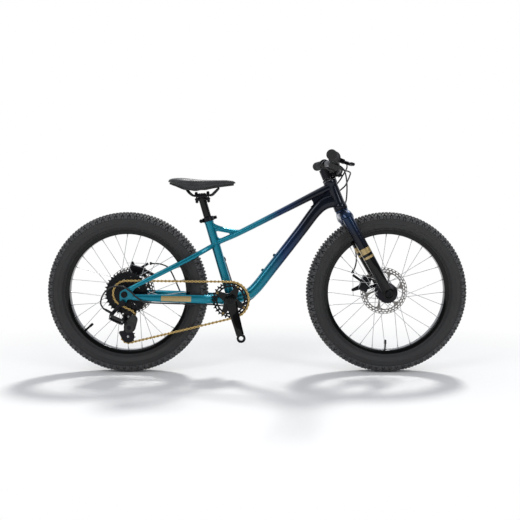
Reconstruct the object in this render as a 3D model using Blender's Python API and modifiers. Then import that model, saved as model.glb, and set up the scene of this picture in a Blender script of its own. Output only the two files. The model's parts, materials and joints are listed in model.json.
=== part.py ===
"""A 20-inch kids mountain bike, built as an assembly of separate pieces that move.

Metres, +X forward, +Y to the rider's left, +Z up. The origin is on the ground, halfway
between the two axles. Every piece is one object with its own material. Pieces that move
hang from an empty on their joint's axis.
"""

import math

import bmesh
import bpy
import numpy as np
from mathutils import Matrix
from mathutils import Vector

# Clearances.
GAP = 0.0003
BEARING_GAP = 0.0004
CHAIN_GAP = 0.00035

# Wheels and tyres.
WHEELBASE = 0.870
WHEEL_RADIUS = 0.270
TYRE_WIDTH = 0.071
RIM_RADIUS = 0.209
RIM_INNER_RADIUS = RIM_RADIUS - 0.0125
RIM_WIDTH = 0.036
RIM_WALL = 0.003
SPOKE_COUNT = 28
SPOKE_DIAMETER = 0.0022
FLANGE_RADIUS = 0.029
AXLE_RADIUS = 0.005

# Distances between the inner faces of the dropouts.
REAR_DROPOUT_SPACING = 0.142
FRONT_DROPOUT_SPACING = 0.100

# Frame.
BB_DROP = 0.0214
CHAINSTAY_RUN = 0.3474
HEAD_ANGLE = math.radians(67.5)
HEAD_TUBE_LENGTH = 0.100
HEAD_TUBE_RADIUS = 0.0200
HEAD_CUP_RADIUS = 0.0225
HEAD_CUP_HEIGHT = 0.012
FORK_LENGTH = 0.3122
FORK_RAKE = 0.0343
HEADSET_GAP = 0.008
STEERER_RADIUS = 0.0143
SEAT_ANGLE = math.radians(74.0)
SEAT_TUBE_LENGTH = 0.2825
SEAT_TUBE_RADIUS = 0.0150
SEATPOST_RADIUS = 0.0127
BB_SHELL_RADIUS = 0.0205
BB_SHELL_WIDTH = 0.073
DROPOUT_THICKNESS = 0.007
DROPOUT_RADIUS = 0.0155

# Fork.
FORK_LEG_OFFSET = 0.066
FORK_LEG_RADIUS = 0.018
FORK_DROPOUT_RADIUS = 0.019
FORK_DROPOUT_THICKNESS = 0.011

# Cockpit.
STEM_REACH = 0.0325
STEM_RISE = 0.0222
STEM_CLAMP_RADIUS = 0.0205
STEM_STACK = 0.034
SPACER_HEIGHT = 0.008
BAR_RADIUS = 0.0111
BAR_CLAMP_RADIUS = 0.0159
BAR_HALF_WIDTH = 0.290
BAR_RISE = 0.031
BAR_SWEEP = 0.0424
GRIP_LENGTH = 0.116
GRIP_RADIUS = 0.0160
PERCH_OFFSET = BAR_HALF_WIDTH - GRIP_LENGTH - 0.018
SHIFTER_OFFSET = PERCH_OFFSET - 0.024

# Drivetrain.
CHAIN_PITCH = 0.0127
CHAIN_HEIGHT = 0.0082
CHAIN_OUTER_WIDTH = 0.0066
CHAIN_INNER_WIDTH = 0.0050
CHAIN_SLOT = 0.0026
ROLLER_LENGTH = 0.0076
TOOTH_TIP_HEIGHT = 0.0024
TOOTH_TIP_WIDTH = 0.0012
SPROCKET_THICKNESS = 0.0018
CHAIN_LINE = 0.0468
CHAINRING_TEETH = 30
CHAINRING_THICKNESS = 0.0022
CHAINRING_LAND = 0.0125
CHAINRING_BOLT_CIRCLE = 0.0505
COG_TEETH = (11, 13, 15, 18, 21, 24, 30, 36)
COG_IN_USE = 4
COG_SPACING = 0.0048
PULLEY_TEETH = 11
CRANK_LENGTH = 0.130
CRANK_ANGLE = math.radians(15.7)
CRANK_THICKNESS = 0.012
CRANK_INNER_FACE = 0.0585
CRANK_FACE = 0.0715
PEDAL_HOLE_RADIUS = 0.0071
SPINDLE_RADIUS = 0.0120

# Brakes.
ROTOR_RADIUS = 0.080
ROTOR_THICKNESS = 0.0018
ROTOR_BAND = 0.0145
FRONT_ROTOR_INSET = 0.0103
REAR_ROTOR_INSET = 0.0153
HOUSING_RADIUS = 0.0025

# Saddle.
SADDLE_WIDTH = 0.136
SADDLE_RISE = 0.13084
RAIL_RADIUS = 0.0035

# Points and axes that follow from the sizes above.
REAR_AXLE = Vector((-WHEELBASE / 2, 0, WHEEL_RADIUS))
FRONT_AXLE = Vector((WHEELBASE / 2, 0, WHEEL_RADIUS))
BB = Vector((REAR_AXLE.x + CHAINSTAY_RUN, 0, WHEEL_RADIUS - BB_DROP))
STEER_UP = Vector((-math.cos(HEAD_ANGLE), 0, math.sin(HEAD_ANGLE)))
STEER_FORWARD = Vector((math.sin(HEAD_ANGLE), 0, math.cos(HEAD_ANGLE)))
CROWN_RACE = FRONT_AXLE - STEER_FORWARD * FORK_RAKE + STEER_UP * FORK_LENGTH
HEAD_BOTTOM = CROWN_RACE + STEER_UP * HEADSET_GAP
SEAT_UP = Vector((-math.cos(SEAT_ANGLE), 0, math.sin(SEAT_ANGLE)))
SEAT_FORWARD = Vector((math.sin(SEAT_ANGLE), 0, math.cos(SEAT_ANGLE)))
SEAT_TOP = BB + SEAT_UP * SEAT_TUBE_LENGTH
SADDLE_HEIGHT = SEAT_TOP.z + SADDLE_RISE
LEFT = Vector((0, 1, 0))
UP = Vector((0, 0, 1))
FORWARD = Vector((1, 0, 0))

PIECES = bpy.data.collections.new("kids_mountain_bike")
CUTTERS = bpy.data.collections.new("cutters")


def clear_scene():
    """Removes what the file opened with and links the two collections."""
    for thing in list(bpy.data.objects):
        bpy.data.objects.remove(thing, do_unlink=True)
    bpy.context.scene.collection.children.link(PIECES)
    bpy.context.scene.collection.children.link(CUTTERS)


def frame_at(origin, z_axis, x_axis):
    """A placement whose Z is z_axis and whose X is the part of x_axis square to it."""
    z = Vector(z_axis).normalized()
    x = Vector(x_axis)
    x = (x - z * x.dot(z)).normalized()
    y = z.cross(x)
    turn = Matrix((x, y, z)).transposed().to_4x4()
    return Matrix.Translation(origin) @ turn


def side_frame(x, y, z):
    """A placement for flat outlines drawn in the side view: local X forward, local Y up."""
    return frame_at(Vector((x, y, z)), -LEFT, FORWARD)


def lateral_frame(x, y, z):
    """A placement whose Z axis is an axle: it points to the rider's left."""
    return frame_at(Vector((x, y, z)), LEFT, FORWARD)


STEERING = frame_at(HEAD_BOTTOM, STEER_UP, STEER_FORWARD)
SEAT_FRAME = frame_at(SEAT_TOP, SEAT_UP, SEAT_FORWARD)


def in_steering(x, y, z):
    """World point from forward, left and up distances at the foot of the head tube."""
    return STEERING @ Vector((x, y, z))


def new_shape(data, where=None):
    """Adds an object to the cutters until it becomes a piece."""
    shape = bpy.data.objects.new("shape", data)
    if where is not None:
        shape.matrix_world = where
    shape.hide_render = True
    shape.display_type = "WIRE"
    CUTTERS.objects.link(shape)
    return shape


def finish(shape, name, paint, carrier=None, sharp=35):
    """Turns a shape into the named piece, painted, shaded and carried by its joint's empty."""
    shape.name = name
    shape.data.name = name
    CUTTERS.objects.unlink(shape)
    PIECES.objects.link(shape)
    shape.hide_render = False
    shape.display_type = "TEXTURED"
    shape.data.materials.clear()
    shape.data.materials.append(paint)
    if isinstance(shape.data, bpy.types.Mesh):
        shape.data.shade_smooth()
        shape.data.set_sharp_from_angle(angle=math.radians(sharp))
    if carrier is not None:
        shape.parent = carrier
        shape.matrix_parent_inverse = carrier.matrix_basis.inverted()
    return shape


def joint_empty(name, where):
    """An empty on a joint's axis, which is its local Z."""
    empty = bpy.data.objects.new(name, None)
    empty.matrix_basis = where
    empty.empty_display_size = 0.03
    PIECES.objects.link(empty)
    return empty


def paint(name, colour, roughness, metallic):
    """A Principled material from a linear colour."""
    material = bpy.data.materials.new(name)
    material.use_nodes = True
    shader = material.node_tree.nodes["Principled BSDF"]
    shader.inputs["Base Color"].default_value = (*colour, 1)
    shader.inputs["Roughness"].default_value = roughness
    shader.inputs["Metallic"].default_value = metallic
    material.diffuse_color = (*colour, 1)
    return material


def boolean(shape, other, operation):
    """Cuts the other shape from this one, or joins it on, with a live modifier."""
    modifier = shape.modifiers.new(operation.lower(), "BOOLEAN")
    modifier.operation = operation
    modifier.solver = "EXACT"
    modifier.object = other


def cut(shape, *others):
    """Cuts each of the other shapes from this one."""
    for other in others:
        boolean(shape, other, "DIFFERENCE")
    return shape


def join(shape, *others):
    """Joins each of the other shapes onto this one."""
    for other in others:
        boolean(shape, other, "UNION")
    return shape


def mesh_shape(build, where=None):
    """A shape from a function that fills a bmesh."""
    work = bmesh.new()
    build(work)
    mesh = bpy.data.meshes.new("shape")
    work.to_mesh(mesh)
    work.free()
    return new_shape(mesh, where)


def cylinder(radius, low, high, sides=24, where=None, top_radius=None):
    """A round bar, or a cone, along local Z from low to high."""
    def build(work):
        middle = Matrix.Translation((0, 0, (low + high) / 2))
        end = radius if top_radius is None else top_radius
        bmesh.ops.create_cone(work, cap_ends=True, segments=sides, radius1=radius,
                              radius2=end, depth=high - low, matrix=middle)
    return mesh_shape(build, where)


def block(size, where=None, centre=(0, 0, 0), rounding=0, segments=2):
    """A box of the given size about centre, with rounded edges if asked."""
    def build(work):
        scale = Matrix.Diagonal((*size, 1))
        bmesh.ops.create_cube(work, size=1, matrix=Matrix.Translation(centre) @ scale)
    shape = mesh_shape(build, where)
    if rounding:
        round_edges(shape, rounding, segments)
    return shape


def round_edges(shape, width, segments=2, angle=40):
    """Rounds the edges sharper than the angle."""
    modifier = shape.modifiers.new("rounded", "BEVEL")
    modifier.width = width
    modifier.segments = segments
    modifier.limit_method = "ANGLE"
    modifier.angle_limit = math.radians(angle)
    modifier.use_clamp_overlap = True


def turned(profile, steps=32, where=None, ring=False):
    """A turned shape: (radius, height) points down the outer side, turned about local Z.

    A ring's profile goes on up its inner side and closes on itself.
    """
    mesh = bpy.data.meshes.new("turned")
    points = [(radius, 0, height) for radius, height in profile]
    edges = [(i, i + 1) for i in range(len(points) - 1)]
    if ring:
        edges.append((len(points) - 1, 0))
    mesh.from_pydata(points, edges, [])
    shape = new_shape(mesh, where)
    screw = shape.modifiers.new("turned", "SCREW")
    screw.angle = 2 * math.pi
    screw.steps = steps
    screw.render_steps = steps
    screw.axis = "Z"
    screw.use_merge_vertices = True
    screw.merge_threshold = 0.00001
    screw.use_smooth_shade = True
    return shape


def as_mesh(curve_object, where=None):
    """Makes a curve object a mesh with welded caps, and removes the curve."""
    bpy.context.view_layer.update()
    graph = bpy.context.evaluated_depsgraph_get()
    mesh = bpy.data.meshes.new_from_object(curve_object.evaluated_get(graph))
    work = bmesh.new()
    work.from_mesh(mesh)
    bmesh.ops.remove_doubles(work, verts=work.verts, dist=0.000001)
    bmesh.ops.recalc_face_normals(work, faces=work.faces)
    work.to_mesh(mesh)
    work.free()
    shape = new_shape(mesh, curve_object.matrix_world.copy() if where is None else where)
    bpy.data.objects.remove(curve_object, do_unlink=True)
    return shape


def plate(outlines, thickness, where=None):
    """A flat plate: closed outlines in local XY, holes included, about local Z = 0."""
    curve = bpy.data.curves.new("plate", "CURVE")
    curve.dimensions = "2D"
    curve.fill_mode = "BOTH"
    curve.extrude = thickness / 2
    for outline in outlines:
        spline = curve.splines.new("POLY")
        spline.points.add(len(outline) - 1)
        spline.use_cyclic_u = True
        for point, (x, y) in zip(spline.points, outline):
            point.co = (x, y, 0, 1)
    return as_mesh(new_shape(curve, where), where)


def tube(points, radius, rounding=2, radii=None, closed=False):
    """A round tube or wire along points, as a curve with filled caps."""
    curve = bpy.data.curves.new("tube", "CURVE")
    curve.dimensions = "3D"
    curve.bevel_depth = radius
    curve.bevel_resolution = rounding
    curve.use_fill_caps = not closed
    spline = curve.splines.new("POLY")
    spline.points.add(len(points) - 1)
    spline.use_cyclic_u = closed
    for index, (point, place) in enumerate(zip(spline.points, points)):
        point.co = (*place, 1)
        point.radius = 1 if radii is None else radii[index]
    return new_shape(curve)


def solid_tube(points, radius, rounding=2, radii=None, closed=False):
    """A tube that can be cut and joined."""
    return as_mesh(tube(points, radius, rounding, radii, closed), Matrix.Identity(4))


def smooth_path(points, spans):
    """Points on a smooth curve through the given ones, spans steps between each pair."""
    p = np.array([tuple(point) for point in points], dtype=float)
    first = np.vstack([2 * p[:1] - p[1:2], p[:-2]])
    last = np.vstack([p[2:], 2 * p[-1:] - p[-2:-1]])
    result = []
    for a, b, c, d in zip(first, p[:-1], p[1:], last):
        for t in np.arange(spans) / spans:
            place = 0.5 * (2 * b + (c - a) * t + (2 * a - 5 * b + 4 * c - d) * t ** 2
                           + (3 * b - a - 3 * c + d) * t ** 3)
            result.append(Vector(place))
    result.append(Vector(p[-1]))
    return result


def loft(rings, closed=False):
    """Joins rings of points by quads, and caps both ends unless the rings close."""
    def build(work):
        rows = [[work.verts.new(point) for point in ring] for ring in rings]
        following = rows[1:] + (rows[:1] if closed else [])
        for row, after in zip(rows, following):
            for i in range(len(row)):
                j = (i + 1) % len(row)
                work.faces.new((row[i], row[j], after[j], after[i]))
        if not closed:
            work.faces.new(rows[0])
            work.faces.new(rows[-1])
        bmesh.ops.recalc_face_normals(work, faces=work.faces)
    return mesh_shape(build)


def section_rings(path, widths, heights, sides=12, squareness=2.0, across=LEFT):
    """Rounded sections square to a path: widths run across, heights square to both.

    Each section is a superellipse: squareness 2 is an ellipse, and more is boxier.
    """
    points = np.array([tuple(point) for point in path])
    ahead = np.gradient(points, axis=0)
    ahead /= np.linalg.norm(ahead, axis=1)[:, None]
    wide = np.array(tuple(across))[None, :] - ahead * (ahead @ np.array(tuple(across)))[:, None]
    wide /= np.linalg.norm(wide, axis=1)[:, None]
    high = np.cross(ahead, wide)
    angle = (np.arange(sides) + 0.5) * 2 * np.pi / sides
    power = 2 / squareness
    u = np.sign(np.cos(angle)) * np.abs(np.cos(angle)) ** power
    v = np.sign(np.sin(angle)) * np.abs(np.sin(angle)) ** power
    half_width = np.broadcast_to(np.array(widths, dtype=float) / 2, len(points))
    half_height = np.broadcast_to(np.array(heights, dtype=float) / 2, len(points))
    return (points[:, None, :]
            + half_width[:, None, None] * u[None, :, None] * wide[:, None, :]
            + half_height[:, None, None] * v[None, :, None] * high[:, None, :])


def along(values, count):
    """A list of values spread evenly over count places, with the places between filled in."""
    places = np.linspace(0, len(values) - 1, count)
    return np.interp(places, np.arange(len(values)), values)


def frame_tube(points, widths, heights, spans=3, sides=12, squareness=2.0, grow=0.0):
    """A shaped tube through points: widths and heights are given at those points."""
    path = smooth_path(points, spans)
    wide = along(widths, len(path)) + 2 * grow
    high = along(heights, len(path)) + 2 * grow
    return loft(section_rings(path, wide, high, sides, squareness))


def circle(centre, radius, count=16, phase=0.0):
    """Points round a circle."""
    angles = phase + np.arange(count) * 2 * np.pi / count
    return [(centre[0] + radius * math.cos(a), centre[1] + radius * math.sin(a)) for a in angles]


def bar_outline(start, start_radius, end, end_radius, count=7):
    """The outline of two circles and the straight lines that touch both."""
    dx = end[0] - start[0]
    dy = end[1] - start[1]
    heading = math.atan2(dy, dx)
    spread = math.acos((start_radius - end_radius) / math.hypot(dx, dy))
    outline = []
    for a in np.linspace(heading - spread, heading + spread, count):
        outline.append((end[0] + end_radius * math.cos(a), end[1] + end_radius * math.sin(a)))
    for a in np.linspace(heading + spread, heading + 2 * math.pi - spread, count):
        outline.append((start[0] + start_radius * math.cos(a),
                        start[1] + start_radius * math.sin(a)))
    return outline


def side_bar(start, start_radius, end, end_radius, y, thickness, count=7):
    """A flat bar with round ends in the side view, centred on y; points are (x, z)."""
    outline = bar_outline(start, start_radius, end, end_radius, count)
    return plate([outline], thickness, side_frame(0, y, 0))


def xz(point):
    """The side view's two coordinates of a point."""
    return (point[0], point[2])


def mirrored(point):
    """The same point on the other side of the bike."""
    return Vector((point[0], -point[1], point[2]))

# The seat tube's joint with the top tube and seatstays, as a share of its length.
SEAT_JOIN_SHARE = 0.685
SEAT_JOIN = BB + SEAT_UP * SEAT_TUBE_LENGTH * SEAT_JOIN_SHARE
HEAD_TOP = HEAD_BOTTOM + STEER_UP * HEAD_TUBE_LENGTH


def beside_line(start, end, places):
    """Points by their share along a line, their distance left, and their distance off it.

    The last is square to the line in the side view.
    """
    run = end - start
    square = Vector((-run.z, 0, run.x)).normalized()
    return [start + run * share + LEFT * left + square * off for share, left, off in places]


def by_rear_axle(forward, up):
    """A place in the side view (x, z), from the rear axle."""
    return (REAR_AXLE.x + forward, REAR_AXLE.z + up)


def from_point(origin, places):
    """Points by their distances forward, left and up from an origin."""
    return [origin + Vector(place) for place in places]


# The tubes' middle lines, their widths and their heights.
TOP_TUBE_POINTS = beside_line(SEAT_JOIN, HEAD_TOP, [(-0.00225, 0, 0.00041),
    (0.07673, 0, -0.00315), (0.21413, 0, -0.00797), (0.55981, 0, -0.01305),
    (0.91105, 0, -0.01787), (1.00915, 0, -0.02283)])
TOP_TUBE_WIDTHS = [0.024, 0.026, 0.028, 0.032, 0.036, 0.036]
TOP_TUBE_HEIGHTS = [0.018, 0.018, 0.019, 0.021, 0.026, 0.030]
BRACE_POINTS = beside_line(TOP_TUBE_POINTS[2], SEAT_TOP, [(-0.11467, 0, -0.01604),
    (0.1348, 0, -0.00479), (0.40233, 0, 0.00141), (0.88004, 0, 0.01465)])
BRACE_WIDTH = 0.022
BRACE_HEIGHT = 0.0145
DOWN_TUBE_POINTS = beside_line(BB, HEAD_BOTTOM, [(0, 0, 0), (0.07674, 0, -0.01937),
    (0.16446, 0, -0.02673), (0.35931, 0, -0.01059), (0.67999, 0, 0.02025),
    (0.85674, 0, 0.03613), (0.94277, 0, 0.03722), (1.01745, 0, 0.02074)])
DOWN_TUBE_WIDTHS = [0.046, 0.044, 0.040, 0.036, 0.036, 0.036, 0.036, 0.034]
DOWN_TUBE_HEIGHTS = [0.036, 0.0375, 0.039, 0.0393, 0.0393, 0.0395, 0.041, 0.043]
CHAINSTAY_POINTS = beside_line(BB, REAR_AXLE, [(-0, -0.02, 0), (0.09872, -0.025, 0.00172),
    (0.1791, -0.0335, 0.00294), (0.25957, -0.0435, 0.00366), (0.343, -0.0485, 0.00395),
    (0.53844, -0.057, 0.00563), (0.7397, -0.066, 0.00694), (0.92245, -0.0745, 0.00715)])
CHAINSTAY_WIDTHS = [0.018, 0.016, 0.013, 0.0115, 0.012, 0.0135, 0.013, 0.013]
CHAINSTAY_HEIGHTS = [0.034, 0.031, 0.029, 0.0285, 0.028, 0.027, 0.024, 0.0205]
CHAINSTAY_BRIDGE = beside_line(BB, REAR_AXLE, [(0.15039, 0, 0.00252)])[0]
CHAINSTAY_BRIDGE_RADIUS = 0.008
SEATSTAY_POINTS = beside_line(SEAT_JOIN, REAR_AXLE, [(0.00193, -0.006, 0.00206),
    (0.08638, -0.026, 0.00275), (0.17141, -0.04, 0.00275), (0.28957, -0.0495, 0.00223),
    (0.53884, -0.061, -0.00124), (0.78739, -0.0705, -0.00516), (0.92528, -0.0745, -0.00711)])
SEATSTAY_WIDTHS = [0.013, 0.0135, 0.0135, 0.0135, 0.0135, 0.013, 0.013]
SEATSTAY_HEIGHTS = [0.015, 0.016, 0.016, 0.016, 0.0155, 0.015, 0.0145]
SEATSTAY_BRIDGE = beside_line(SEAT_JOIN, REAR_AXLE, [(0.13495, 0, 0.00332)])[0]
SEATSTAY_BRIDGE_RADIUS = 0.0065
DROPOUT_Y = REAR_DROPOUT_SPACING / 2 + DROPOUT_THICKNESS / 2
CHAINSTAY_TAB = by_rear_axle(0.041, -0.0097)
SEATSTAY_TAB = by_rear_axle(0.0305, 0.0245)
TAB_RADIUS = 0.0068
HANGER_BOLT = by_rear_axle(-0.0055, -0.028)
HANGER_RADIUS = 0.0095
HANGER_BOLT_RADIUS = 0.0050
AXLE_HOLE_RADIUS = AXLE_RADIUS + GAP
BOTTLE_BOLT_SPACING = 0.064
BOTTLE_BOLT_LOW = 0.0245
BOTTLE_BOLT_RADIUS = 0.0042
BOTTLE_BOLT_HEIGHT = 0.0035
COLLAR_RADIUS = 0.0195
COLLAR_HEIGHT = 0.015
COLLAR_EAR_X = -0.0235
COLLAR_EAR_RADIUS = 0.0065
COLLAR_EAR_HALF_WIDTH = 0.0125
COLLAR_SLIT = 0.0025
COLLAR_TOP = 0.003
COLLAR_SKEWER_RADIUS = 0.0025
LEVER_LENGTH = 0.052
LEVER_CAM_RADIUS = 0.0068
LEVER_PIVOT_Y = COLLAR_EAR_HALF_WIDTH + GAP + LEVER_CAM_RADIUS
BB_BORE_RADIUS = 0.0173
POST_BORE_BELOW = 0.0675
STAR_CLOSEST = math.radians(1)
STAR_WIDEST = math.radians(14)


def head_tube_outer(grow):
    """The head tube's outside with its two cups, solid, on the steering axis."""
    cup = HEAD_CUP_RADIUS + grow
    body = HEAD_TUBE_RADIUS + grow
    top = HEAD_TUBE_LENGTH
    taper = HEAD_CUP_RADIUS - HEAD_TUBE_RADIUS
    profile = [(0, top + grow), (cup, top + grow), (cup, top - HEAD_CUP_HEIGHT),
               (body, top - HEAD_CUP_HEIGHT - taper), (body, HEAD_CUP_HEIGHT + taper),
               (cup, HEAD_CUP_HEIGHT), (cup, -grow), (0, -grow)]
    return turned(profile, 16, STEERING)


def seat_tube_outer(grow):
    """The seat tube's outside, solid, from the bottom bracket to the collar."""
    return cylinder(SEAT_TUBE_RADIUS + grow, -SEAT_TUBE_LENGTH, grow, 18, SEAT_FRAME)


def bb_shell_outer(grow):
    """The bottom bracket shell's outside, solid, across the frame."""
    half = BB_SHELL_WIDTH / 2 + grow
    return cylinder(BB_SHELL_RADIUS + grow, -half, half, 20, lateral_frame(*BB))


def down_tube_outer(grow):
    """The shaped down tube, which bends level at both ends."""
    return frame_tube(DOWN_TUBE_POINTS, DOWN_TUBE_WIDTHS, DOWN_TUBE_HEIGHTS, 1, 12, 2.5,
                      grow=grow)


def star_angles(centre, outlines):
    """The directions of all corners, thinned where they crowd and filled where they gape."""
    corners = [point for outline in outlines for point in outline]
    angles = sorted(math.atan2(y - centre[1], x - centre[0]) for x, y in corners)
    result = []
    for a, b in zip(angles, angles[1:] + [angles[0] + 2 * math.pi]):
        if b - a > STAR_CLOSEST:
            steps = math.ceil((b - a) / STAR_WIDEST)
            result += [a + (b - a) * k / steps for k in range(steps)]
    return result


def star_outline(centre, outlines):
    """The outer outline of overlapping convex outlines that all hold the centre."""
    result = []
    for angle in star_angles(centre, outlines):
        direction = np.array([math.cos(angle), math.sin(angle)])
        reach = 0.0
        for outline in outlines:
            p = np.array(outline) - np.array(centre)
            q = np.roll(p, -1, axis=0) - p
            across = direction[0] * q[:, 1] - direction[1] * q[:, 0]
            across = np.where(np.abs(across) < 1e-12, 1e-12, across)
            distance = (p[:, 0] * q[:, 1] - p[:, 1] * q[:, 0]) / across
            share = (p[:, 0] * direction[1] - p[:, 1] * direction[0]) / across
            hits = distance[(share > -1e-6) & (share < 1 + 1e-6) & (distance > 0)]
            reach = max(reach, hits.max())
        result.append((centre[0] + reach * direction[0], centre[1] + reach * direction[1]))
    return result


def dropout_outline(tabs, grow):
    """A dropout's outline: a ring round the axle with a tab to each (place, radius)."""
    axle = xz(REAR_AXLE)
    bars = [bar_outline(axle, DROPOUT_RADIUS + grow, place, radius + grow, 6)
            for place, radius in tabs]
    return star_outline(axle, bars)


STAY_TABS = [(CHAINSTAY_TAB, TAB_RADIUS), (SEATSTAY_TAB, TAB_RADIUS)]


def dropout_tabs(side, grow):
    """The part of a dropout that the stays close on, on the right (-1) or left (+1)."""
    where = side_frame(0, side * DROPOUT_Y, 0)
    return plate([dropout_outline(STAY_TABS, grow)], DROPOUT_THICKNESS + 2 * grow, where)


def stay(points, widths, heights, side, grow=0.0):
    """One shaped stay, on the right (-1) or left (+1)."""
    route = [Vector((x, -side * y, z)) for x, y, z in points]
    return frame_tube(route, widths, heights, 1, 8, 2.6, grow=grow)


def seatstay(side, grow=0.0):
    """One seatstay, from the seat tube to the dropout."""
    return stay(SEATSTAY_POINTS, SEATSTAY_WIDTHS, SEATSTAY_HEIGHTS, side, grow)


def chainstay(side, grow=0.0):
    """One chainstay, from the bottom bracket to the dropout."""
    return stay(CHAINSTAY_POINTS, CHAINSTAY_WIDTHS, CHAINSTAY_HEIGHTS, side, grow)


def make_frame(paints):
    """The welded frame: its tubes, stays and dropouts, each coped to the next."""
    head = cut(head_tube_outer(0), cylinder(STEERER_RADIUS + BEARING_GAP, -0.02,
                                            HEAD_TUBE_LENGTH + 0.02, 16, STEERING))
    finish(head, "head_tube", paints["navy"])

    brace = frame_tube(BRACE_POINTS, [BRACE_WIDTH] * 4, [BRACE_HEIGHT] * 4, 2, 10, 2.2)
    top = frame_tube(TOP_TUBE_POINTS, TOP_TUBE_WIDTHS, TOP_TUBE_HEIGHTS, 1, 12, 2.3)
    join(top, brace)
    cut(top, head_tube_outer(GAP), seat_tube_outer(GAP))
    finish(top, "top_tube", paints["navy"])

    down = down_tube_outer(0)
    join(down, *bottle_bolts())
    cut(down, head_tube_outer(GAP), bb_shell_outer(GAP))
    finish(down, "down_tube", paints["teal"])

    seat = seat_tube_outer(0)
    cut(seat, cylinder(SEATPOST_RADIUS + GAP, POST_BORE_BELOW - SEAT_TUBE_LENGTH, 0.01, 18, SEAT_FRAME),
        bb_shell_outer(GAP), down_tube_outer(GAP))
    finish(seat, "seat_tube", paints["teal"])

    shell = cut(bb_shell_outer(0), cylinder(BB_BORE_RADIUS, -0.05, 0.05, 20,
                                            lateral_frame(*BB)))
    finish(shell, "bottom_bracket_shell", paints["teal"])

    for kind, maker, bridge in (("chainstays", chainstay, chainstay_bridge()),
                                ("seatstays", seatstay, seatstay_bridge())):
        pair = join(maker(-1), bridge, maker(1))
        cut(pair, dropout_tabs(-1, GAP), dropout_tabs(1, GAP))
        if kind == "chainstays":
            cut(pair, bb_shell_outer(GAP), down_tube_outer(GAP))
        else:
            cut(pair, seat_tube_outer(GAP))
        finish(pair, kind, paints["teal"])

    hanger = plate([dropout_outline(STAY_TABS + [(HANGER_BOLT, HANGER_RADIUS)], 0),
                    circle(xz(REAR_AXLE), AXLE_HOLE_RADIUS, 14),
                    circle(HANGER_BOLT, HANGER_BOLT_RADIUS + GAP, 12)],
                   DROPOUT_THICKNESS, side_frame(0, -DROPOUT_Y, 0))
    finish(hanger, "dropout_right", paints["teal"])
    left = plate([dropout_outline(STAY_TABS, 0), circle(xz(REAR_AXLE), AXLE_HOLE_RADIUS, 14)],
                 DROPOUT_THICKNESS, side_frame(0, DROPOUT_Y, 0))
    finish(left, "dropout_left", paints["teal"])


def chainstay_bridge():
    """The short tube that ties the chainstays behind the bottom bracket."""
    half = 0.030
    return cylinder(CHAINSTAY_BRIDGE_RADIUS, -half, half, 12,
                    lateral_frame(*CHAINSTAY_BRIDGE))


def seatstay_bridge():
    """The short tube that ties the seatstays above the tyre."""
    half = 0.034
    return cylinder(SEATSTAY_BRIDGE_RADIUS, -half, half, 12, lateral_frame(*SEATSTAY_BRIDGE))


def bottle_bolts():
    """The two bottle cage bolts, on the top of the down tube."""
    low, high = Vector(DOWN_TUBE_POINTS[3]), Vector(DOWN_TUBE_POINTS[4])
    along_tube = (high - low).normalized()
    outward = along_tube.cross(LEFT)
    surface = outward * (DOWN_TUBE_HEIGHTS[3] / 2)
    bolts = []
    for step in (0, 1):
        distance = step * BOTTLE_BOLT_SPACING - BOTTLE_BOLT_LOW
        foot = low + along_tube * distance + surface
        bolts.append(cylinder(BOTTLE_BOLT_RADIUS, -0.004, BOTTLE_BOLT_HEIGHT, 10,
                              frame_at(foot, outward, along_tube)))
    return bolts


def seat_lever_place():
    """The cam axis of the seat collar's lever: on the left ear, along the seat tube."""
    middle = COLLAR_TOP - COLLAR_HEIGHT / 2
    pivot = SEAT_FRAME @ Vector((COLLAR_EAR_X, LEVER_PIVOT_Y, middle))
    return frame_at(pivot, SEAT_UP, SEAT_FORWARD)


def make_seat_collar(paints, lever_axis):
    """The seat collar with its slit and ears, and its quick-release lever on the left."""
    low = COLLAR_TOP - COLLAR_HEIGHT
    tube_bore = SEAT_TUBE_RADIUS + GAP
    post_bore = SEATPOST_RADIUS + GAP
    ring = cylinder(COLLAR_RADIUS, low, COLLAR_TOP, 16, SEAT_FRAME)
    middle = (COLLAR_TOP + low) / 2
    across = frame_at(SEAT_FRAME @ Vector((COLLAR_EAR_X, 0, middle)), LEFT, SEAT_FORWARD)
    half = COLLAR_EAR_HALF_WIDTH
    join(ring, cylinder(COLLAR_EAR_RADIUS, -half, half, 10, across))
    cut(ring, cylinder(post_bore, -0.01, 0.01, 18, SEAT_FRAME),
        cylinder(tube_bore, low - 0.002, GAP, 18, SEAT_FRAME),
        block((0.022, COLLAR_SLIT, COLLAR_HEIGHT + 0.004), SEAT_FRAME,
              (COLLAR_EAR_X - 0.001, 0, middle)))
    join(ring, cylinder(COLLAR_SKEWER_RADIUS, -half - 0.002, half - 0.001, 8, across),
         cylinder(0.0058, -half - 0.0045, -half + 0.0005, 10, across))
    finish(ring, "seat_collar", paints["black"])

    place = seat_lever_place()
    cam = cylinder(LEVER_CAM_RADIUS, -0.0055, 0.0055, 12, place)
    route = [place @ Vector(p) for p in ((0, 0.001, 0), (LEVER_LENGTH * 0.35, 0.005, 0),
                                         (LEVER_LENGTH * 0.7, 0.003, 0),
                                         (LEVER_LENGTH, -0.002, 0))]
    blade = frame_tube(route, [0.007, 0.006, 0.005, 0.004], [0.009, 0.011, 0.013, 0.011], 1, 8,
                       3.0)
    join(cam, blade)
    finish(cam, "seat_lever", paints["black"], lever_axis)

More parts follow.
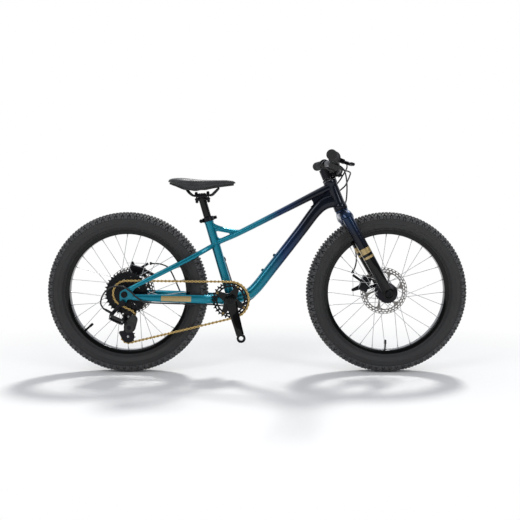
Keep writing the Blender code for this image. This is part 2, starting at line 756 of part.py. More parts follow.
# Places on the fork and cockpit, from the foot of the head tube: forward, left, up.
CROWN_RADIUS = 0.0205
LEG_BEND_START = 0.62
LEG_BEND_END = 0.95
CROWN_POINTS = [(0, 0, -0.021), (0, 0.025, -0.0215), (0.001, 0.047, -0.027),
                (0.0015, 0.063, -0.036), (0.0015, 0.074, -0.0425)]
CROWN_WIDTHS = [0.042, 0.042, 0.043, 0.043, 0.026]
CROWN_HEIGHTS = [0.025, 0.027, 0.034, 0.040, 0.024]
STEERER_TOP = HEAD_TUBE_LENGTH + SPACER_HEIGHT + STEM_STACK - 0.003
STEM_BOTTOM = HEAD_TUBE_LENGTH + SPACER_HEIGHT
BAR_CLAMP_UP = HEAD_TUBE_LENGTH + STEM_RISE
STEM_CLAMP_HALF_WIDTH = 0.022
BAR_CLAMP_WALL = 0.0045
FACEPLATE_BOLT_OFFSET = 0.0205
BAR_BEND_START = 0.038
BAR_BEND_END = 0.122
GRIP_END_CAP = 0.003
LEVER_DROP = math.radians(23)
LEVER_PIVOT = (0.025, -0.004)
LEVER_ROUTE = [(0.0255, -0.004), (0.042, 0.004), (0.055, 0.024), (0.060, 0.058),
               (0.062, 0.098)]
LEVER_HUB_RADIUS = 0.0062
LEVER_HUB_HALF = 0.0040
PERCH_LUG = 0.0030
PIN_RADIUS = 0.0018
BARREL_START = -0.014
BARREL_END = -0.034
BARREL_FORWARD = 0.021
PERCH_HALF_WIDTH = 0.006
CLAMP_WALL = 0.0042
SHIFTER_LEVER_PIVOT = (0.004, 0.004, -0.040)
SHIFTER_BARREL_LENGTH = 0.016
SHIFTER_ENTRY = (0.020, -0.010, -0.022)

BAR_CLAMP = in_steering(STEM_REACH, 0, BAR_CLAMP_UP)


def bar_centre(y):
    """The handlebar's centre line: level, up through the bends, then straight and swept."""
    span = (abs(y) - BAR_BEND_START) / (BAR_BEND_END - BAR_BEND_START)
    share = min(max(span, 0), 1)
    rise = BAR_RISE * share * share * (3 - 2 * share)
    back = BAR_SWEEP * max(abs(y) - BAR_BEND_START, 0) / (BAR_HALF_WIDTH - BAR_BEND_START)
    return BAR_CLAMP + Vector((-back, y, rise))


def bar_outward(side):
    """The straight end of the bar's direction, away from the middle."""
    return (bar_centre(side * BAR_HALF_WIDTH) - bar_centre(side * BAR_BEND_END)).normalized()


LEVER_AHEAD = Vector((math.cos(LEVER_DROP), 0, -math.sin(LEVER_DROP)))


def lever_up(side):
    """The brake lever's pivot direction: square to its reach and to the bar."""
    up = LEVER_AHEAD.cross(bar_outward(side)).normalized()
    return up if up.z > 0 else -up


def at_perch(side, ahead, out, up, offset=PERCH_OFFSET):
    """A world point by distances ahead of, outward along and above the bar's centre."""
    outward = bar_outward(side)
    forward = outward.cross(lever_up(side)).normalized()
    if forward.x < 0:
        forward = -forward
    return bar_centre(side * offset) + forward * ahead + outward * out + lever_up(side) * up


def crown(grow=0.0):
    """The fork crown's outside: an arch from one shoulder to the other."""
    points = CROWN_POINTS[:-1] + [(CROWN_POINTS[-1][0], CROWN_POINTS[-1][1] + grow,
                                   CROWN_POINTS[-1][2])]
    right = [in_steering(x, -y, z) for x, y, z in reversed(points)]
    left = [in_steering(x, y, z) for x, y, z in points[1:]]
    widths = CROWN_WIDTHS[::-1] + CROWN_WIDTHS[1:]
    heights = CROWN_HEIGHTS[::-1] + CROWN_HEIGHTS[1:]
    wide = np.array(widths) + 2 * grow
    high = np.array(heights) + 2 * grow
    return loft(section_rings(right + left, wide, high, 12, 2.4, STEER_FORWARD))


def leg_outer(side, grow=0.0):
    """One fork leg with its round dropout, solid, on the right (-1) or left (+1)."""
    top = in_steering(0.0015, side * FORK_LEG_OFFSET, -0.034)
    dropout_y = FRONT_DROPOUT_SPACING / 2 + FORK_DROPOUT_THICKNESS / 2
    foot = FRONT_AXLE + LEFT * side * dropout_y
    run = foot - top
    full = 2 * FORK_LEG_RADIUS
    places = (0, LEG_BEND_START, 0.80, 0.885, LEG_BEND_END)
    widths = [full, full * 0.97, full * 0.80, full * 0.56, FORK_DROPOUT_THICKNESS]
    heights = [full, full, full * 0.95, full * 0.95, full * 0.90]
    route = []
    for share in places:
        point = top + run * share
        straight = side * FORK_LEG_OFFSET
        bend = (share - LEG_BEND_START) / (LEG_BEND_END - LEG_BEND_START)
        blend = max(bend, 0) ** 1.6
        route.append(Vector((point.x, straight + (foot.y - straight) * blend, point.z)))
    leg = frame_tube(route, widths, heights, 1, 12, 2.1, grow=grow)
    half = FORK_DROPOUT_THICKNESS / 2 + grow
    return join(leg, cylinder(FORK_DROPOUT_RADIUS + grow, -half, half, 20,
                              lateral_frame(*foot)))


def fork_leg(side):
    """One fork leg, coped to the crown and bored for the axle."""
    leg = leg_outer(side)
    return cut(leg, crown(GAP), cylinder(AXLE_HOLE_RADIUS, -0.08, 0.08, 14,
                                         lateral_frame(*FRONT_AXLE)))


def make_fork(paints, steering):
    """The fork: crown with steerer, and a leg on each side."""
    piece = crown()
    race = cylinder(CROWN_RADIUS, -0.016, -GAP, 20, STEERING, top_radius=HEAD_CUP_RADIUS)
    steerer = cylinder(STEERER_RADIUS, -0.018, STEERER_TOP, 20, STEERING)
    join(piece, race, steerer)
    finish(piece, "fork_crown", paints["navy"], steering)
    finish(fork_leg(-1), "fork_leg_right", paints["navy"], steering)
    finish(fork_leg(1), "fork_leg_left", paints["navy"], steering)


def make_stem(paints, steering):
    """The headset spacer, the stem with its top cap, and the faceplate."""
    bore = STEERER_RADIUS + GAP
    top = STEM_BOTTOM - GAP
    low = HEAD_TUBE_LENGTH + GAP
    spacer = turned([(0.0170, top), (0.0185, top - 0.002), (HEAD_CUP_RADIUS, low + 0.002),
                     (HEAD_CUP_RADIUS, low), (bore, low), (bore, top)], 16, STEERING, ring=True)
    finish(spacer, "headset_spacer", paints["black"], steering)

    stem_top = STEM_BOTTOM + STEM_STACK
    clamp_radius = BAR_CLAMP_RADIUS + GAP + BAR_CLAMP_WALL
    body = cylinder(STEM_CLAMP_RADIUS, STEM_BOTTOM, stem_top, 20, STEERING)
    across = frame_at(BAR_CLAMP, LEFT, STEER_FORWARD)
    half = STEM_CLAMP_HALF_WIDTH
    bar_side = cylinder(clamp_radius, -half, half, 20, across)
    neck = block((STEM_REACH, 0.032, 0.026), STEERING,
                 (STEM_REACH / 2, 0, BAR_CLAMP_UP))
    front = block((0.060, 0.080, 0.080), across, (0.030, 0, 0))
    cap = cylinder(0.0165, stem_top - 0.001, stem_top + 0.0035, 16, STEERING)
    join(body, neck, bar_side)
    cut(body, front, cylinder(BAR_CLAMP_RADIUS + GAP, -0.05, 0.05, 20, across),
        cylinder(bore, STEM_BOTTOM - 0.01, STEERER_TOP + GAP, 20, STEERING))
    join(body, cap)
    finish(body, "stem", paints["black"], steering)

    plate_body = cylinder(clamp_radius, -half, half, 20, across)
    rear = block((0.060, 0.080, 0.080), across, (-0.030 + 2 * GAP, 0, 0))
    cut(plate_body, rear, cylinder(BAR_CLAMP_RADIUS + GAP, -0.05, 0.05, 20, across))
    bolts = []
    for y in (-0.7 * half, 0.7 * half):
        for lift in (-1, 1):
            place = across @ Vector((2 * GAP, lift * FACEPLATE_BOLT_OFFSET, y))
            bolts.append(cylinder(0.0042, 0, 0.009, 8, frame_at(place, STEER_FORWARD, LEFT)))
    join(plate_body, *bolts)
    finish(plate_body, "stem_faceplate", paints["black"], steering)


def make_handlebar(paints, steering):
    """The riser bar, thick in the clamp, and a grip on each end."""
    half = [0, 0.026, 0.040, 0.058, 0.076, 0.096, BAR_BEND_END, BAR_HALF_WIDTH]
    places = [-y for y in reversed(half)] + half[1:]
    thick = BAR_CLAMP_RADIUS / BAR_RADIUS
    radii = [float(np.interp(abs(y), (0.026, 0.062), (thick, 1))) for y in places]
    bar = solid_tube([bar_centre(y) for y in places], BAR_RADIUS, 2, radii)
    finish(bar, "handlebar", paints["black"], steering)

    for side, name in ((-1, "grip_right"), (1, "grip_left")):
        end = bar_centre(side * BAR_HALF_WIDTH)
        bore = BAR_RADIUS + GAP
        grip = turned([(0, GRIP_END_CAP), (GRIP_RADIUS - 0.002, GRIP_END_CAP),
                       (GRIP_RADIUS, GRIP_END_CAP - 0.002), (GRIP_RADIUS, 0.004 - GRIP_LENGTH),
                       (GRIP_RADIUS + 0.0035, 0.003 - GRIP_LENGTH),
                       (GRIP_RADIUS + 0.0035, -GRIP_LENGTH), (bore, -GRIP_LENGTH),
                       (bore, GAP), (0, GAP)], 14, frame_at(end, bar_outward(side), UP))
        finish(grip, name, paints["rubber"], steering)


def make_brake_lever(side, name, paints, steering, lever_axis):
    """A brake lever on its perch, which clamps the bar and holds the cable's barrel."""
    outward = bar_outward(side)
    up = lever_up(side)
    centre = at_perch(side, 0, 0, 0)
    pivot = at_perch(side, *LEVER_PIVOT, 0)
    clamp = cylinder(BAR_RADIUS + CLAMP_WALL, -PERCH_HALF_WIDTH, PERCH_HALF_WIDTH, 14,
                     frame_at(centre, outward, up))
    reach = LEVER_PIVOT[0]
    body_centre = at_perch(side, reach * 0.55, -0.004, 0)
    height = 2 * (LEVER_HUB_HALF + GAP + PERCH_LUG)
    body = block((reach + 0.006, 0.016, height), frame_at(body_centre, up, LEVER_AHEAD),
                 (0, 0, 0))
    lug = cylinder(LEVER_HUB_RADIUS + 0.0012, -height / 2, height / 2, 12,
                   frame_at(pivot, up, LEVER_AHEAD))
    barrel_start = at_perch(side, BARREL_FORWARD, BARREL_START + 0.004, 0)
    barrel = cylinder(0.0042, 0, BARREL_START - BARREL_END + 0.004, 10,
                      frame_at(barrel_start, -outward, up), top_radius=0.0036)
    slot_centre = at_perch(side, *LEVER_PIVOT, 0)
    slot_half = LEVER_HUB_HALF + GAP
    slot = cylinder(LEVER_HUB_RADIUS + 0.0035, -slot_half, slot_half, 16,
                    frame_at(slot_centre, up, LEVER_AHEAD))
    pin = cylinder(PIN_RADIUS, -height / 2 + 0.001, height / 2 - 0.001, 8,
                   frame_at(pivot, up, LEVER_AHEAD))
    join(clamp, body, lug, barrel)
    cut(clamp, slot, cylinder(BAR_RADIUS + GAP, -0.03, 0.03, 14, frame_at(centre, outward, up)))
    join(clamp, pin)
    finish(clamp, "brake_perch_" + name, paints["black"], steering)

    hub = cylinder(LEVER_HUB_RADIUS, -LEVER_HUB_HALF, LEVER_HUB_HALF, 12,
                   frame_at(pivot, up, LEVER_AHEAD))
    route = [at_perch(side, ahead, out, 0) for ahead, out in LEVER_ROUTE]
    path = smooth_path(route, 1)
    wide = along([0.0078, 0.0076, 0.0074, 0.0072, 0.0070], len(path))
    high = along([0.0090, 0.0105, 0.0105, 0.0095, 0.0085], len(path))
    blade = loft(section_rings(path, wide, high, 8, 2.6, up))
    ball = turned([(0, 0.0052), (0.0042, 0.0032), (0.0055, 0), (0.0042, -0.0032),
                   (0, -0.0052)], 8, frame_at(route[-1], up, LEVER_AHEAD))
    join(hub, blade, ball)
    cut(hub, cylinder(PIN_RADIUS + GAP, -0.01, 0.01, 8, frame_at(pivot, up, LEVER_AHEAD)))
    finish(hub, "brake_lever_" + name, paints["black"], lever_axis)


def make_shifter(paints, steering, lever_axis):
    """The shifter under the right of the bar, and its thumb lever."""
    outward = bar_outward(-1)
    up = lever_up(-1)
    centre = at_perch(-1, 0, 0, 0, SHIFTER_OFFSET)
    clamp = cylinder(BAR_RADIUS + CLAMP_WALL, -0.005, 0.005, 14, frame_at(centre, outward, up))
    pod = frame_at(at_perch(-1, 0.006, 0.002, -0.0235, SHIFTER_OFFSET), up, LEVER_AHEAD)
    body = block((0.036, 0.030, 0.022), pod, (0, 0, 0), 0.006, 1)
    entry = at_perch(-1, *SHIFTER_ENTRY, SHIFTER_OFFSET)
    barrel = cylinder(0.0042, 0, SHIFTER_BARREL_LENGTH, 10,
                      frame_at(entry, shifter_exit(), up), top_radius=0.0036)
    join(clamp, body, barrel)
    cut(clamp, cylinder(BAR_RADIUS + GAP, -0.03, 0.03, 14, frame_at(centre, outward, up)))
    pivot = shifter_pivot()
    join(clamp, cylinder(0.0030, -0.008, 0.006, 12, frame_at(pivot, up, LEVER_AHEAD)))
    finish(clamp, "shifter_body", paints["black"], steering)

    disc = cylinder(0.0090, -0.0030, 0.0020, 14, frame_at(pivot, up, LEVER_AHEAD))
    route = [at_perch(-1, *point, SHIFTER_OFFSET) for point in
             ((0.002, 0.004, -0.0405), (-0.014, 0.012, -0.0405), (-0.026, 0.022, -0.038),
              (-0.032, 0.030, -0.035))]
    path = smooth_path(route, 2)
    paddle = loft(section_rings(path, along([0.004, 0.004, 0.010, 0.012], len(path)),
                                along([0.010, 0.009, 0.006, 0.005], len(path)), 8, 2.8, up))
    join(disc, paddle)
    cut(disc, cylinder(0.0030 + GAP, -0.02, 0.02, 12, frame_at(pivot, up, LEVER_AHEAD)))
    finish(disc, "shift_lever", paints["black"], lever_axis)


def shifter_exit():
    """The way the shift housing leaves the shifter: forward and inboard."""
    return (LEVER_AHEAD * 0.75 - bar_outward(-1) * 0.65).normalized()


def shifter_pivot():
    """The centre of the thumb lever's disc, under the shifter."""
    return at_perch(-1, *SHIFTER_LEVER_PIVOT, SHIFTER_OFFSET)

# Wheel parts, as (radius, distance to the left) from the wheel's centre.
TYRE_STEPS = 32
HUB_STEPS = 12
BEAD_RADIUS = RIM_RADIUS - 0.0060
RIM_BED_HALF = RIM_WIDTH / 2 - RIM_WALL
HUB_FLANGE_OUTER = FLANGE_RADIUS + 0.005
HUB_CENTRE_RADIUS = 0.0125
HUB_END_RADIUS = 0.0090
ROTOR_BOSS_RADIUS = 0.0170
ROTOR_SEAT_RADIUS = 0.0225
FREEHUB_RADIUS = 0.0160
CROSSES = 3
SPOKE_STAGGER = 0.0012
SPOKE_RIM_OUTER = 0.0045
SPOKE_RIM_INNER = 0.0015
ROTOR_ARMS = 6
ROTOR_HUB_RADIUS = 0.0250
ROTOR_ARM_SWEEP = math.radians(16)
CALIPER_WALL_GAP = 0.0011
FRONT_ROTOR_Y = FRONT_DROPOUT_SPACING / 2 - FRONT_ROTOR_INSET
REAR_ROTOR_Y = REAR_DROPOUT_SPACING / 2 - REAR_ROTOR_INSET
CASSETTE_INNER_Y = CHAIN_LINE - (len(COG_TEETH) - 1 - COG_IN_USE) * COG_SPACING
FRONT_FLANGES = (0.0265, -0.0330)
REAR_FLANGES = (0.0350, -0.0240)


def make_tyre(name, centre, paints, spin):
    """A wide tyre whose bead sits in the rim's bed."""
    half = TYRE_WIDTH / 2
    depth = WHEEL_RADIUS - RIM_RADIUS
    outside = [(RIM_RADIUS + GAP, 0.51 * half),
               (RIM_RADIUS + 0.295 * depth, 0.92 * half),
               (RIM_RADIUS + 0.689 * depth, half), (WHEEL_RADIUS, 0.47 * half)]
    inside = [(RIM_RADIUS + GAP, RIM_BED_HALF - GAP), (BEAD_RADIUS + GAP, RIM_BED_HALF - GAP)]
    down = outside + [(r, -y) for r, y in reversed(outside)]
    up = [(r, -y) for r, y in inside] + [(r, y) for r, y in reversed(inside)]
    tyre = turned(down + up, TYRE_STEPS, lateral_frame(*centre), ring=True)
    finish(tyre, name, paints["rubber"], spin)


def make_rim(name, centre, paints, spin):
    """A deep rim with a bed between its two flanges."""
    half = RIM_WIDTH / 2
    down = [(RIM_RADIUS, half), (RIM_RADIUS, RIM_BED_HALF), (BEAD_RADIUS, RIM_BED_HALF),
            (BEAD_RADIUS, -RIM_BED_HALF), (RIM_RADIUS, -RIM_BED_HALF), (RIM_RADIUS, -half)]
    up = [(RIM_INNER_RADIUS, -half + 0.005), (RIM_INNER_RADIUS, half - 0.005)]
    rim = turned(down + up, TYRE_STEPS, lateral_frame(*centre), ring=True)
    finish(rim, name, paints["black"], spin)


def spokes(centre, flanges):
    """All of a wheel's spokes as separate bars: each flange's lean both ways in turn."""
    per_flange = SPOKE_COUNT // 2
    step = 2 * math.pi / per_flange
    work = bmesh.new()
    for side, flange in zip((1, -1), flanges):
        for k in range(per_flange):
            leading = k % 2
            angle = k * step + (0 if side > 0 else step / 2)
            lean = CROSSES * step * (1 if leading else -1)
            start_y = flange + side * SPOKE_STAGGER * (1 if leading else -1)
            end_y = side * (SPOKE_RIM_OUTER if leading else SPOKE_RIM_INNER)
            start = Vector((FLANGE_RADIUS * math.cos(angle), start_y,
                            FLANGE_RADIUS * math.sin(angle)))
            reach = RIM_INNER_RADIUS * math.cos(math.pi / TYRE_STEPS) - 2 * GAP
            end = Vector((reach * math.cos(angle + lean), end_y,
                          reach * math.sin(angle + lean)))
            along_spoke = end - start
            place = frame_at(Vector(centre) + (start + end) / 2, along_spoke, LEFT)
            bmesh.ops.create_cone(work, cap_ends=True, segments=3, radius1=SPOKE_DIAMETER / 2,
                                  radius2=SPOKE_DIAMETER / 2, depth=along_spoke.length,
                                  matrix=place)
    mesh = bpy.data.meshes.new("spokes")
    work.to_mesh(mesh)
    work.free()
    return new_shape(mesh)


def hub_profile(flanges, left_end, right_end, rotor_y):
    """A hub's outside from left to right: end, rotor boss and seat, then the flanges."""
    half = 0.0025
    seat = rotor_y - ROTOR_THICKNESS / 2 - GAP
    left, right = flanges
    return [(0, left_end), (HUB_END_RADIUS, left_end), (HUB_END_RADIUS, rotor_y + 0.004),
            (ROTOR_BOSS_RADIUS, rotor_y + 0.0025), (ROTOR_BOSS_RADIUS, seat),
            (ROTOR_SEAT_RADIUS, seat), (HUB_CENTRE_RADIUS + 0.004, left + half + 0.001),
            (HUB_FLANGE_OUTER, left + half), (HUB_FLANGE_OUTER, left - half),
            (HUB_CENTRE_RADIUS, left - half - 0.004), (HUB_CENTRE_RADIUS, right + half + 0.004),
            (HUB_FLANGE_OUTER, right + half), (HUB_FLANGE_OUTER, right - half),
            (HUB_CENTRE_RADIUS + 0.003, right - half - 0.001),
            (HUB_END_RADIUS, right_end + 0.0002), (HUB_END_RADIUS, right_end), (0, right_end)]


def make_hub(name, centre, flanges, ends, rotor_y, paints, spin):
    """A hub with its laced spokes, whose tips stop at the rim."""
    profile = hub_profile(flanges, ends[0], ends[1], rotor_y)
    hub = turned(profile, HUB_STEPS, lateral_frame(*centre))
    join(hub, spokes(centre, flanges))
    cut(hub, cylinder(AXLE_RADIUS + BEARING_GAP, -0.12, 0.12, 12, lateral_frame(*centre)))
    finish(hub, name, paints["black"], spin)


def rotor_window(index):
    """The outline of one gap between two swept arms of a rotor."""
    inner, outer = ROTOR_HUB_RADIUS, ROTOR_RADIUS - ROTOR_BAND
    pitch = 2 * math.pi / ROTOR_ARMS
    arm_at_hub, arm_at_rim = 0.0095 / inner, 0.0085 / outer
    start = index * pitch
    outline = []
    for t in np.linspace(0, 1, 3):
        outline.append((inner, start + arm_at_hub / 2 + t * (pitch - arm_at_hub)))
    for t in np.linspace(1, 0, 3):
        outline.append((outer, start + ROTOR_ARM_SWEEP + arm_at_rim / 2
                        + t * (pitch - arm_at_rim)))
    return [(r * math.cos(a), r * math.sin(a)) for r, a in outline]


def make_rotor(name, centre, y, paints, spin):
    """A brake rotor: a band on swept arms, seated on the hub's boss."""
    outlines = [circle((0, 0), ROTOR_RADIUS, 32),
                circle((0, 0), ROTOR_BOSS_RADIUS + GAP, HUB_STEPS)]
    outlines += [rotor_window(k) for k in range(ROTOR_ARMS)]
    rotor = plate(outlines, ROTOR_THICKNESS, side_frame(centre[0], y, centre[2]))
    finish(rotor, name, paints["steel"], spin)


def make_axle(name, centre, spacing, thickness, paints, carrier=None):
    """A wheel's axle with a round head outside each dropout."""
    end = spacing / 2 + thickness + GAP
    head = 0.0055
    axle = turned([(0, end + head), (0.0085, end + head), (0.0105, end + head - 0.0015),
                   (0.0105, end), (AXLE_RADIUS, end), (AXLE_RADIUS, -end), (0.0105, -end),
                   (0.0105, 0.0015 - end - head), (0.0085, -end - head), (0, -end - head)],
                  12, lateral_frame(*centre))
    finish(axle, name, paints["black"], carrier)


# Disc brake calipers, as (forward, up) from the wheel's centre, and their arms.
CALIPER_LENGTH = 0.052
CALIPER_DEPTH = 0.030
CALIPER_HALF_WIDTH = 0.0135
CALIPER_ARM_THICKNESS = 0.0036
ARM_STANDOFF = 0.0040
ARM_SPINDLE_RADIUS = 0.0040
FRONT_CALIPER = (-0.0655, 0.0250)
FRONT_CALIPER_TILT = math.radians(159)
FRONT_ARM_PIVOT = (-0.0690, 0.0150)
FRONT_ARM_END = (-0.1030, 0.0010)
FRONT_STOP = (-0.1045, 0.0530)
REAR_CALIPER = (0.0200, 0.0690)
REAR_CALIPER_TILT = math.radians(74)
REAR_ARM_PIVOT = (0.0110, 0.0640)
REAR_ARM_END = (0.0005, 0.0930)
REAR_STOP = (0.0560, 0.0915)
FRONT_FEET = [from_point(FRONT_AXLE, [(-0.061, 0.048, 0.046), (-0.035, 0.058, 0.052)]),
              from_point(FRONT_AXLE, [(-0.055, 0.048, 0.009), (-0.015, 0.057, 0.020)])]
REAR_FEET = [from_point(REAR_AXLE, [(0.038, 0.060, 0.060), (0.051, 0.070, 0.040)]),
             from_point(REAR_AXLE, [(0.043, 0.060, 0.070), (0.079, 0.068, 0.050)])]


def caliper_place(centre, offset, y, tilt=0.0):
    """A placement at an offset from the axle: local Z to the left, X turned by the tilt."""
    direction = Vector((math.cos(tilt), 0, math.sin(tilt)))
    return frame_at(Vector((centre[0] + offset[0], y, centre[2] + offset[1])), LEFT, direction)


def make_caliper(name, centre, offset, tilt, pivot, stop, rotor_y, feet, carrying, paints,
                 carrier=None):
    """A caliper round its rotor: body, cover, housing stop, and feet on what carries it."""
    place = caliper_place(centre, offset, rotor_y, tilt + math.pi / 2)
    body = block((CALIPER_LENGTH, CALIPER_DEPTH, 2 * CALIPER_HALF_WIDTH), place, (0, 0, 0))
    cover_place = caliper_place(centre, pivot, rotor_y)
    cover = cylinder(0.0150, CALIPER_HALF_WIDTH - 0.004, CALIPER_HALF_WIDTH + 0.0035, 14,
                     cover_place)
    outer = caliper_arm_outer()
    spindle = cylinder(ARM_SPINDLE_RADIUS, CALIPER_HALF_WIDTH, outer + 0.001, 10, cover_place)
    head = cylinder(ARM_SPINDLE_RADIUS + 0.0025, outer, outer + 0.0025, 10, cover_place)
    knob = cylinder(0.0085, -CALIPER_HALF_WIDTH - 0.0020, -CALIPER_HALF_WIDTH + 0.001, 12,
                    cover_place)
    stop_point = stop_place(centre, stop, rotor_y)
    stem_point = Vector((centre[0] + offset[0], rotor_y + CALIPER_HALF_WIDTH - 0.005,
                         centre[2] + offset[1]))
    bracket = frame_tube([stem_point, (stem_point + stop_point) / 2 + LEFT * 0.001, stop_point],
                         [0.012, 0.009, 0.009], [0.011, 0.009, 0.009], 1, 8, 2.6)
    foot_solids = [frame_tube([start, end], [0.010] * 2, [0.011] * 2, 1, 8, 3.0)
                   for start, end in feet]
    join(body, cover, knob, bracket, *foot_solids)
    cut(body, cylinder(ROTOR_RADIUS + 0.0020, -ROTOR_THICKNESS / 2 - CALIPER_WALL_GAP,
                       ROTOR_THICKNESS / 2 + CALIPER_WALL_GAP, 36,
                       lateral_frame(centre[0], rotor_y, centre[2])))
    join(body, spindle, head)
    for solid in carrying:
        cut(body, solid)
    finish(body, name, paints["black"], carrier)


def arm_plane(rotor_y):
    """The plane in which a caliper's arm swings and its wire runs."""
    return rotor_y + CALIPER_HALF_WIDTH + ARM_STANDOFF + CALIPER_ARM_THICKNESS / 2


def caliper_arm_outer():
    """How far outside the rotor's plane the spindle's head begins."""
    return CALIPER_HALF_WIDTH + ARM_STANDOFF + CALIPER_ARM_THICKNESS + GAP


def stop_place(centre, stop, rotor_y):
    """Where the housing stops on a caliper."""
    return Vector((centre[0] + stop[0], arm_plane(rotor_y), centre[2] + stop[1]))


def arm_end_place(centre, end, rotor_y):
    """Where the wire meets a caliper's arm."""
    return Vector((centre[0] + end[0], arm_plane(rotor_y), centre[2] + end[1]))


def make_caliper_arm(name, centre, pivot, end, rotor_y, paints, carrier):
    """The arm that the cable pulls, on its caliper's spindle."""
    start = (centre[0] + pivot[0], centre[2] + pivot[1])
    tip = (centre[0] + end[0], centre[2] + end[1])
    arm = plate([bar_outline(start, 0.0095, tip, 0.0050, 6),
                 circle(start, ARM_SPINDLE_RADIUS + GAP, 10)],
                CALIPER_ARM_THICKNESS, side_frame(0, arm_plane(rotor_y), 0))
    finish(arm, name, paints["silver"], carrier)


def make_wheels(paints, front_spin, rear_spin, steering):
    """Both wheels, their axles and their brakes' rotors."""
    front_half = FRONT_DROPOUT_SPACING / 2 - GAP
    rear_left = REAR_DROPOUT_SPACING / 2 - GAP
    make_tyre("front_tyre", FRONT_AXLE, paints, front_spin)
    make_rim("front_rim", FRONT_AXLE, paints, front_spin)
    make_hub("front_hub", FRONT_AXLE, FRONT_FLANGES, (front_half, -front_half), FRONT_ROTOR_Y,
             paints, front_spin)
    make_rotor("front_rotor", FRONT_AXLE, FRONT_ROTOR_Y, paints, front_spin)
    make_axle("front_axle", FRONT_AXLE, FRONT_DROPOUT_SPACING, FORK_DROPOUT_THICKNESS, paints,
              steering)
    make_tyre("rear_tyre", REAR_AXLE, paints, rear_spin)
    make_rim("rear_rim", REAR_AXLE, paints, rear_spin)
    make_hub("rear_hub", REAR_AXLE, REAR_FLANGES, (rear_left, 0.0020 - CASSETTE_INNER_Y),
             REAR_ROTOR_Y, paints, rear_spin)
    make_rotor("rear_rotor", REAR_AXLE, REAR_ROTOR_Y, paints, rear_spin)
    make_axle("rear_axle", REAR_AXLE, REAR_DROPOUT_SPACING, DROPOUT_THICKNESS, paints)


def make_calipers(paints, steering, front_arm, rear_arm):
    """The two brakes: the front one on the left fork leg, the rear one on the seatstay."""
    make_caliper("front_caliper", FRONT_AXLE, FRONT_CALIPER, FRONT_CALIPER_TILT,
                 FRONT_ARM_PIVOT, FRONT_STOP, FRONT_ROTOR_Y, FRONT_FEET, [leg_outer(1, GAP)],
                 paints, steering)
    make_caliper_arm("front_caliper_arm", FRONT_AXLE, FRONT_ARM_PIVOT, FRONT_ARM_END,
                     FRONT_ROTOR_Y, paints, front_arm)
    make_caliper("rear_caliper", REAR_AXLE, REAR_CALIPER, REAR_CALIPER_TILT, REAR_ARM_PIVOT,
                 REAR_STOP, REAR_ROTOR_Y, REAR_FEET, [seatstay(1, GAP), dropout_tabs(1, GAP)],
                 paints)
    make_caliper_arm("rear_caliper_arm", REAR_AXLE, REAR_ARM_PIVOT, REAR_ARM_END,
                     REAR_ROTOR_Y, paints, rear_arm)

# The derailleur's pulleys and pivots, from the rear axle.
GUIDE_PULLEY = by_rear_axle(0.0081, -0.0764)
TENSION_PULLEY = by_rear_axle(0.0061, -0.1431)
CAGE_PIVOT = by_rear_axle(0.0147, -0.1094)
CAGE_PLATE = 0.0016
CAGE_HALF_GAP = 0.0037
CAGE_RADIUS = 0.0105
PULLEY_THICKNESS = 0.0022
PULLEY_BOLT_RADIUS = 0.0026
CLUTCH_RADIUS = 0.0165
CLUTCH_INNER_Y = -0.0540
CLUTCH_OUTER_Y = -0.0770
LARGEST_PLAIN_COG = 24
LINK_START = REAR_AXLE + Vector((-0.0427, -0.088, -0.0689))
LINK_RUN = Vector((0.0377, 0.0, -0.0175))
LINK_PIN_TILT = math.radians(47.2)
LINK_SPACING = 0.0160
LINK_HALF_HEIGHT = 0.0038
LINK_RADIUS = 0.0046
LINK_PIN_RADIUS = 0.0021
LUG_LOW = LINK_HALF_HEIGHT + GAP
LUG_HIGH = 0.0100
LUG_RADIUS = 0.0066
NECK_RADIUS = 0.0065
CLUTCH_CAP = 0.0025
DERAILLEUR_BARREL = 0.021
SPIDER_ARMS = 4
SPIDER_INNER = 0.020
SPIDER_THICKNESS = 0.0040
SPIDER_TIP = 0.0055
RING_BOLT_RADIUS = 0.0042


def pitch_radius(teeth):
    """The circle through a sprocket's chain pins."""
    return CHAIN_PITCH / (2 * math.sin(math.pi / teeth))


def sprocket_outline(centre, teeth, pin_angle, shaped=True):
    """A sprocket's outline: teeth that stand between the chain's rollers.

    A tooth's foot meets the two valley floors beside it, each square to its pin's radius.
    An unshaped sprocket has a point for each tip and each valley.
    """
    half = math.pi / teeth
    floor = pitch_radius(teeth) - CHAIN_HEIGHT / 2 - CHAIN_GAP
    foot = (CHAIN_PITCH / 2 - ROLLER_LENGTH / 2 * math.cos(half)
            - CHAIN_HEIGHT / 2 * math.sin(half) - CHAIN_GAP)
    foot_reach = (floor - foot * math.sin(half)) / math.cos(half)
    tip_reach = pitch_radius(teeth) + TOOTH_TIP_HEIGHT
    if shaped:
        tooth = [(foot_reach, -foot), (tip_reach, -TOOTH_TIP_WIDTH / 2),
                 (tip_reach, TOOTH_TIP_WIDTH / 2), (foot_reach, foot)]
    elif teeth > LARGEST_PLAIN_COG:
        tooth = [(floor, -floor * math.tan(half) * 0.98), (tip_reach, 0)]
    else:
        tooth = [(pitch_radius(teeth), 0)]
    outline = []
    for k in range(teeth):
        angle = pin_angle + half + k * 2 * half
        for reach, across in tooth:
            outline.append((centre[0] + reach * math.cos(angle) - across * math.sin(angle),
                            centre[1] + reach * math.sin(angle) + across * math.cos(angle)))
    return outline


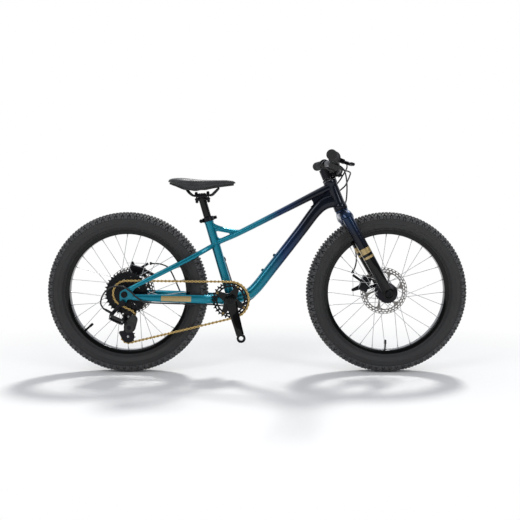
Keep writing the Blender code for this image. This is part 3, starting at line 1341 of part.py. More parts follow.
def chain_route():
    """The chain's loop: circles (centre, teeth, turn) with the straights that touch them.

    It runs back from the top of the chainring, round the cog in use, over the front of the
    guide pulley, round the back of the tension pulley, and forward to the chainring.
    """
    circles = [(np.array(xz(BB)), CHAINRING_TEETH, 1),
               (np.array(xz(REAR_AXLE)), COG_TEETH[COG_IN_USE], 1),
               (np.array(GUIDE_PULLEY), PULLEY_TEETH, -1),
               (np.array(TENSION_PULLEY), PULLEY_TEETH, 1)]
    straights = []
    for (a, teeth_a, turn_a), (b, teeth_b, turn_b) in zip(circles, circles[1:] + circles[:1]):
        radius_a, radius_b = turn_a * pitch_radius(teeth_a), turn_b * pitch_radius(teeth_b)
        gap = b - a
        length = float(np.hypot(*gap))
        heading = math.atan2(gap[1], gap[0]) + math.asin((radius_a - radius_b) / length)
        direction = np.array([math.cos(heading), math.sin(heading)])
        normal = np.array([-direction[1], direction[0]])
        straights.append((a - radius_a * normal, b - radius_b * normal, direction))
    return circles, straights


def toothed_reach(teeth):
    """How many pitches past a sprocket its teeth still reach into the straight chain."""
    depth = CHAIN_HEIGHT / 2 + TOOTH_TIP_HEIGHT
    return math.sqrt(2 * pitch_radius(teeth) * depth) / CHAIN_PITCH + 1


def chain_pins():
    """The pins (place, direction, toothed) round the loop, and each sprocket's first pin's angle.

    On a sprocket the pins are one tooth apart. The straights share out what is left, so
    that the loop holds a whole and even number of pitches.
    """
    circles, straights = chain_route()
    arcs = []
    for index, (centre, teeth, turn) in enumerate(circles):
        entry = straights[index - 1][1] - centre
        leave = straights[index][0] - centre
        start = math.atan2(entry[1], entry[0])
        sweep = (turn * (math.atan2(leave[1], leave[0]) - start)) % (2 * math.pi)
        arcs.append((start, sweep, sweep * teeth / (2 * math.pi)))
    lengths = [float(np.hypot(*(end - start))) for start, end, _ in straights]
    on_arcs = sum(count for _, _, count in arcs)
    total = 2 * round((on_arcs + sum(lengths) / CHAIN_PITCH) / 2)
    pitch = sum(lengths) / (total - on_arcs)
    pins, phases = [], []
    done = 0.0
    for index, (centre, teeth, turn) in enumerate(circles):
        start, _, count = arcs[index]
        first = math.ceil(done - 1e-9)
        radius = pitch_radius(teeth)
        phases.append(start + turn * (first - done) * 2 * math.pi / teeth)
        for k in range(first, math.ceil(done + count - 1e-9)):
            angle = start + turn * (k - done) * 2 * math.pi / teeth
            spot = centre + radius * np.array([math.cos(angle), math.sin(angle)])
            pins.append((spot, turn * np.array([-math.sin(angle), math.cos(angle)]), True))
        done += count
        begin, _, direction = straights[index]
        after = circles[(index + 1) % len(circles)]
        count = lengths[index] / pitch
        for k in range(math.ceil(done - 1e-9), math.ceil(done + count - 1e-9)):
            near = (k - done < toothed_reach(teeth)
                    or done + count - k < toothed_reach(after[1]))
            pins.append((begin + direction * (k - done) * pitch, direction, near))
        done += count
    return pins[:total], phases


def make_chain(pins, paints):
    """The chain as one closed band.

    On a sprocket there is a roller block at each pin, with a slot for a tooth between two
    blocks, and the side plates are wide and narrow in turn. There each pin has two stations
    of eight points: four across the top and four across the bottom. On a straight run the
    band is plain, with one station of four points at each pin.
    """
    half = CHAIN_HEIGHT / 2
    slot = CHAIN_SLOT / 2
    work = bmesh.new()
    rows = []
    for k, (spot, direction, toothed) in enumerate(pins):
        normal = np.array([-direction[1], direction[0]])
        wide, narrow = CHAIN_OUTER_WIDTH / 2, CHAIN_INNER_WIDTH / 2
        before, after = (wide, narrow) if k % 2 else (narrow, wide)
        stations = ((-1, before), (1, after)) if toothed else ((0, wide),)
        for step, reach in stations:
            across = (-reach, -slot, slot, reach) if toothed else (-reach, reach)
            row = []
            for side in (half, -half):
                for y in across:
                    x, z = spot + direction * step * ROLLER_LENGTH / 2 + normal * side
                    row.append(work.verts.new((x, -CHAIN_LINE + y, z)))
            rows.append((row, step, toothed))
    for (a, step, toothed), (b, _, next_toothed) in zip(rows, rows[1:] + rows[:1]):
        if toothed and step < 0:
            for i, j in ((0, 1), (1, 2), (2, 3)):
                work.faces.new((a[i], a[j], b[j], b[i]))
                work.faces.new((a[i + 4], b[i + 4], b[j + 4], a[j + 4]))
            for i in (0, 3):
                work.faces.new((a[i], b[i], b[i + 4], a[i + 4]))
        elif toothed and next_toothed:
            work.faces.new((a[1], a[2], a[6], a[5]))
            work.faces.new((b[1], b[5], b[6], b[2]))
            for i, j in ((0, 1), (2, 3)):
                work.faces.new((a[i], a[j], b[j], b[i]))
                work.faces.new((a[i + 4], b[i + 4], b[j + 4], a[j + 4]))
                work.faces.new((a[i], b[i], b[i + 4], a[i + 4]))
                work.faces.new((a[j], a[j + 4], b[j + 4], b[j]))
        else:
            top_a, low_a = a[:len(a) // 2], a[len(a) // 2:]
            top_b, low_b = b[:len(b) // 2], b[len(b) // 2:]
            work.faces.new(top_a + top_b[::-1])
            work.faces.new(low_a + low_b[::-1])
            work.faces.new((top_a[0], top_b[0], low_b[0], low_a[0]))
            work.faces.new((top_a[-1], low_a[-1], low_b[-1], top_b[-1]))
    bmesh.ops.recalc_face_normals(work, faces=work.faces)
    mesh = bpy.data.meshes.new("chain")
    work.to_mesh(mesh)
    work.free()
    finish(new_shape(mesh), "chain", paints["gold"])


def discs(outlines, thickness):
    """Several flat sprockets in one mesh: (outline, y) each."""
    work = bmesh.new()
    for outline, y in outlines:
        near = [work.verts.new((x, y - thickness / 2, z)) for x, z in outline]
        far = [work.verts.new((x, y + thickness / 2, z)) for x, z in outline]
        work.faces.new(near)
        work.faces.new(far[::-1])
        for i in range(len(near)):
            j = (i + 1) % len(near)
            work.faces.new((near[i], far[i], far[j], near[j]))
    bmesh.ops.recalc_face_normals(work, faces=work.faces)
    mesh = bpy.data.meshes.new("discs")
    work.to_mesh(mesh)
    work.free()
    return new_shape(mesh)


def cog_y(index):
    """The plane of one cog, counted from the smallest."""
    return -CHAIN_LINE + (index - COG_IN_USE) * COG_SPACING


def make_cassette(phase, paints, spin):
    """The cassette on its freehub body, with its lockring."""
    centre = xz(REAR_AXLE)
    cogs = [(sprocket_outline(centre, teeth, phase, index == COG_IN_USE), cog_y(index))
            for index, teeth in enumerate(COG_TEETH)]
    outer = -REAR_DROPOUT_SPACING / 2 + GAP
    inner = -CASSETTE_INNER_Y + 0.0020 - GAP
    lock = cog_y(0) - SPROCKET_THICKNESS / 2 - 0.0015
    body = turned([(0, inner), (FREEHUB_RADIUS, inner), (FREEHUB_RADIUS, lock),
                   (0.0120, lock), (0.0095, outer), (0, outer)], 12, lateral_frame(*REAR_AXLE))
    join(body, discs(cogs, SPROCKET_THICKNESS))
    cut(body, cylinder(AXLE_RADIUS + BEARING_GAP, -0.12, 0.12, 12, lateral_frame(*REAR_AXLE)))
    finish(body, "cassette", paints["steel"], spin)


def ring_bolts():
    """The chainring bolts' places in the side view."""
    angles = [CRANK_ANGLE - math.pi / 4 + k * 2 * math.pi / SPIDER_ARMS
              for k in range(SPIDER_ARMS)]
    reach = CHAINRING_BOLT_CIRCLE
    return [(BB.x + reach * math.cos(a), BB.z + reach * math.sin(a)) for a in angles]


def crank_end(side):
    """The pedal hole's centre line in the side view: the right arm points down."""
    way = Vector((math.sin(CRANK_ANGLE), 0, -math.cos(CRANK_ANGLE)))
    return BB + way * CRANK_LENGTH * -side


def crank_arm(side):
    """One crank arm: boss, tapered blade and pedal boss."""
    end = crank_end(side)
    inner, face = CRANK_INNER_FACE, CRANK_FACE
    boss_inner = BB_SHELL_WIDTH / 2 + 0.0075
    boss = cylinder(0.0175, boss_inner, 0.0655, 16, frame_at(BB, LEFT * side, FORWARD))
    pedal_boss = cylinder(0.0135, inner, face, 16, frame_at(end, LEFT * side, FORWARD))
    route = [BB + LEFT * side * 0.0580, BB + (end - BB) * 0.35 + LEFT * side * 0.0590,
             BB + (end - BB) * 0.7 + LEFT * side * 0.0635,
             end + LEFT * side * (inner + face) / 2]
    blade = frame_tube(route, [CRANK_THICKNESS] * 4, [0.029, 0.024, 0.021, 0.022], 1, 8, 3.2)
    join(boss, blade, pedal_boss)
    return boss


def make_cranks(phase, paints, spin):
    """Right crank with spindle and spider, left crank, chainring and bearing cartridge."""
    axle = lateral_frame(*BB)
    right = crank_arm(-1)
    hole_right = cylinder(PEDAL_HOLE_RADIUS, -0.09, 0.09, 12, lateral_frame(*crank_end(-1)))
    spider_y = -CHAIN_LINE - CHAINRING_THICKNESS / 2 - GAP - SPIDER_THICKNESS / 2
    spindle = cylinder(SPINDLE_RADIUS, -0.050, 0.0605, 12, axle)
    arms = [side_bar(xz(BB), SPIDER_INNER, bolt, SPIDER_TIP, spider_y, SPIDER_THICKNESS, 4)
            for bolt in ring_bolts()]
    bolts = [cylinder(RING_BOLT_RADIUS, spider_y - SPIDER_THICKNESS / 2 - 0.0012,
                      -CHAIN_LINE + CHAINRING_THICKNESS / 2, 8, lateral_frame(x, 0, z))
             for x, z in ring_bolts()]
    join(right, *arms)
    join(right, spindle, *bolts)
    cut(right, hole_right)
    finish(right, "crank_arm_right", paints["black"], spin)

    left = crank_arm(1)
    cut(left, cylinder(SPINDLE_RADIUS + GAP, 0.03, 0.0605 + GAP, 12, axle),
        cylinder(PEDAL_HOLE_RADIUS, -0.09, 0.09, 12, lateral_frame(*crank_end(1))))
    finish(left, "crank_arm_left", paints["black"], spin)

    inner = pitch_radius(CHAINRING_TEETH) - CHAIN_HEIGHT / 2 - CHAINRING_LAND
    ring = plate([sprocket_outline(xz(BB), CHAINRING_TEETH, phase), circle(xz(BB), inner, 20)]
                 + [circle(bolt, RING_BOLT_RADIUS + 2 * GAP, 8) for bolt in ring_bolts()],
                 CHAINRING_THICKNESS, side_frame(0, -CHAIN_LINE, 0))
    finish(ring, "chainring", paints["black"], spin)

    half = BB_SHELL_WIDTH / 2
    cup = half + 0.0045
    bore = SPINDLE_RADIUS + BEARING_GAP
    inside = BB_BORE_RADIUS - GAP
    cartridge = turned([(0.0188, cup), (0.0188, half + GAP), (inside, half + GAP),
                        (inside, -half - GAP), (0.0188, -half - GAP), (0.0188, -cup),
                        (bore, -cup), (bore, cup)], 16, axle, ring=True)
    finish(cartridge, "bottom_bracket", paints["black"])


def link_frame():
    """The parallelogram's placement: X along the links, Z along their pins, Y between them."""
    run = LINK_RUN.normalized()
    pins = LEFT * math.cos(LINK_PIN_TILT) + run.cross(LEFT) * math.sin(LINK_PIN_TILT)
    return frame_at(LINK_START, pins, run)


def link(y):
    """One link of the parallelogram, with a bore for a pin at each end."""
    place = link_frame()
    reach = LINK_RUN.length
    radius = LINK_RADIUS
    holes = [circle((x, y), LINK_PIN_RADIUS + GAP, 8) for x in (0, reach)]
    return plate([bar_outline((0, y), radius, (reach, y), radius, 5)] + holes,
                 2 * LINK_HALF_HEIGHT, place)


def knuckle(x):
    """A knuckle's lug over two link ends, with its two pins."""
    place = link_frame()
    lug_place = place @ Matrix.Translation((0, 0, (LUG_LOW + LUG_HIGH) / 2))
    lug = plate([bar_outline((x, 0), LUG_RADIUS, (x, LINK_SPACING), LUG_RADIUS, 6)],
                LUG_HIGH - LUG_LOW, lug_place)
    pins = [cylinder(LINK_PIN_RADIUS, -LINK_HALF_HEIGHT, LUG_HIGH - 0.001, 8,
                     place @ Matrix.Translation((x, y, 0))) for y in (0, LINK_SPACING)]
    return lug, pins


def make_derailleur(phases, paints, axes):
    """Knuckles, links, cage and pulleys."""
    place = link_frame()
    lug, pins = knuckle(0)
    plate_face = -DROPOUT_Y - DROPOUT_THICKNESS / 2 - GAP
    hanger = Vector((HANGER_BOLT[0], 0, HANGER_BOLT[1]))
    barrel_low = -plate_face
    b_body = cylinder(0.0105, barrel_low, barrel_low + 0.0170, 16,
                      frame_at(hanger, -LEFT, FORWARD))
    bolt = cylinder(HANGER_BOLT_RADIUS, barrel_low - DROPOUT_THICKNESS, barrel_low + 0.018, 10,
                    frame_at(hanger, -LEFT, FORWARD))
    start = hanger - LEFT * (barrel_low + 0.0110)
    middle = place @ Vector((0.001, 0.005, 0.020))
    end = place @ Vector((0, 0.006, LUG_HIGH - 0.0015))
    upper = round_bar(start, middle, NECK_RADIUS)
    lower = round_bar(middle, end, NECK_RADIUS)
    barrel = cylinder(0.0042, 0, DERAILLEUR_BARREL, 10,
                      frame_at(barrel_start(), barrel_way(), FORWARD))
    join(b_body, upper, lower, lug, bolt, barrel, *pins)
    finish(b_body, "derailleur_b_knuckle", paints["black"])

    finish(link(0), "derailleur_link_outer", paints["grey"], axes["link_outer"])
    finish(link(LINK_SPACING), "derailleur_link_inner", paints["black"], axes["link_inner"])

    reach = LINK_RUN.length
    lug, pins = knuckle(reach)
    pivot = Vector((CAGE_PIVOT[0], 0, CAGE_PIVOT[1]))
    clutch = turned([(0, CLUTCH_CAP - CLUTCH_OUTER_Y), (0.0125, CLUTCH_CAP - CLUTCH_OUTER_Y),
                     (CLUTCH_RADIUS, -CLUTCH_OUTER_Y),
                     (CLUTCH_RADIUS, -CLUTCH_INNER_Y), (0, -CLUTCH_INNER_Y)], 18,
                    frame_at(pivot, -LEFT, FORWARD))
    start = place @ Vector((reach, LINK_SPACING * 0.5, (LUG_LOW + LUG_HIGH) / 2))
    end = pivot + LEFT * (CLUTCH_INNER_Y + CLUTCH_OUTER_Y) / 2
    way = place.col[2].to_3d()
    path = [start, start.lerp(end, 0.45) + way * 0.0006, start.lerp(end, 0.65), end]
    arm = loft(section_rings(path, [0.0052, 0.0056, 0.014, 0.016],
                             [0.0125, 0.0125, 0.014, 0.016], 8, 2.6, way))
    join(clutch, arm, lug, *pins)
    cut(clutch, cylinder(0.0050 + BEARING_GAP, -0.06, -CLUTCH_INNER_Y + 0.008, 12,
                         frame_at(pivot, -LEFT, FORWARD)))
    finish(clutch, "derailleur_p_knuckle", paints["black"], axes["p_knuckle"])

    make_cage(phases, paints, axes)


def round_bar(start, end, radius):
    """A short round bar from one point to another."""
    run = end - start
    return cylinder(radius, -radius / 3, run.length + radius / 3, 10, frame_at(start, run, UP))


def barrel_way():
    """The way the derailleur's barrel points: back, out and up, to meet the housing."""
    return Vector((-0.78, -0.33, 0.53)).normalized()


def barrel_start():
    """The foot of the derailleur's barrel, inside the knuckle."""
    return link_frame() @ Vector((-0.004, 0.002, 0.012))


def make_cage(phases, paints, axes):
    """The cage: two plates on the pulley bolts, with the stub that turns in the knuckle."""
    outlines = [bar_outline(CAGE_PIVOT, 0.0125, spot, CAGE_RADIUS)
                for spot in (GUIDE_PULLEY, TENSION_PULLEY)]
    outer_y = -CHAIN_LINE - CAGE_HALF_GAP - CAGE_PLATE / 2
    inner_y = -CHAIN_LINE + CAGE_HALF_GAP + CAGE_PLATE / 2
    cage = plate([star_outline(CAGE_PIVOT, outlines)], CAGE_PLATE, side_frame(0, outer_y, 0))
    inner = plate([bar_outline(GUIDE_PULLEY, CAGE_RADIUS, TENSION_PULLEY, CAGE_RADIUS, 6)],
                  CAGE_PLATE, side_frame(0, inner_y, 0))
    bolts = [cylinder(PULLEY_BOLT_RADIUS, outer_y - CAGE_PLATE, inner_y + CAGE_PLATE, 8,
                      lateral_frame(spot[0], 0, spot[1]))
             for spot in (GUIDE_PULLEY, TENSION_PULLEY)]
    stub = cylinder(0.0050, CLUTCH_INNER_Y - 0.0070, outer_y, 12,
                    lateral_frame(CAGE_PIVOT[0], 0, CAGE_PIVOT[1]))
    join(cage, *bolts)
    join(cage, inner, stub)
    finish(cage, "derailleur_cage", paints["black"], axes["cage"])
    for spot, phase, name in ((GUIDE_PULLEY, phases[2], "guide"),
                              (TENSION_PULLEY, phases[3], "tension")):
        pulley = plate([sprocket_outline(spot, PULLEY_TEETH, phase),
                        circle(spot, PULLEY_BOLT_RADIUS + BEARING_GAP, 8)],
                       PULLEY_THICKNESS, side_frame(0, -CHAIN_LINE, 0))
        finish(pulley, name + "_pulley", paints["black"], axes[name + "_pulley"])

# The saddle, from above the seat tube's top: places along it, half widths, tops and
# undersides.
SADDLE_ORIGIN = Vector((SEAT_TOP.x, 0, SADDLE_HEIGHT))
SADDLE_STATIONS = [SEAT_TOP.x + reach for reach in (-0.1281, -0.1240, -0.1155, -0.1005, -0.0805,
    -0.0605, -0.0405, -0.0195, 0.0055, 0.0355, 0.0605, 0.0775, 0.0880, 0.0930)]
SADDLE_HALF_WIDTHS = [0.030, 0.043, 0.0555, 0.0660, SADDLE_WIDTH / 2, 0.0600, 0.0460, 0.0340,
                      0.0255, 0.0205, 0.0190, 0.0168, 0.0125, 0.0060]
SADDLE_TOPS = [SADDLE_HEIGHT - drop for drop in (0.007, 0.003, 0.0008, 0, 0.0002, 0.0015,
    0.003, 0.0038, 0.0044, 0.0044, 0.005, 0.0065, 0.009, 0.012)]
SADDLE_UNDERSIDES = [SADDLE_HEIGHT - drop for drop in (0.0220, 0.0240, 0.0265, 0.0295, 0.0325,
    0.0338, 0.0340, 0.0325, 0.0295, 0.0250, 0.0215, 0.0190, 0.0175, 0.0165)]
SADDLE_CROWN = 0.0035
BASE_THICKNESS = 0.0055
BASE_SHARE = 0.80
RAIL_POINTS = from_point(SADDLE_ORIGIN, [(-0.069, 0.0268, -0.036), (-0.0607, 0.025, -0.047),
    (-0.0485, 0.0225, -0.056), (-0.0345, 0.022, -0.0568), (-0.0025, 0.022, -0.0552),
    (0.0135, 0.022, -0.054), (0.024, 0.021, -0.045), (0.0325, 0.0165, -0.0365),
    (0.0365, 0.008, -0.033)])
CLAMP_CENTRE = SADDLE_ORIGIN + Vector((-0.0180, 0, -0.0545))
CLAMP_SIZE = (0.030, 0.057, 0.018)
CLAMP_BOLTS = (-0.0197, 0.0195)
CLAMP_BOLT_RADIUS = 0.0031
CLAMP_TILT = math.radians(4)
POST_BELOW = -0.090
POST_ABOVE = 0.068


def saddle_ring(x, half_width, top, underside):
    """One section of the pad: flat below, drawn in at the skirt, crowned and dished on top."""
    height = top - underside
    side = [(0.84, 0.0), (0.95, 0.16), (1.0, 0.40), (0.97, 0.64), (0.86, 0.83), (0.66, 0.95),
            (0.36, 1.0)]
    right = [(-half_width * across, underside + height * up) for across, up in side]
    left = [(-y, z) for y, z in reversed(right)]
    dish = min(SADDLE_CROWN, height * 0.1) * half_width / (SADDLE_WIDTH / 2)
    points = right + [(0.0, top - dish)] + left + [(0.0, underside)]
    return [(x, y, z) for y, z in points]


def saddle_base(grow=0.0):
    """The plastic base under the pad, whose top follows the pad's underside."""
    rings = []
    for x, half_width, underside in zip(SADDLE_STATIONS, SADDLE_HALF_WIDTHS,
                                        SADDLE_UNDERSIDES):
        high = underside - GAP + grow
        low = underside - GAP - BASE_THICKNESS - grow
        wide = half_width * BASE_SHARE + grow
        narrow = half_width * BASE_SHARE * 0.86 + grow
        rings.append([(x, wide, high), (x, -wide, high), (x, -narrow, low), (x, narrow, low)])
    rings = rings[1:-1]
    return loft(rings)


def saddle_rails(grow=0.0):
    """Both rails as one bar that turns back on itself under the nose."""
    right = [Vector((x, -y, z)) for x, y, z in RAIL_POINTS]
    left = [mirrored(point) for point in reversed(right)]
    return solid_tube(right + left, RAIL_RADIUS + grow, 2)


def make_seat(paints, slide):
    """Seat post with its two-bolt clamp, rails, base and pad."""
    post = cylinder(SEATPOST_RADIUS, POST_BELOW, POST_ABOVE, 18, SEAT_FRAME)
    level = frame_at(CLAMP_CENTRE, UP, Vector((math.cos(CLAMP_TILT), 0,
                                                       math.sin(CLAMP_TILT))))
    clamp = block(CLAMP_SIZE, level)
    cradle = block((0.054, 0.022, 0.010), level, (0, 0, -0.0135))
    yoke = block((0.054, 0.013, 0.007), level, (0, 0, 0.0015))
    bolts = []
    for x in CLAMP_BOLTS:
        foot = level @ Vector((x, 0, 0))
        place = frame_at(foot, level.col[2].to_3d(), FORWARD)
        bolts.append(cylinder(CLAMP_BOLT_RADIUS, -0.026, 0.0085, 8, place))
        bolts.append(cylinder(0.0050, -0.0235, -0.018, 8, place))
    join(post, clamp, cradle, yoke, *bolts)
    cut(post, saddle_rails(GAP))
    finish(post, "seat_post", paints["black"], slide)
    finish(cut(saddle_rails(), saddle_base(GAP)), "saddle_rails", paints["steel"], slide)
    finish(saddle_base(), "saddle_base", paints["black"], slide)
    pad = loft([saddle_ring(*station) for station in
                zip(SADDLE_STATIONS, SADDLE_HALF_WIDTHS, SADDLE_TOPS, SADDLE_UNDERSIDES)])
    finish(pad, "saddle_pad", paints["saddle"], slide, sharp=60)


# The housings' routes between their ends.
FRONT_HOUSING_ROUTE = from_point(HEAD_BOTTOM, [(0.0042, 0.09, 0.1463), (0.0152, 0.062, 0.1353),
    (0.0252, 0.038, 0.1093), (0.0332, 0.03, 0.0723), (0.0322, 0.036, 0.0323),
    (0.0252, 0.062, 0.0093), (0.0162, 0.09, -0.0177), (0.0242, 0.093, -0.0527),
    (0.0442, 0.089, -0.1027), (0.0602, 0.083, -0.1427), (0.0632, 0.071, -0.1807),
    (0.0552, 0.061, -0.2097)])
REAR_HOUSING_START = from_point(HEAD_BOTTOM, [(0.0042, -0.09, 0.1463), (0.0132, -0.055, 0.1403),
    (0.0162, -0.02, 0.1303), (0.0082, 0.013, 0.1113), (-0.0108, 0.031, 0.0813)])
REAR_HOUSING_END = beside_line(BB, REAR_AXLE, [(-0.25444, 0.024, -0.03591),
    (-0.16493, 0.0275, -0.00494), (-0.08261, 0.028, 0.01787), (-0.00352, 0.028, 0.02637),
    (0.08892, 0.03, 0.02455), (0.17587, 0.033, 0.0212), (0.31966, 0.0455, 0.02198),
    (0.39421, 0.052, 0.02358), (0.45227, 0.063, 0.02082), (0.50036, 0.0695, 0.00933),
    (0.53293, 0.072, -0.01202), (0.57229, 0.073, -0.03923), (0.61451, 0.074, -0.06638),
    (0.65532, 0.0745, -0.08554), (0.72896, 0.075, -0.09498)])
SHIFT_HOUSING_START = from_point(HEAD_BOTTOM, [(0.0212, -0.078, 0.1153),
    (0.0282, -0.045, 0.1053), (0.0272, -0.008, 0.0913), (0.0152, 0.02, 0.0743),
    (-0.0058, 0.034, 0.0543)])
SHIFT_HOUSING_END = beside_line(BB, REAR_AXLE, [(-0.25925, 0.024, -0.025),
    (-0.17278, 0.023, 0.00692), (-0.08323, 0.014, 0.02136), (-0.00359, 0, 0.02677),
    (0.08883, -0.016, 0.02505), (0.17583, -0.03, 0.0214), (0.23634, -0.038, 0.0211),
    (0.33992, -0.046, 0.02131), (0.53549, -0.0565, 0.0223), (0.73688, -0.068, 0.02291),
    (0.80936, -0.0795, 0.01996), (0.88388, -0.0825, 0.00553), (0.93259, -0.083, -0.00946),
    (1.0192, -0.086, -0.02714), (1.11912, -0.088, -0.02249), (1.1871, -0.0895, 0),
    (1.21066, -0.09, 0.02956)])
FLANK_POINTS = (5, 4, 3)
FLANK_LIFT = 0.0045
STRAIGHT_START = 0.010
STOP_HALF_LENGTH = 0.0055


def flank_route(lift):
    """Points beside the down tube's left flank, from high to low, lifted off its middle."""
    route = []
    for index in FLANK_POINTS:
        here = Vector(DOWN_TUBE_POINTS[index])
        ahead = Vector(DOWN_TUBE_POINTS[index - 1]) - Vector(DOWN_TUBE_POINTS[index + 1])
        normal = LEFT.cross(ahead).normalized()
        beside = DOWN_TUBE_WIDTHS[index] / 2 + HOUSING_RADIUS + 2 * GAP
        route.append(here + normal * lift + LEFT * beside)
    return route


def barrel_mouth(side):
    """Where a housing leaves the barrel on a brake lever's perch, and a straight start."""
    return [at_perch(side, BARREL_FORWARD, BARREL_END - reach, 0)
            for reach in (GAP, STRAIGHT_START)]


def stop_approach(stop, arm):
    """The straight end of a housing, in line with the wire from its stop to the arm."""
    way = (stop - arm).normalized()
    return [stop + way * (STOP_HALF_LENGTH + reach) for reach in (STRAIGHT_START, GAP)]


def housing(points, spans, name, paints, carrier=None):
    """A housing along its route, straight for its first and last stretch."""
    path = points[:1] + smooth_path(points[1:-1], spans) + points[-1:]
    finish(solid_tube(path, HOUSING_RADIUS, 2), name, paints["black"], carrier)


def make_housings(paints, steering):
    """The three cable housings, each along the whole of its route."""
    front_stop = stop_place(FRONT_AXLE, FRONT_STOP, FRONT_ROTOR_Y)
    front_arm = arm_end_place(FRONT_AXLE, FRONT_ARM_END, FRONT_ROTOR_Y)
    rear_stop = stop_place(REAR_AXLE, REAR_STOP, REAR_ROTOR_Y)
    rear_arm = arm_end_place(REAR_AXLE, REAR_ARM_END, REAR_ROTOR_Y)
    front = barrel_mouth(1) + FRONT_HOUSING_ROUTE
    front += stop_approach(front_stop, front_arm)
    housing(front, 2, "front_brake_housing", paints, steering)
    rear = barrel_mouth(-1) + REAR_HOUSING_START + flank_route(FLANK_LIFT)
    rear += REAR_HOUSING_END
    rear += stop_approach(rear_stop, rear_arm)
    housing(rear, 1, "rear_brake_housing", paints)
    entry = at_perch(-1, *SHIFTER_ENTRY, SHIFTER_OFFSET)
    shift = [entry + shifter_exit() * (SHIFTER_BARREL_LENGTH + reach)
             for reach in (GAP, STRAIGHT_START)]
    shift += SHIFT_HOUSING_START + flank_route(-FLANK_LIFT) + SHIFT_HOUSING_END
    shift += [barrel_start() + barrel_way() * (DERAILLEUR_BARREL + reach)
              for reach in (STRAIGHT_START, GAP)]
    housing(shift, 1, "shift_housing", paints)


def make_joints():
    """The empties on the joints' axes."""
    steering = joint_empty("steering", STEERING)
    axes = {"steering": steering,
            "front_wheel": joint_empty("front_wheel_spin", lateral_frame(*FRONT_AXLE)),
            "rear_wheel": joint_empty("rear_wheel_spin", lateral_frame(*REAR_AXLE)),
            "cassette": joint_empty("cassette_spin", lateral_frame(*REAR_AXLE)),
            "crank": joint_empty("crank_spin", lateral_frame(*BB)),
            "seat": joint_empty("seat_height", SEAT_FRAME),
            "seat_lever": joint_empty("seat_lever_turn", seat_lever_place())}
    for side, name in ((-1, "right"), (1, "left")):
        pivot = at_perch(side, *LEVER_PIVOT, 0)
        axes["brake_" + name] = joint_empty("brake_lever_turn_" + name,
                                            frame_at(pivot, lever_up(side), LEVER_AHEAD))
    axes["shift"] = joint_empty("shift_lever_turn",
                                frame_at(shifter_pivot(), lever_up(-1), LEVER_AHEAD))
    for end, centre, pivot, y in (("front", FRONT_AXLE, FRONT_ARM_PIVOT, FRONT_ROTOR_Y),
                                  ("rear", REAR_AXLE, REAR_ARM_PIVOT, REAR_ROTOR_Y)):
        axes[end + "_arm"] = joint_empty(end + "_caliper_arm_turn",
                                         caliper_place(centre, pivot, arm_plane(y)))
    place = link_frame()
    reach = LINK_RUN.length
    for name, spot in (("link_outer", (0, 0, 0)), ("link_inner", (0, LINK_SPACING, 0)),
                       ("p_knuckle", (reach, 0, 0))):
        axes[name] = joint_empty(name + "_turn", place @ Matrix.Translation(spot))
    for name, spot in (("cage", CAGE_PIVOT), ("guide_pulley", GUIDE_PULLEY),
                       ("tension_pulley", TENSION_PULLEY)):
        axes[name] = joint_empty(name + "_turn", lateral_frame(spot[0], -CHAIN_LINE, spot[1]))
    for child in ("front_wheel", "brake_right", "brake_left", "shift", "front_arm"):
        hang(axes[child], steering)
    hang(axes["p_knuckle"], axes["link_outer"])
    hang(axes["cage"], axes["p_knuckle"])
    hang(axes["guide_pulley"], axes["cage"])
    hang(axes["tension_pulley"], axes["cage"])
    return axes


def hang(child, parent):
    """Parents one empty to another where it stands."""
    child.parent = parent
    child.matrix_parent_inverse = world_of(parent).inverted()


def world_of(empty):
    """An empty's place: their parent inverses leave matrix_basis as the world placement."""
    return empty.matrix_basis


def main():
    """Builds every piece in turn."""
    clear_scene()
    paints = {"navy": paint("navy metallic paint", (0.006, 0.020, 0.045), 0.28, 0.4),
              "teal": paint("teal metallic paint", (0.004, 0.160, 0.240), 0.28, 0.4),
              "black": paint("black anodised aluminium", (0.012, 0.012, 0.013), 0.42, 0.5),
              "rubber": paint("black rubber", (0.016, 0.016, 0.016), 0.82, 0.0),
              "steel": paint("brushed steel", (0.55, 0.55, 0.56), 0.30, 1.0),
              "silver": paint("silver aluminium", (0.62, 0.62, 0.63), 0.30, 1.0),
              "grey": paint("grey aluminium", (0.22, 0.22, 0.23), 0.35, 1.0),
              "gold": paint("gold plated steel", (0.60, 0.42, 0.16), 0.30, 1.0),
              "saddle": paint("dark grey saddle cover", (0.022, 0.022, 0.024), 0.66, 0.0)}
    axes = make_joints()
    steering = axes["steering"]
    make_frame(paints)
    make_seat_collar(paints, axes["seat_lever"])
    make_seat(paints, axes["seat"])
    make_fork(paints, steering)
    make_stem(paints, steering)
    make_handlebar(paints, steering)
    make_brake_lever(-1, "right", paints, steering, axes["brake_right"])
    make_brake_lever(1, "left", paints, steering, axes["brake_left"])
    make_shifter(paints, steering, axes["shift"])
    make_wheels(paints, axes["front_wheel"], axes["rear_wheel"], steering)
    make_calipers(paints, steering, axes["front_arm"], axes["rear_arm"])
    pins, phases = chain_pins()
    make_chain(pins, paints)
    make_cassette(phases[1], paints, axes["cassette"])
    make_cranks(phases[0], paints, axes["crank"])
    make_derailleur(phases, paints, axes)
    make_housings(paints, steering)
    bpy.context.view_layer.update()


main()
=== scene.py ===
"""The looks of a 20-inch kids mountain bike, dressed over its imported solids.

Metres, +X forward, +Y to the rider's left, +Z up, as in the solids. Each piece is a
surface worked out with numpy, laid over or in place of a solid, and rides on its body.
"""

import json
import math

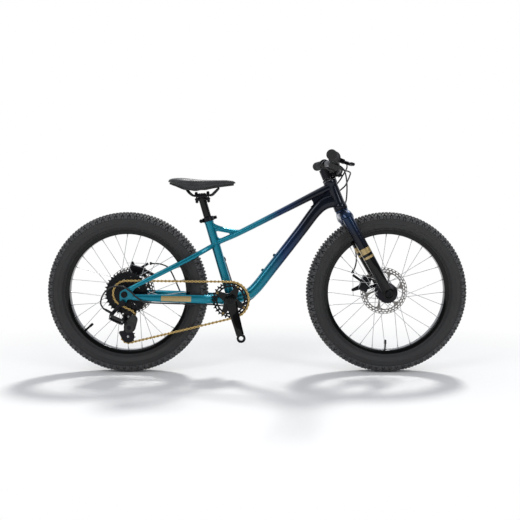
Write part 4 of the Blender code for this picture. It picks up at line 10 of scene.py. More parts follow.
import bmesh
import bpy
import numpy as np
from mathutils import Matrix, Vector

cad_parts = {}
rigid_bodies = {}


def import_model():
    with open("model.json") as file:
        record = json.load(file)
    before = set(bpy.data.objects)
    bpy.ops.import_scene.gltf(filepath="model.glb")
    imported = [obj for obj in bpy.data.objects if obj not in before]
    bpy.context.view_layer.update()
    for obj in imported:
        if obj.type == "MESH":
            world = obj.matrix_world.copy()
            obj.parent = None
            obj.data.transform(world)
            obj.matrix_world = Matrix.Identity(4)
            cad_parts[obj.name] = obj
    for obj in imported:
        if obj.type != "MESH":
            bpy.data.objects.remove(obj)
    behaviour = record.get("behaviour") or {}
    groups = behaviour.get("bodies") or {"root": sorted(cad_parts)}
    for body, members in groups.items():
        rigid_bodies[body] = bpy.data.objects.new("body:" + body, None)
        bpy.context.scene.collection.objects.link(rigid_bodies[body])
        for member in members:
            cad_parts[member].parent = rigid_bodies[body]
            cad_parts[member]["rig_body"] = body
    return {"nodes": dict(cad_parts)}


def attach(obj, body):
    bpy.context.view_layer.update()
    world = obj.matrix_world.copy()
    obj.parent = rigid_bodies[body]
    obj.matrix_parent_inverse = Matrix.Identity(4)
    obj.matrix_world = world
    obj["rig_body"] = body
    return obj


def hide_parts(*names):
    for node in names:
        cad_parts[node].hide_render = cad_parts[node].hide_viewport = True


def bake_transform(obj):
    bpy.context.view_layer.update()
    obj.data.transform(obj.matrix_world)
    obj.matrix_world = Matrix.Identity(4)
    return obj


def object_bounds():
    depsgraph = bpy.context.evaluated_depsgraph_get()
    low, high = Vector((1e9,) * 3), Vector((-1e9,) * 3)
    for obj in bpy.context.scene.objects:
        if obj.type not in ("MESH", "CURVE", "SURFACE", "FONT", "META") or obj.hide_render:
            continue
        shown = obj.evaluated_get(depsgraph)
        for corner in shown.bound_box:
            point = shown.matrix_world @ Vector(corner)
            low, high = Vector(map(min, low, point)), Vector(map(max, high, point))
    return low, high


bl_info = {
    "name": "Kids Mountain Bike Looks",
    "version": (1, 0, 0),
    "blender": (4, 5, 0),
    "location": "View3D > Sidebar > Bike",
    "description": "Builds the visible pieces and finishes of a kids mountain bike",
    "category": "Object",
}

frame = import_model()
SOLID_BOX = [list(corner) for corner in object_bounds()]

# Places of the bike, in metres: the same values as in the solids.
REAR_AXLE = np.array([-0.435, 0.0, 0.270])
FRONT_AXLE = np.array([0.435, 0.0, 0.270])
BB = np.array([-0.0876, 0.0, 0.2486])
HEAD_ANGLE = math.radians(67.5)
SEAT_ANGLE = math.radians(74.0)
STEER_UP = np.array([-math.cos(HEAD_ANGLE), 0.0, math.sin(HEAD_ANGLE)])
STEER_FORWARD = np.array([math.sin(HEAD_ANGLE), 0.0, math.cos(HEAD_ANGLE)])
FORK_OFFSET = 0.0343
FORK_LENGTH = 0.3122
HEADSET_HEIGHT = 0.008
HEAD_BOTTOM = (FRONT_AXLE - STEER_FORWARD * FORK_OFFSET
               + STEER_UP * (FORK_LENGTH + HEADSET_HEIGHT))
SEAT_UP = np.array([-math.cos(SEAT_ANGLE), 0.0, math.sin(SEAT_ANGLE)])
SEAT_FORWARD = np.array([math.sin(SEAT_ANGLE), 0.0, math.cos(SEAT_ANGLE)])
SEAT_TUBE_LENGTH = 0.2825
SEAT_TOP = BB + SEAT_UP * SEAT_TUBE_LENGTH
LEFT = np.array([0.0, 1.0, 0.0])
UP = np.array([0.0, 0.0, 1.0])
FORWARD = np.array([1.0, 0.0, 0.0])
CHAIN_LINE = 0.0468


def unit(vectors):
    """Vectors divided by their own lengths."""
    v = np.asarray(vectors, float)
    return v / np.linalg.norm(v, axis=-1, keepdims=True)


def axes_at(origin, z_axis, x_axis):
    """A placement (origin, 3x3 rows): Z along z_axis, X as near x_axis as it can be."""
    z = unit(z_axis)
    x = np.asarray(x_axis, float)
    x = unit(x - z * (x @ z))
    return np.asarray(origin, float), np.stack([x, np.cross(z, x), z])


def placed(points, place):
    """Local points carried to their placement: origin plus x, y and z shares of its rows."""
    return place[0] + np.asarray(points, float) @ place[1]


def in_steering(forward, left, up):
    """A world point by distances ahead of, left of and up the steering axis from its foot."""
    return HEAD_BOTTOM + STEER_FORWARD * forward + LEFT * left + STEER_UP * up


STEERING = axes_at(HEAD_BOTTOM, STEER_UP, STEER_FORWARD)
SEATING = axes_at(SEAT_TOP, SEAT_UP, SEAT_FORWARD)


def lateral(x, y, z):
    """A placement whose Z runs to the left across the bike and whose X is forward."""
    return axes_at((x, y, z), LEFT, FORWARD)


def facing_right(x, z):
    """A placement whose Z runs to the right across the bike from its middle plane."""
    return axes_at((x, 0, z), -LEFT, FORWARD)


def mirrored(profile):
    """A profile (radius, height) turned over about height zero, in reversed order."""
    return [(radius, -height) for radius, height in profile[::-1]]


# Shapes are pairs (vertices, list of face arrays), each face array with one corner count.


def merged(*shapes):
    """Several shapes as one, with each one's faces counted on from the last."""
    points, faces, start = [], [], 0
    for vertices, parts in shapes:
        points.append(vertices)
        faces += [part + start for part in parts]
        start += len(vertices)
    return np.concatenate(points), faces


def sheet(grid, wrap_rows=False, wrap_columns=False, caps=False):
    """A grid of points (rows, columns, 3) as quads between neighbours, wrapped where asked.

    Caps close the first and last row, each with one face.
    """
    n, m = grid.shape[:2]
    i = np.arange(n if wrap_rows else n - 1)[:, None]
    j = np.arange(m if wrap_columns else m - 1)[None, :]
    a, b = i * m + j, i * m + (j + 1) % m
    c, d = (i + 1) % n * m + (j + 1) % m, (i + 1) % n * m + j
    faces = [np.stack([a, b, c, d], axis=-1).reshape(-1, 4)]
    if caps:
        faces += [np.arange(m)[::-1][None, :], ((n - 1) * m + np.arange(m))[None, :]]
    return grid.reshape(-1, 3), faces


def turned(profile, steps, place, wrap=False):
    """A profile (radius, height) carried round the placement's Z axis.

    A point is the placement's X and Y turned by the angle, times the radius, plus Z times
    the height. A profile that starts or ends on the axis closes there with one face.
    """
    profile = np.asarray(profile, float)
    start_cap, end_cap = (not wrap and profile[k, 0] < 1e-7 for k in (0, -1))
    rows = profile[int(start_cap):len(profile) - int(end_cap)]
    angle = np.arange(steps) * 2 * np.pi / steps
    grid = np.stack([rows[:, :1] * np.cos(angle), rows[:, :1] * np.sin(angle),
                     np.broadcast_to(rows[:, 1:], (len(rows), steps))], axis=-1)
    vertices, faces = sheet(placed(grid, place), wrap_rows=wrap, wrap_columns=True)
    if start_cap:
        faces.append(np.arange(steps)[::-1][None, :])
    if end_cap:
        faces.append(((len(rows) - 1) * steps + np.arange(steps))[None, :])
    return vertices, faces


def cubic_steps(a, b, c, d, spans):
    """Steps from points b to points c on cubics, with a before and d after them.

    The slope of a cubic at b is half the way from a to c, and at c half the way from b to d.
    """
    a, b, c, d = (part[:, None, :] for part in (a, b, c, d))
    t = (np.arange(spans) / spans)[None, :, None]
    curve = 0.5 * (2 * b + (c - a) * t + (2 * a - 5 * b + 4 * c - d) * t ** 2
                   + (3 * b - a - 3 * c + d) * t ** 3)
    return curve.reshape(-1, b.shape[-1])


def curved(points, spans):
    """A smooth curve through points, with spans steps from each to the next."""
    p = np.asarray(points, float)
    padded = np.vstack([2 * p[:1] - p[1:2], p, 2 * p[-1:] - p[-2:-1]])
    return np.vstack([cubic_steps(*(padded[k:k + len(p) - 1] for k in range(4)), spans), p[-1:]])


def closed_curve(points, spans):
    """A smooth closed curve through points that run round once."""
    p = np.asarray(points, float)
    return cubic_steps(*(np.roll(p, k, axis=0) for k in (1, 0, -1, -2)), spans)


def spread(values, count):
    """Values spread evenly over count places, with straight lines between them."""
    places = np.linspace(0, len(values) - 1, count)
    return np.interp(places, np.arange(len(values)), values)


def superellipse(angle, squareness):
    """Cosine and sine of the angle, each to the power two over the squareness."""
    u, v = np.cos(angle), np.sin(angle)
    power = 2 / squareness
    return np.sign(u) * np.abs(u) ** power, np.sign(v) * np.abs(v) ** power


def oval_rings(path, widths, heights, sides, squareness, across=LEFT):
    """Superellipses square to a path as a grid of points, by their widths and heights."""
    ahead = unit(np.gradient(path, axis=0))
    wide = unit(across - ahead * (ahead @ across)[:, None])
    high = np.cross(ahead, wide)
    u, v = superellipse((np.arange(sides) + 0.5) * 2 * np.pi / sides, squareness)
    half_w = np.broadcast_to(np.asarray(widths, float) / 2, len(path))[:, None, None]
    half_h = np.broadcast_to(np.asarray(heights, float) / 2, len(path))[:, None, None]
    return (path[:, None, :] + half_w * u[None, :, None] * wide[:, None, :]
            + half_h * v[None, :, None] * high[:, None, :])


def tube_rings(points, widths, heights, spans, sides, squareness, across=LEFT):
    """The sections of a shaped tube along a smooth curve through points."""
    path = curved(points, spans)
    return oval_rings(path, spread(widths, len(path)), spread(heights, len(path)), sides,
                      squareness, across)


def tube(rings):
    """A grid of rings as a tube with closed ends."""
    return sheet(rings, wrap_columns=True, caps=True)


def oval_tube(points, widths, heights, spans, sides, squareness, across=LEFT):
    """A shaped tube along a smooth curve, with closed ends, by its sizes at the points."""
    return tube(tube_rings(points, widths, heights, spans, sides, squareness, across))


def round_tube(path, radius, sides, closed=False):
    """A round tube whose sections are carried along a path without twist.

    Each section's first direction is the last one's, made square to the path again. On a
    closed path any leftover twist falls between the last section and the first.
    """
    path = np.asarray(path, float)
    if closed:
        ahead = unit(np.roll(path, -1, axis=0) - np.roll(path, 1, axis=0))
    else:
        ahead = unit(np.gradient(path, axis=0))
    normal = np.zeros_like(path)
    normal[0] = unit(np.cross(ahead[0], LEFT if abs(ahead[0][1]) < 0.9 else UP))
    for k in range(1, len(path)):
        normal[k] = unit(normal[k - 1] - ahead[k] * (normal[k - 1] @ ahead[k]))
    other = np.cross(ahead, normal)
    angle = (np.arange(sides) * 2 * np.pi / sides)[None, :, None]
    reach = np.broadcast_to(np.asarray(radius, float), len(path))[:, None, None]
    grid = path[:, None, :] + reach * (np.cos(angle) * normal[:, None, :]
                                       + np.sin(angle) * other[:, None, :])
    return sheet(grid, wrap_rows=closed, wrap_columns=True, caps=not closed)


def drum(start, end, radius, steps=24, edge=0.0006):
    """A round bar from one point to another with its two rims softened by a small slope."""
    run = np.asarray(end, float) - np.asarray(start, float)
    length = float(np.linalg.norm(run))
    slope = [(radius - edge, 0), (radius - edge * 0.3, edge * 0.3), (radius, edge)]
    profile = [(0, 0), *slope, *[(r, length - z) for r, z in slope[::-1]], (0, length)]
    return turned(profile, steps, axes_at(start, run, UP if abs(unit(run)[2]) < 0.9 else FORWARD))


def socket_bolt(place, radii, heights, steps=20):
    """A bolt head with a socket, turned about the placement's Z.

    The radii are those of its foot, shoulder, top edge, mouth and socket floor. The heights
    are those of its foot, shoulder, top and socket floor.
    """
    foot, shoulder, top, floor = heights
    profile = [(0, foot), *zip(radii, (foot, shoulder, top, top, floor)), (0, floor)]
    return turned(profile, steps, place)


def rounded_block(size, place, centre, edge):
    """A block with round edges: a small sphere pulled apart into its eight corners.

    Each point is the inner box's corner on its own side plus the edge radius along the
    sphere's normal there.
    """
    steps = 5
    half = np.asarray(size, float) / 2
    edge = min(edge, *(half * 0.999))
    quarter = (np.arange(steps) / (steps - 1)) * np.pi / 2
    azimuth = np.concatenate([quarter + k * np.pi / 2 for k in range(4)])
    side = np.repeat(np.array([[1, 1], [-1, 1], [-1, -1], [1, -1]]), steps, axis=0)
    height = np.concatenate([quarter - np.pi / 2, quarter])
    lift = np.repeat([-1, 1], steps)
    flat, high = np.cos(height)[:, None], np.sin(height)[:, None]
    normal = np.stack(np.broadcast_arrays(flat * np.cos(azimuth), flat * np.sin(azimuth),
                                          high), axis=-1)
    corner = np.stack(np.broadcast_arrays(side[:, 0], side[:, 1], lift[:, None]), axis=-1)
    points = corner * (half - edge) + normal * edge + np.asarray(centre, float)
    return tube(placed(points, place))


def levels(rows):
    """A grid of points from rows of (flat outline, height)."""
    return np.stack([np.column_stack([line, np.full(len(line), z)]) for line, z in rows])


def slab(outline, low, high, place, edge):
    """A flat outline given thickness, with its rims drawn in by the edge width."""
    outline = np.asarray(outline, float)
    middle = outline.mean(axis=0)
    reach = np.linalg.norm(outline - middle, axis=1, keepdims=True)
    inset = outline - (outline - middle) / reach * edge
    grid = levels([(inset, low), (outline, low + edge), (outline, high - edge), (inset, high)])
    return tube(placed(grid, place))


def bar_outline(start, start_radius, end, end_radius, count):
    """The outline round two circles and their outer tangents."""
    start, end = np.asarray(start, float), np.asarray(end, float)
    gap = end - start
    lean = math.acos((start_radius - end_radius) / float(np.hypot(*gap)))
    way = math.atan2(gap[1], gap[0])
    near = way + lean + np.linspace(0, 2 * np.pi - 2 * lean, count)
    far = way - lean + np.linspace(0, 2 * lean, count)
    return np.vstack([start + start_radius * np.column_stack([np.cos(near), np.sin(near)]),
                      end + end_radius * np.column_stack([np.cos(far), np.sin(far)])])


def copies(shape, origins, turns):
    """One shape set down many times: each copy is turned by its 3x3 rows, then moved."""
    vertices, faces = shape
    moved = np.einsum("vi,kij->kvj", vertices, np.asarray(turns)) + np.asarray(
        origins, float)[:, None, :]
    shift = (np.arange(len(moved)) * len(vertices))[:, None, None]
    return moved.reshape(-1, 3), [(part[None] + shift).reshape(-1, part.shape[1]) for part in faces]


def shown(name, mesh, finish, smooth):
    """Links a mesh as one object in a finish, with edges sharp from the given angle."""
    piece = bpy.data.objects.new(name, mesh)
    bpy.context.scene.collection.objects.link(piece)
    mesh.shade_smooth()
    mesh.set_sharp_from_angle(angle=math.radians(smooth))
    mesh.materials.clear()
    mesh.materials.append(finish_named(finish))
    return piece


def put(name, shape, body, finish, replaces=(), smooth=35):
    """Makes a shape one object that rides on a body, in a finish, in place of some solids.

    Without a body the piece rides on none.
    """
    vertices, parts = shape
    mesh = bpy.data.meshes.new(name)
    mesh.vertices.add(len(vertices))
    mesh.vertices.foreach_set("co", np.ascontiguousarray(vertices, np.float32).ravel())
    corners = np.concatenate([part.ravel() for part in parts])
    counts = np.concatenate([np.full(len(part), part.shape[1]) for part in parts])
    mesh.loops.add(len(corners))
    mesh.loops.foreach_set("vertex_index", corners.astype(np.int32))
    mesh.polygons.add(len(counts))
    starts = np.concatenate([[0], np.cumsum(counts)[:-1]])
    mesh.polygons.foreach_set("loop_start", starts.astype(np.int32))
    mesh.update(calc_edges=True)
    mesh.validate()
    point_outwards(mesh)
    piece = shown(name, mesh, finish, smooth)
    if body:
        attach(piece, body)
    if replaces:
        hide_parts(*replaces)
    return piece


def point_outwards(mesh):
    """Turns each closed part of a mesh so that its faces point out of it."""
    work = bmesh.new()
    work.from_mesh(mesh)
    bmesh.ops.recalc_face_normals(work, faces=work.faces)
    work.to_mesh(mesh)
    work.free()


def refined(solid, name, finish, width, angle=35):
    """A solid's own form with its doubled corners merged and its sharp edges rounded."""
    source = frame["nodes"][solid]
    mesh = source.data.copy()
    work = bmesh.new()
    work.from_mesh(mesh)
    bmesh.ops.remove_doubles(work, verts=work.verts, dist=1e-6)
    bmesh.ops.dissolve_limit(work, angle_limit=math.radians(1.0), verts=work.verts,
                             edges=work.edges)
    work.to_mesh(mesh)
    work.free()
    piece = shown(name, mesh, finish, 30)
    bevel = piece.modifiers.new("rounded edges", "BEVEL")
    bevel.width = width
    bevel.segments = 2
    bevel.limit_method = "ANGLE"
    bevel.angle_limit = math.radians(angle)
    bevel.use_clamp_overlap = True
    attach(piece, source["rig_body"])
    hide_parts(solid)


# Finishes. Every one is worked out from the piece's own coordinates, in metres.


def linear(colour):
    """An sRGB hex colour as linear red, green, blue and full alpha."""
    parts = [int(colour[k:k + 2], 16) / 255 for k in (1, 3, 5)]
    return tuple(p / 12.92 if p <= 0.04045 else ((p + 0.055) / 1.055) ** 2.4
                 for p in parts) + (1.0,)


def node(tree, kind, inputs=None, **options):
    """Adds one node, sets its options, and fills its sockets with values or links."""
    made = tree.nodes.new(kind)
    for key, value in options.items():
        setattr(made, key, value)
    for key, value in (inputs or {}).items():
        socket = made.inputs[key]
        if isinstance(value, bpy.types.NodeSocket):
            tree.links.new(value, socket)
        else:
            socket.default_value = value
    return made


def blank(name):
    """A new material with a Principled shader: the material, its tree and the shader."""
    material = bpy.data.materials.new(name)
    material.use_nodes = True
    tree = material.node_tree
    return material, tree, tree.nodes["Principled BSDF"]


def place_of(tree):
    """The piece's own coordinates in metres, as an output socket."""
    return node(tree, "ShaderNodeTexCoord").outputs["Object"]


def grain(tree, where, size_mm, detail=3.0):
    """Soft random grain whose blotches are about size_mm across, from 0 to 1."""
    return node(tree, "ShaderNodeTexNoise", {
        "Vector": where, "Scale": 1000.0 / size_mm, "Detail": detail,
        "Roughness": 0.6}).outputs["Fac"]


def ranged(tree, amount, start, end, low=0.0, high=1.0, smooth=False):
    """An amount from start to end carried to the range from low to high, held at its ends."""
    kind = "SMOOTHSTEP" if smooth else "LINEAR"
    return node(tree, "ShaderNodeMapRange", {
        "Value": amount, "From Min": start, "From Max": end, "To Min": low,
        "To Max": high}, interpolation_type=kind).outputs["Result"]


def between(tree, amount, low, high):
    """A 0 to 1 amount carried to the range from low to high."""
    return ranged(tree, amount, 0.0, 1.0, low, high)


def calculated(tree, operation, first, second):
    """The result of a sum, product or the like of two sockets or numbers."""
    return node(tree, "ShaderNodeMath", {0: first, 1: second}, operation=operation).outputs[0]


def mixed(first, second, share):
    """A colour that share of the way from the first to the second."""
    return tuple((1 - share) * a + share * b for a, b in zip(first, second))


def relief(tree, height, depth_mm, strength=1.0):
    """A bump of the given depth, as a normal."""
    return node(tree, "ShaderNodeBump", {
        "Height": height, "Strength": strength,
        "Distance": depth_mm / 1000.0}).outputs["Normal"]


def ramp(tree, amount, stops):
    """A colour ramp over (place, linear colour) stops."""
    made = node(tree, "ShaderNodeValToRGB", {"Fac": amount})
    band = made.color_ramp
    while len(band.elements) < len(stops):
        band.elements.new(0.5)
    for element, (place, colour) in zip(band.elements, stops):
        element.position = place
        element.color = colour
    return made.outputs["Color"]


def part_of(tree, where, axis):
    """One coordinate of a position."""
    return node(tree, "ShaderNodeSeparateXYZ", {"Vector": where}).outputs[axis]


def simple(name, colour, roughness, metallic=0.0, size_mm=1.0, spread=0.08, bump_mm=0.0,
           coat=0.0, darker=0.82, ior=1.5):
    """A finish of one colour whose tone and roughness vary a little with a fine grain."""
    material, tree, shader = blank(name)
    where = place_of(tree)
    fine = grain(tree, where, size_mm)
    base = linear(colour)
    deep = tuple(part * darker for part in base[:3]) + (1.0,)
    tree.links.new(ramp(tree, fine, [(0.25, deep), (0.75, base)]), shader.inputs["Base Color"])
    tree.links.new(between(tree, fine, roughness - spread, roughness + spread),
                   shader.inputs["Roughness"])
    if bump_mm:
        tree.links.new(relief(tree, fine, bump_mm), shader.inputs["Normal"])
    shader.inputs["Metallic"].default_value = metallic
    shader.inputs["IOR"].default_value = ior
    if coat:
        shader.inputs["Coat Weight"].default_value = coat
        shader.inputs["Coat Roughness"].default_value = 0.05
    return material


def brushed(name, colour, roughness, size_mm, stretch):
    """A metal with fine lines: grain whose coordinates are scaled by the stretch."""
    material, tree, shader = blank(name)
    where = node(tree, "ShaderNodeMapping", {
        "Vector": place_of(tree), "Scale": stretch}).outputs["Vector"]
    lines = grain(tree, where, size_mm, 2.0)
    base = linear(colour)
    deep = tuple(part * 0.7 for part in base[:3]) + (1.0,)
    tree.links.new(ramp(tree, lines, [(0.3, deep), (0.7, base)]), shader.inputs["Base Color"])
    tree.links.new(between(tree, lines, roughness - 0.08, roughness + 0.10),
                   shader.inputs["Roughness"])
    tree.links.new(relief(tree, lines, 0.02, 0.5), shader.inputs["Normal"])
    shader.inputs["Metallic"].default_value = 1.0
    return material


def lacquer(name, colour_over, lift, roughness, coat_roughness):
    """Metallic paint under clear lacquer, with fine flakes that turn its tone.

    colour_over gives the paint's colour socket from the tree and the piece's coordinates.
    Each flake's tone is the colour times a factor between the two of lift, and its
    roughness lies between the two given.
    """
    material, tree, shader = blank(name)
    where = place_of(tree)
    flakes = node(tree, "ShaderNodeTexVoronoi", {"Vector": where, "Scale": 2500.0})
    glint = part_of(tree, flakes.outputs["Color"], "X")
    tone = between(tree, glint, *lift)
    grey = node(tree, "ShaderNodeCombineXYZ", {"X": tone, "Y": tone, "Z": tone}).outputs[0]
    toned = node(tree, "ShaderNodeVectorMath", {0: colour_over(tree, where), 1: grey},
                 operation="MULTIPLY").outputs[0]
    tree.links.new(toned, shader.inputs["Base Color"])
    tree.links.new(between(tree, glint, *roughness), shader.inputs["Roughness"])
    shader.inputs["Metallic"].default_value = 0.85
    shader.inputs["Coat Weight"].default_value = 0.45
    shader.inputs["Coat Roughness"].default_value = coat_roughness
    return material


def frame_paint(name):
    """Paint that fades from teal behind to dark blue at the head.

    The fade follows the piece's own X, a little further back high up than low down.
    """
    looks = bpy.context.scene.bike_looks
    teal, navy = tuple(looks.teal), tuple(looks.navy)
    middle = mixed(linear("#0a3a6e"), navy, 0.45)
    stops = [(0.0, teal), (0.28, mixed(teal, middle, 0.2)), (0.6, middle), (1.0, navy)]

    def colour(tree, where):
        """The ramp's colour by the distance along the bike plus a tenth of the height."""
        lean = calculated(tree, "MULTIPLY", part_of(tree, where, "Z"), 0.10)
        run = calculated(tree, "ADD", part_of(tree, where, "X"), lean)
        share = ranged(tree, run, looks.fade_start, looks.fade_end)
        return ramp(tree, share, stops)

    return lacquer(name, colour, lift=(0.82, 1.25), roughness=(0.26, 0.44),
                   coat_roughness=0.04)


def fork_paint(name):
    """The fork's paint: dark blue above and near black below, fading along Z."""
    stops = [(0.0, linear("#050507")), (0.5, linear("#070f20")), (1.0, linear("#0a2a4c"))]

    def colour(tree, where):
        """The ramp's colour by the height between the legs' middle and their tops."""
        return ramp(tree, ranged(tree, part_of(tree, where, "Z"), 0.40, 0.53), stops)

    return lacquer(name, colour, lift=(0.85, 1.2), roughness=(0.32, 0.32),
                   coat_roughness=0.05)


def tyre_rubber(name):
    """Dull black tyre rubber with a fine skin grain; the tread's blocks are a lighter grey, a painted
    highlight of their lit tops.
    """
    material, tree, shader = blank(name)
    where = place_of(tree)
    fine = grain(tree, where, 0.9, 4.0)
    broad = grain(tree, where, 24.0, 2.0)
    grain_mottle = calculated(tree, "MULTIPLY", fine, broad)
    # The tread's greys are lighter than the casing's: painted highlight, the knobs' tops shown lit
    # against the darker casing.
    low, high = ("#343435", "#4a4a4b") if name == "tread_rubber" else ("#1c1c1d", "#272728")
    tree.links.new(ramp(tree, grain_mottle, [(0.1, linear(low)), (0.45, linear(high))]),
                   shader.inputs["Base Color"])
    tree.links.new(between(tree, broad, 0.50, 0.66), shader.inputs["Roughness"])
    tree.links.new(relief(tree, fine, 0.06, 0.6), shader.inputs["Normal"])
    shader.inputs["IOR"].default_value = 1.52
    return material


def saddle_skin(name):
    """Synthetic leather: fine pebble cells with dull tops, nearly black."""
    material, tree, shader = blank(name)
    where = place_of(tree)
    cells = node(tree, "ShaderNodeTexVoronoi", {"Vector": where, "Scale": 900.0},
                 feature="DISTANCE_TO_EDGE").outputs["Distance"]
    pebble = ranged(tree, cells, 0.0, 0.18)
    broad = grain(tree, where, 30.0, 2.0)
    tree.links.new(ramp(tree, broad, [(0.3, linear("#232425")), (0.7, linear("#2b2c2d"))]),
                   shader.inputs["Base Color"])
    tree.links.new(between(tree, pebble, 0.58, 0.42), shader.inputs["Roughness"])
    tree.links.new(relief(tree, pebble, 0.02, 0.35), shader.inputs["Normal"])
    shader.inputs["IOR"].default_value = 1.5
    return material


# Each finish's maker and settings, with what it gives the eye.
FINISHES = {
    # Lacquered metallic paint whose tone runs from teal to navy with sharp lights.
    "frame_paint": (frame_paint, {}),
    # The same lacquer on the fork, from dark blue to near black.
    "fork_paint": (fork_paint, {}),
    # Satin gold bands under the same lacquer.
    "gold_band": (simple, dict(colour="#b79f6c", roughness=0.34, metallic=0.6, size_mm=0.6,
                               spread=0.06, coat=0.5)),
    # Gold coated steel of the chain, worn a little dark in its hollows.
    "gold_steel": (simple, dict(colour="#86744a", roughness=0.36, metallic=0.9, size_mm=0.7,
                                spread=0.10, darker=0.5)),
    # Dull rubber of the tyres' casings.
    "tyre_rubber": (tyre_rubber, {}),
    # The same rubber on the tread's blocks, in a lighter grey that is a painted highlight of the knobs'
    # lit tops, mottled by a random grain.
    "tread_rubber": (tyre_rubber, {}),
    # Soft grip rubber, duller than the tyres.
    "grip_rubber": (simple, dict(colour="#1a1a1b", roughness=0.78, size_mm=0.5, bump_mm=0.05,
                                 ior=1.52)),
    # Anodised aluminium in black: satin, with lights that follow round forms.
    "black_aluminium": (simple, dict(colour="#131416", roughness=0.34, metallic=0.95,
                                     size_mm=0.35, spread=0.06, bump_mm=0.01)),
    # Gloss black of the rims, cranks and seat post, with sharper lights.
    "gloss_black": (simple, dict(colour="#0c0d0e", roughness=0.24, metallic=0.9, size_mm=2.0,
                                 spread=0.04, coat=0.35)),
    # Blackened steel of sprockets, rails and bolts, with a worn grey tone in its grain.
    "black_steel": (simple, dict(colour="#2a2b2d", roughness=0.32, metallic=0.92, size_mm=0.6,
                                 spread=0.12, darker=0.5)),
    # Dull plastic of the shifter, pulleys, covers and clips.
    "black_plastic": (simple, dict(colour="#101112", roughness=0.50, size_mm=0.4,
                                   bump_mm=0.02, ior=1.46)),
    # Stainless steel of spokes, wires and small bolts.
    "steel": (simple, dict(colour="#6e6c6a", roughness=0.26, metallic=1.0, size_mm=0.5)),
    # Brushed stainless of the rotors.
    "rotor_steel": (brushed, dict(colour="#8f8b87", roughness=0.30, size_mm=0.6,
                                  stretch=(1.0, 0.2, 1.0))),
    # Silver aluminium of the caliper arms' caps and bolts.
    "silver_aluminium": (simple, dict(colour="#b9bbbe", roughness=0.30, metallic=1.0,
                                      size_mm=0.4)),
    # Synthetic leather of the saddle.
    "saddle_skin": (saddle_skin, {}),
    # Cable housing: smooth black plastic with a soft light.
    "housing_skin": (simple, dict(colour="#1a1a1c", roughness=0.34, spread=0.06, ior=1.48)),
}


def finish_named(name):
    """A finish by its name, made the first time it is asked for."""
    maker, settings = FINISHES[name]
    return bpy.data.materials.get(name) or maker(name, **settings)


# Wheels.

TYRE_STEPS = 144
RIM_STEPS = 160
TREAD_ROWS = (
    # Share round a step, distance to the side, radius, lean, length, width, turn.
    (0.00, 0.0060, 0.2652, 0.03, 0.0066, 0.0096, 0.00),
    (0.50, 0.0060, 0.2652, 0.03, 0.0066, 0.0096, 0.00),
    (0.00, 0.0170, 0.2632, 0.25, 0.0066, 0.0100, 0.10),
    (0.50, 0.0170, 0.2632, 0.25, 0.0066, 0.0100, -0.10),
    (0.25, 0.0256, 0.2586, 0.64, 0.0080, 0.0082, 0.10),
    (0.75, 0.0256, 0.2586, 0.64, 0.0080, 0.0082, -0.10),
    (0.00, 0.0312, 0.2532, 1.06, 0.0124, 0.0114, 0.0),
    (0.50, 0.0322, 0.2508, 1.14, 0.0058, 0.0076, 0.0),
)


SPOKES_A_SIDE = 14
SPOKE_CIRCLE = 0.029
SPOKE_REACH = 0.1965


def tyre_profile():
    """The tyre's casing as (radius, side), from one bead round the crown to the other."""
    half = np.array([(0.2040, 0.0146), (0.2075, 0.0160), (0.2095, 0.0182), (0.2120, 0.0206),
                     (0.2165, 0.0248), (0.2168, 0.0256), (0.2195, 0.0276), (0.2250, 0.0311),
                     (0.2310, 0.0334), (0.2316, 0.0340), (0.2324, 0.0341), (0.2330, 0.0338),
                     (0.2400, 0.0345), (0.2462, 0.0334), (0.2520, 0.0306), (0.2574, 0.0258),
                     (0.2612, 0.0208), (0.2636, 0.0146), (0.2648, 0.0075), (0.2652, 0.0)])
    inner = [(0.2570, -0.0150), (0.2615, 0.0), (0.2570, 0.0150)]
    return np.vstack([half, half[-2::-1] * [1, -1], inner])


def knob(length, width, height):
    """One tread block: three rectangles of four corners drawn in towards the top."""
    rows = []
    for lift, inset in ((-0.0012, -0.0006), (height - 0.0006, 0.0003), (height, 0.0010)):
        x, y = length / 2 - inset, width / 2 - inset
        rows.append([(-x, -y, lift), (x, -y, lift), (x, y, lift), (-x, y, lift)])
    return tube(np.array(rows))


def round_wheel(centre, angles, side, radius, lean, twist):
    """Places round a wheel: origins, and rows tangent, across and outward at each angle.

    Outward is the radial direction leant towards the side; the first two rows are turned
    about it by the twist.
    """
    angles = np.asarray(angles)
    zero = np.zeros_like(angles)
    radial = np.stack([np.cos(angles), zero, np.sin(angles)], axis=-1)
    tangent = np.stack([-np.sin(angles), zero, np.cos(angles)], axis=-1)
    way = 1.0 if side >= 0 else -1.0
    outward = radial * math.cos(lean) + LEFT * way * math.sin(lean)
    across = LEFT * math.cos(lean) - radial * way * math.sin(lean)
    first = tangent * math.cos(twist) + across * math.sin(twist)
    second = across * math.cos(twist) - tangent * math.sin(twist)
    origin = centre + radial * radius + LEFT * side
    return origin, np.stack([first, second, outward], axis=1)


def tread(centre, steps, knob_height):
    """Rows of tread blocks stood round a tyre's casing."""
    shapes = []
    pitch = 2 * np.pi / steps
    for share, side, radius, lean, length, width, twist in TREAD_ROWS:
        height = knob_height * (1.0 if lean < 0.5 else 0.95 if lean < 1 else 0.75)
        for way in (1, -1):
            angles = (np.arange(steps) + share) * pitch
            origins, rows = round_wheel(centre, angles, way * side, radius, lean, twist * way)
            shapes.append(copies(knob(length, width, height), origins, rows))
    return merged(*shapes)


def rim(centre):
    """A box-section rim turned from its closed profile."""
    half = [(0.2090, 0.0182), (0.2094, 0.0172), (0.2086, 0.0160), (0.2040, 0.0152),
            (0.2032, 0.0120), (0.2030, 0.0040)]
    inner = [(0.1958, 0.0070), (0.1960, 0.0122), (0.1966, 0.0142), (0.1978, 0.0155),
             (0.1996, 0.0163), (0.2040, 0.0173), (0.2080, 0.0182)]
    outer = half + mirrored(half)
    return turned(outer + mirrored(inner) + inner, RIM_STEPS, lateral(*centre), wrap=True)


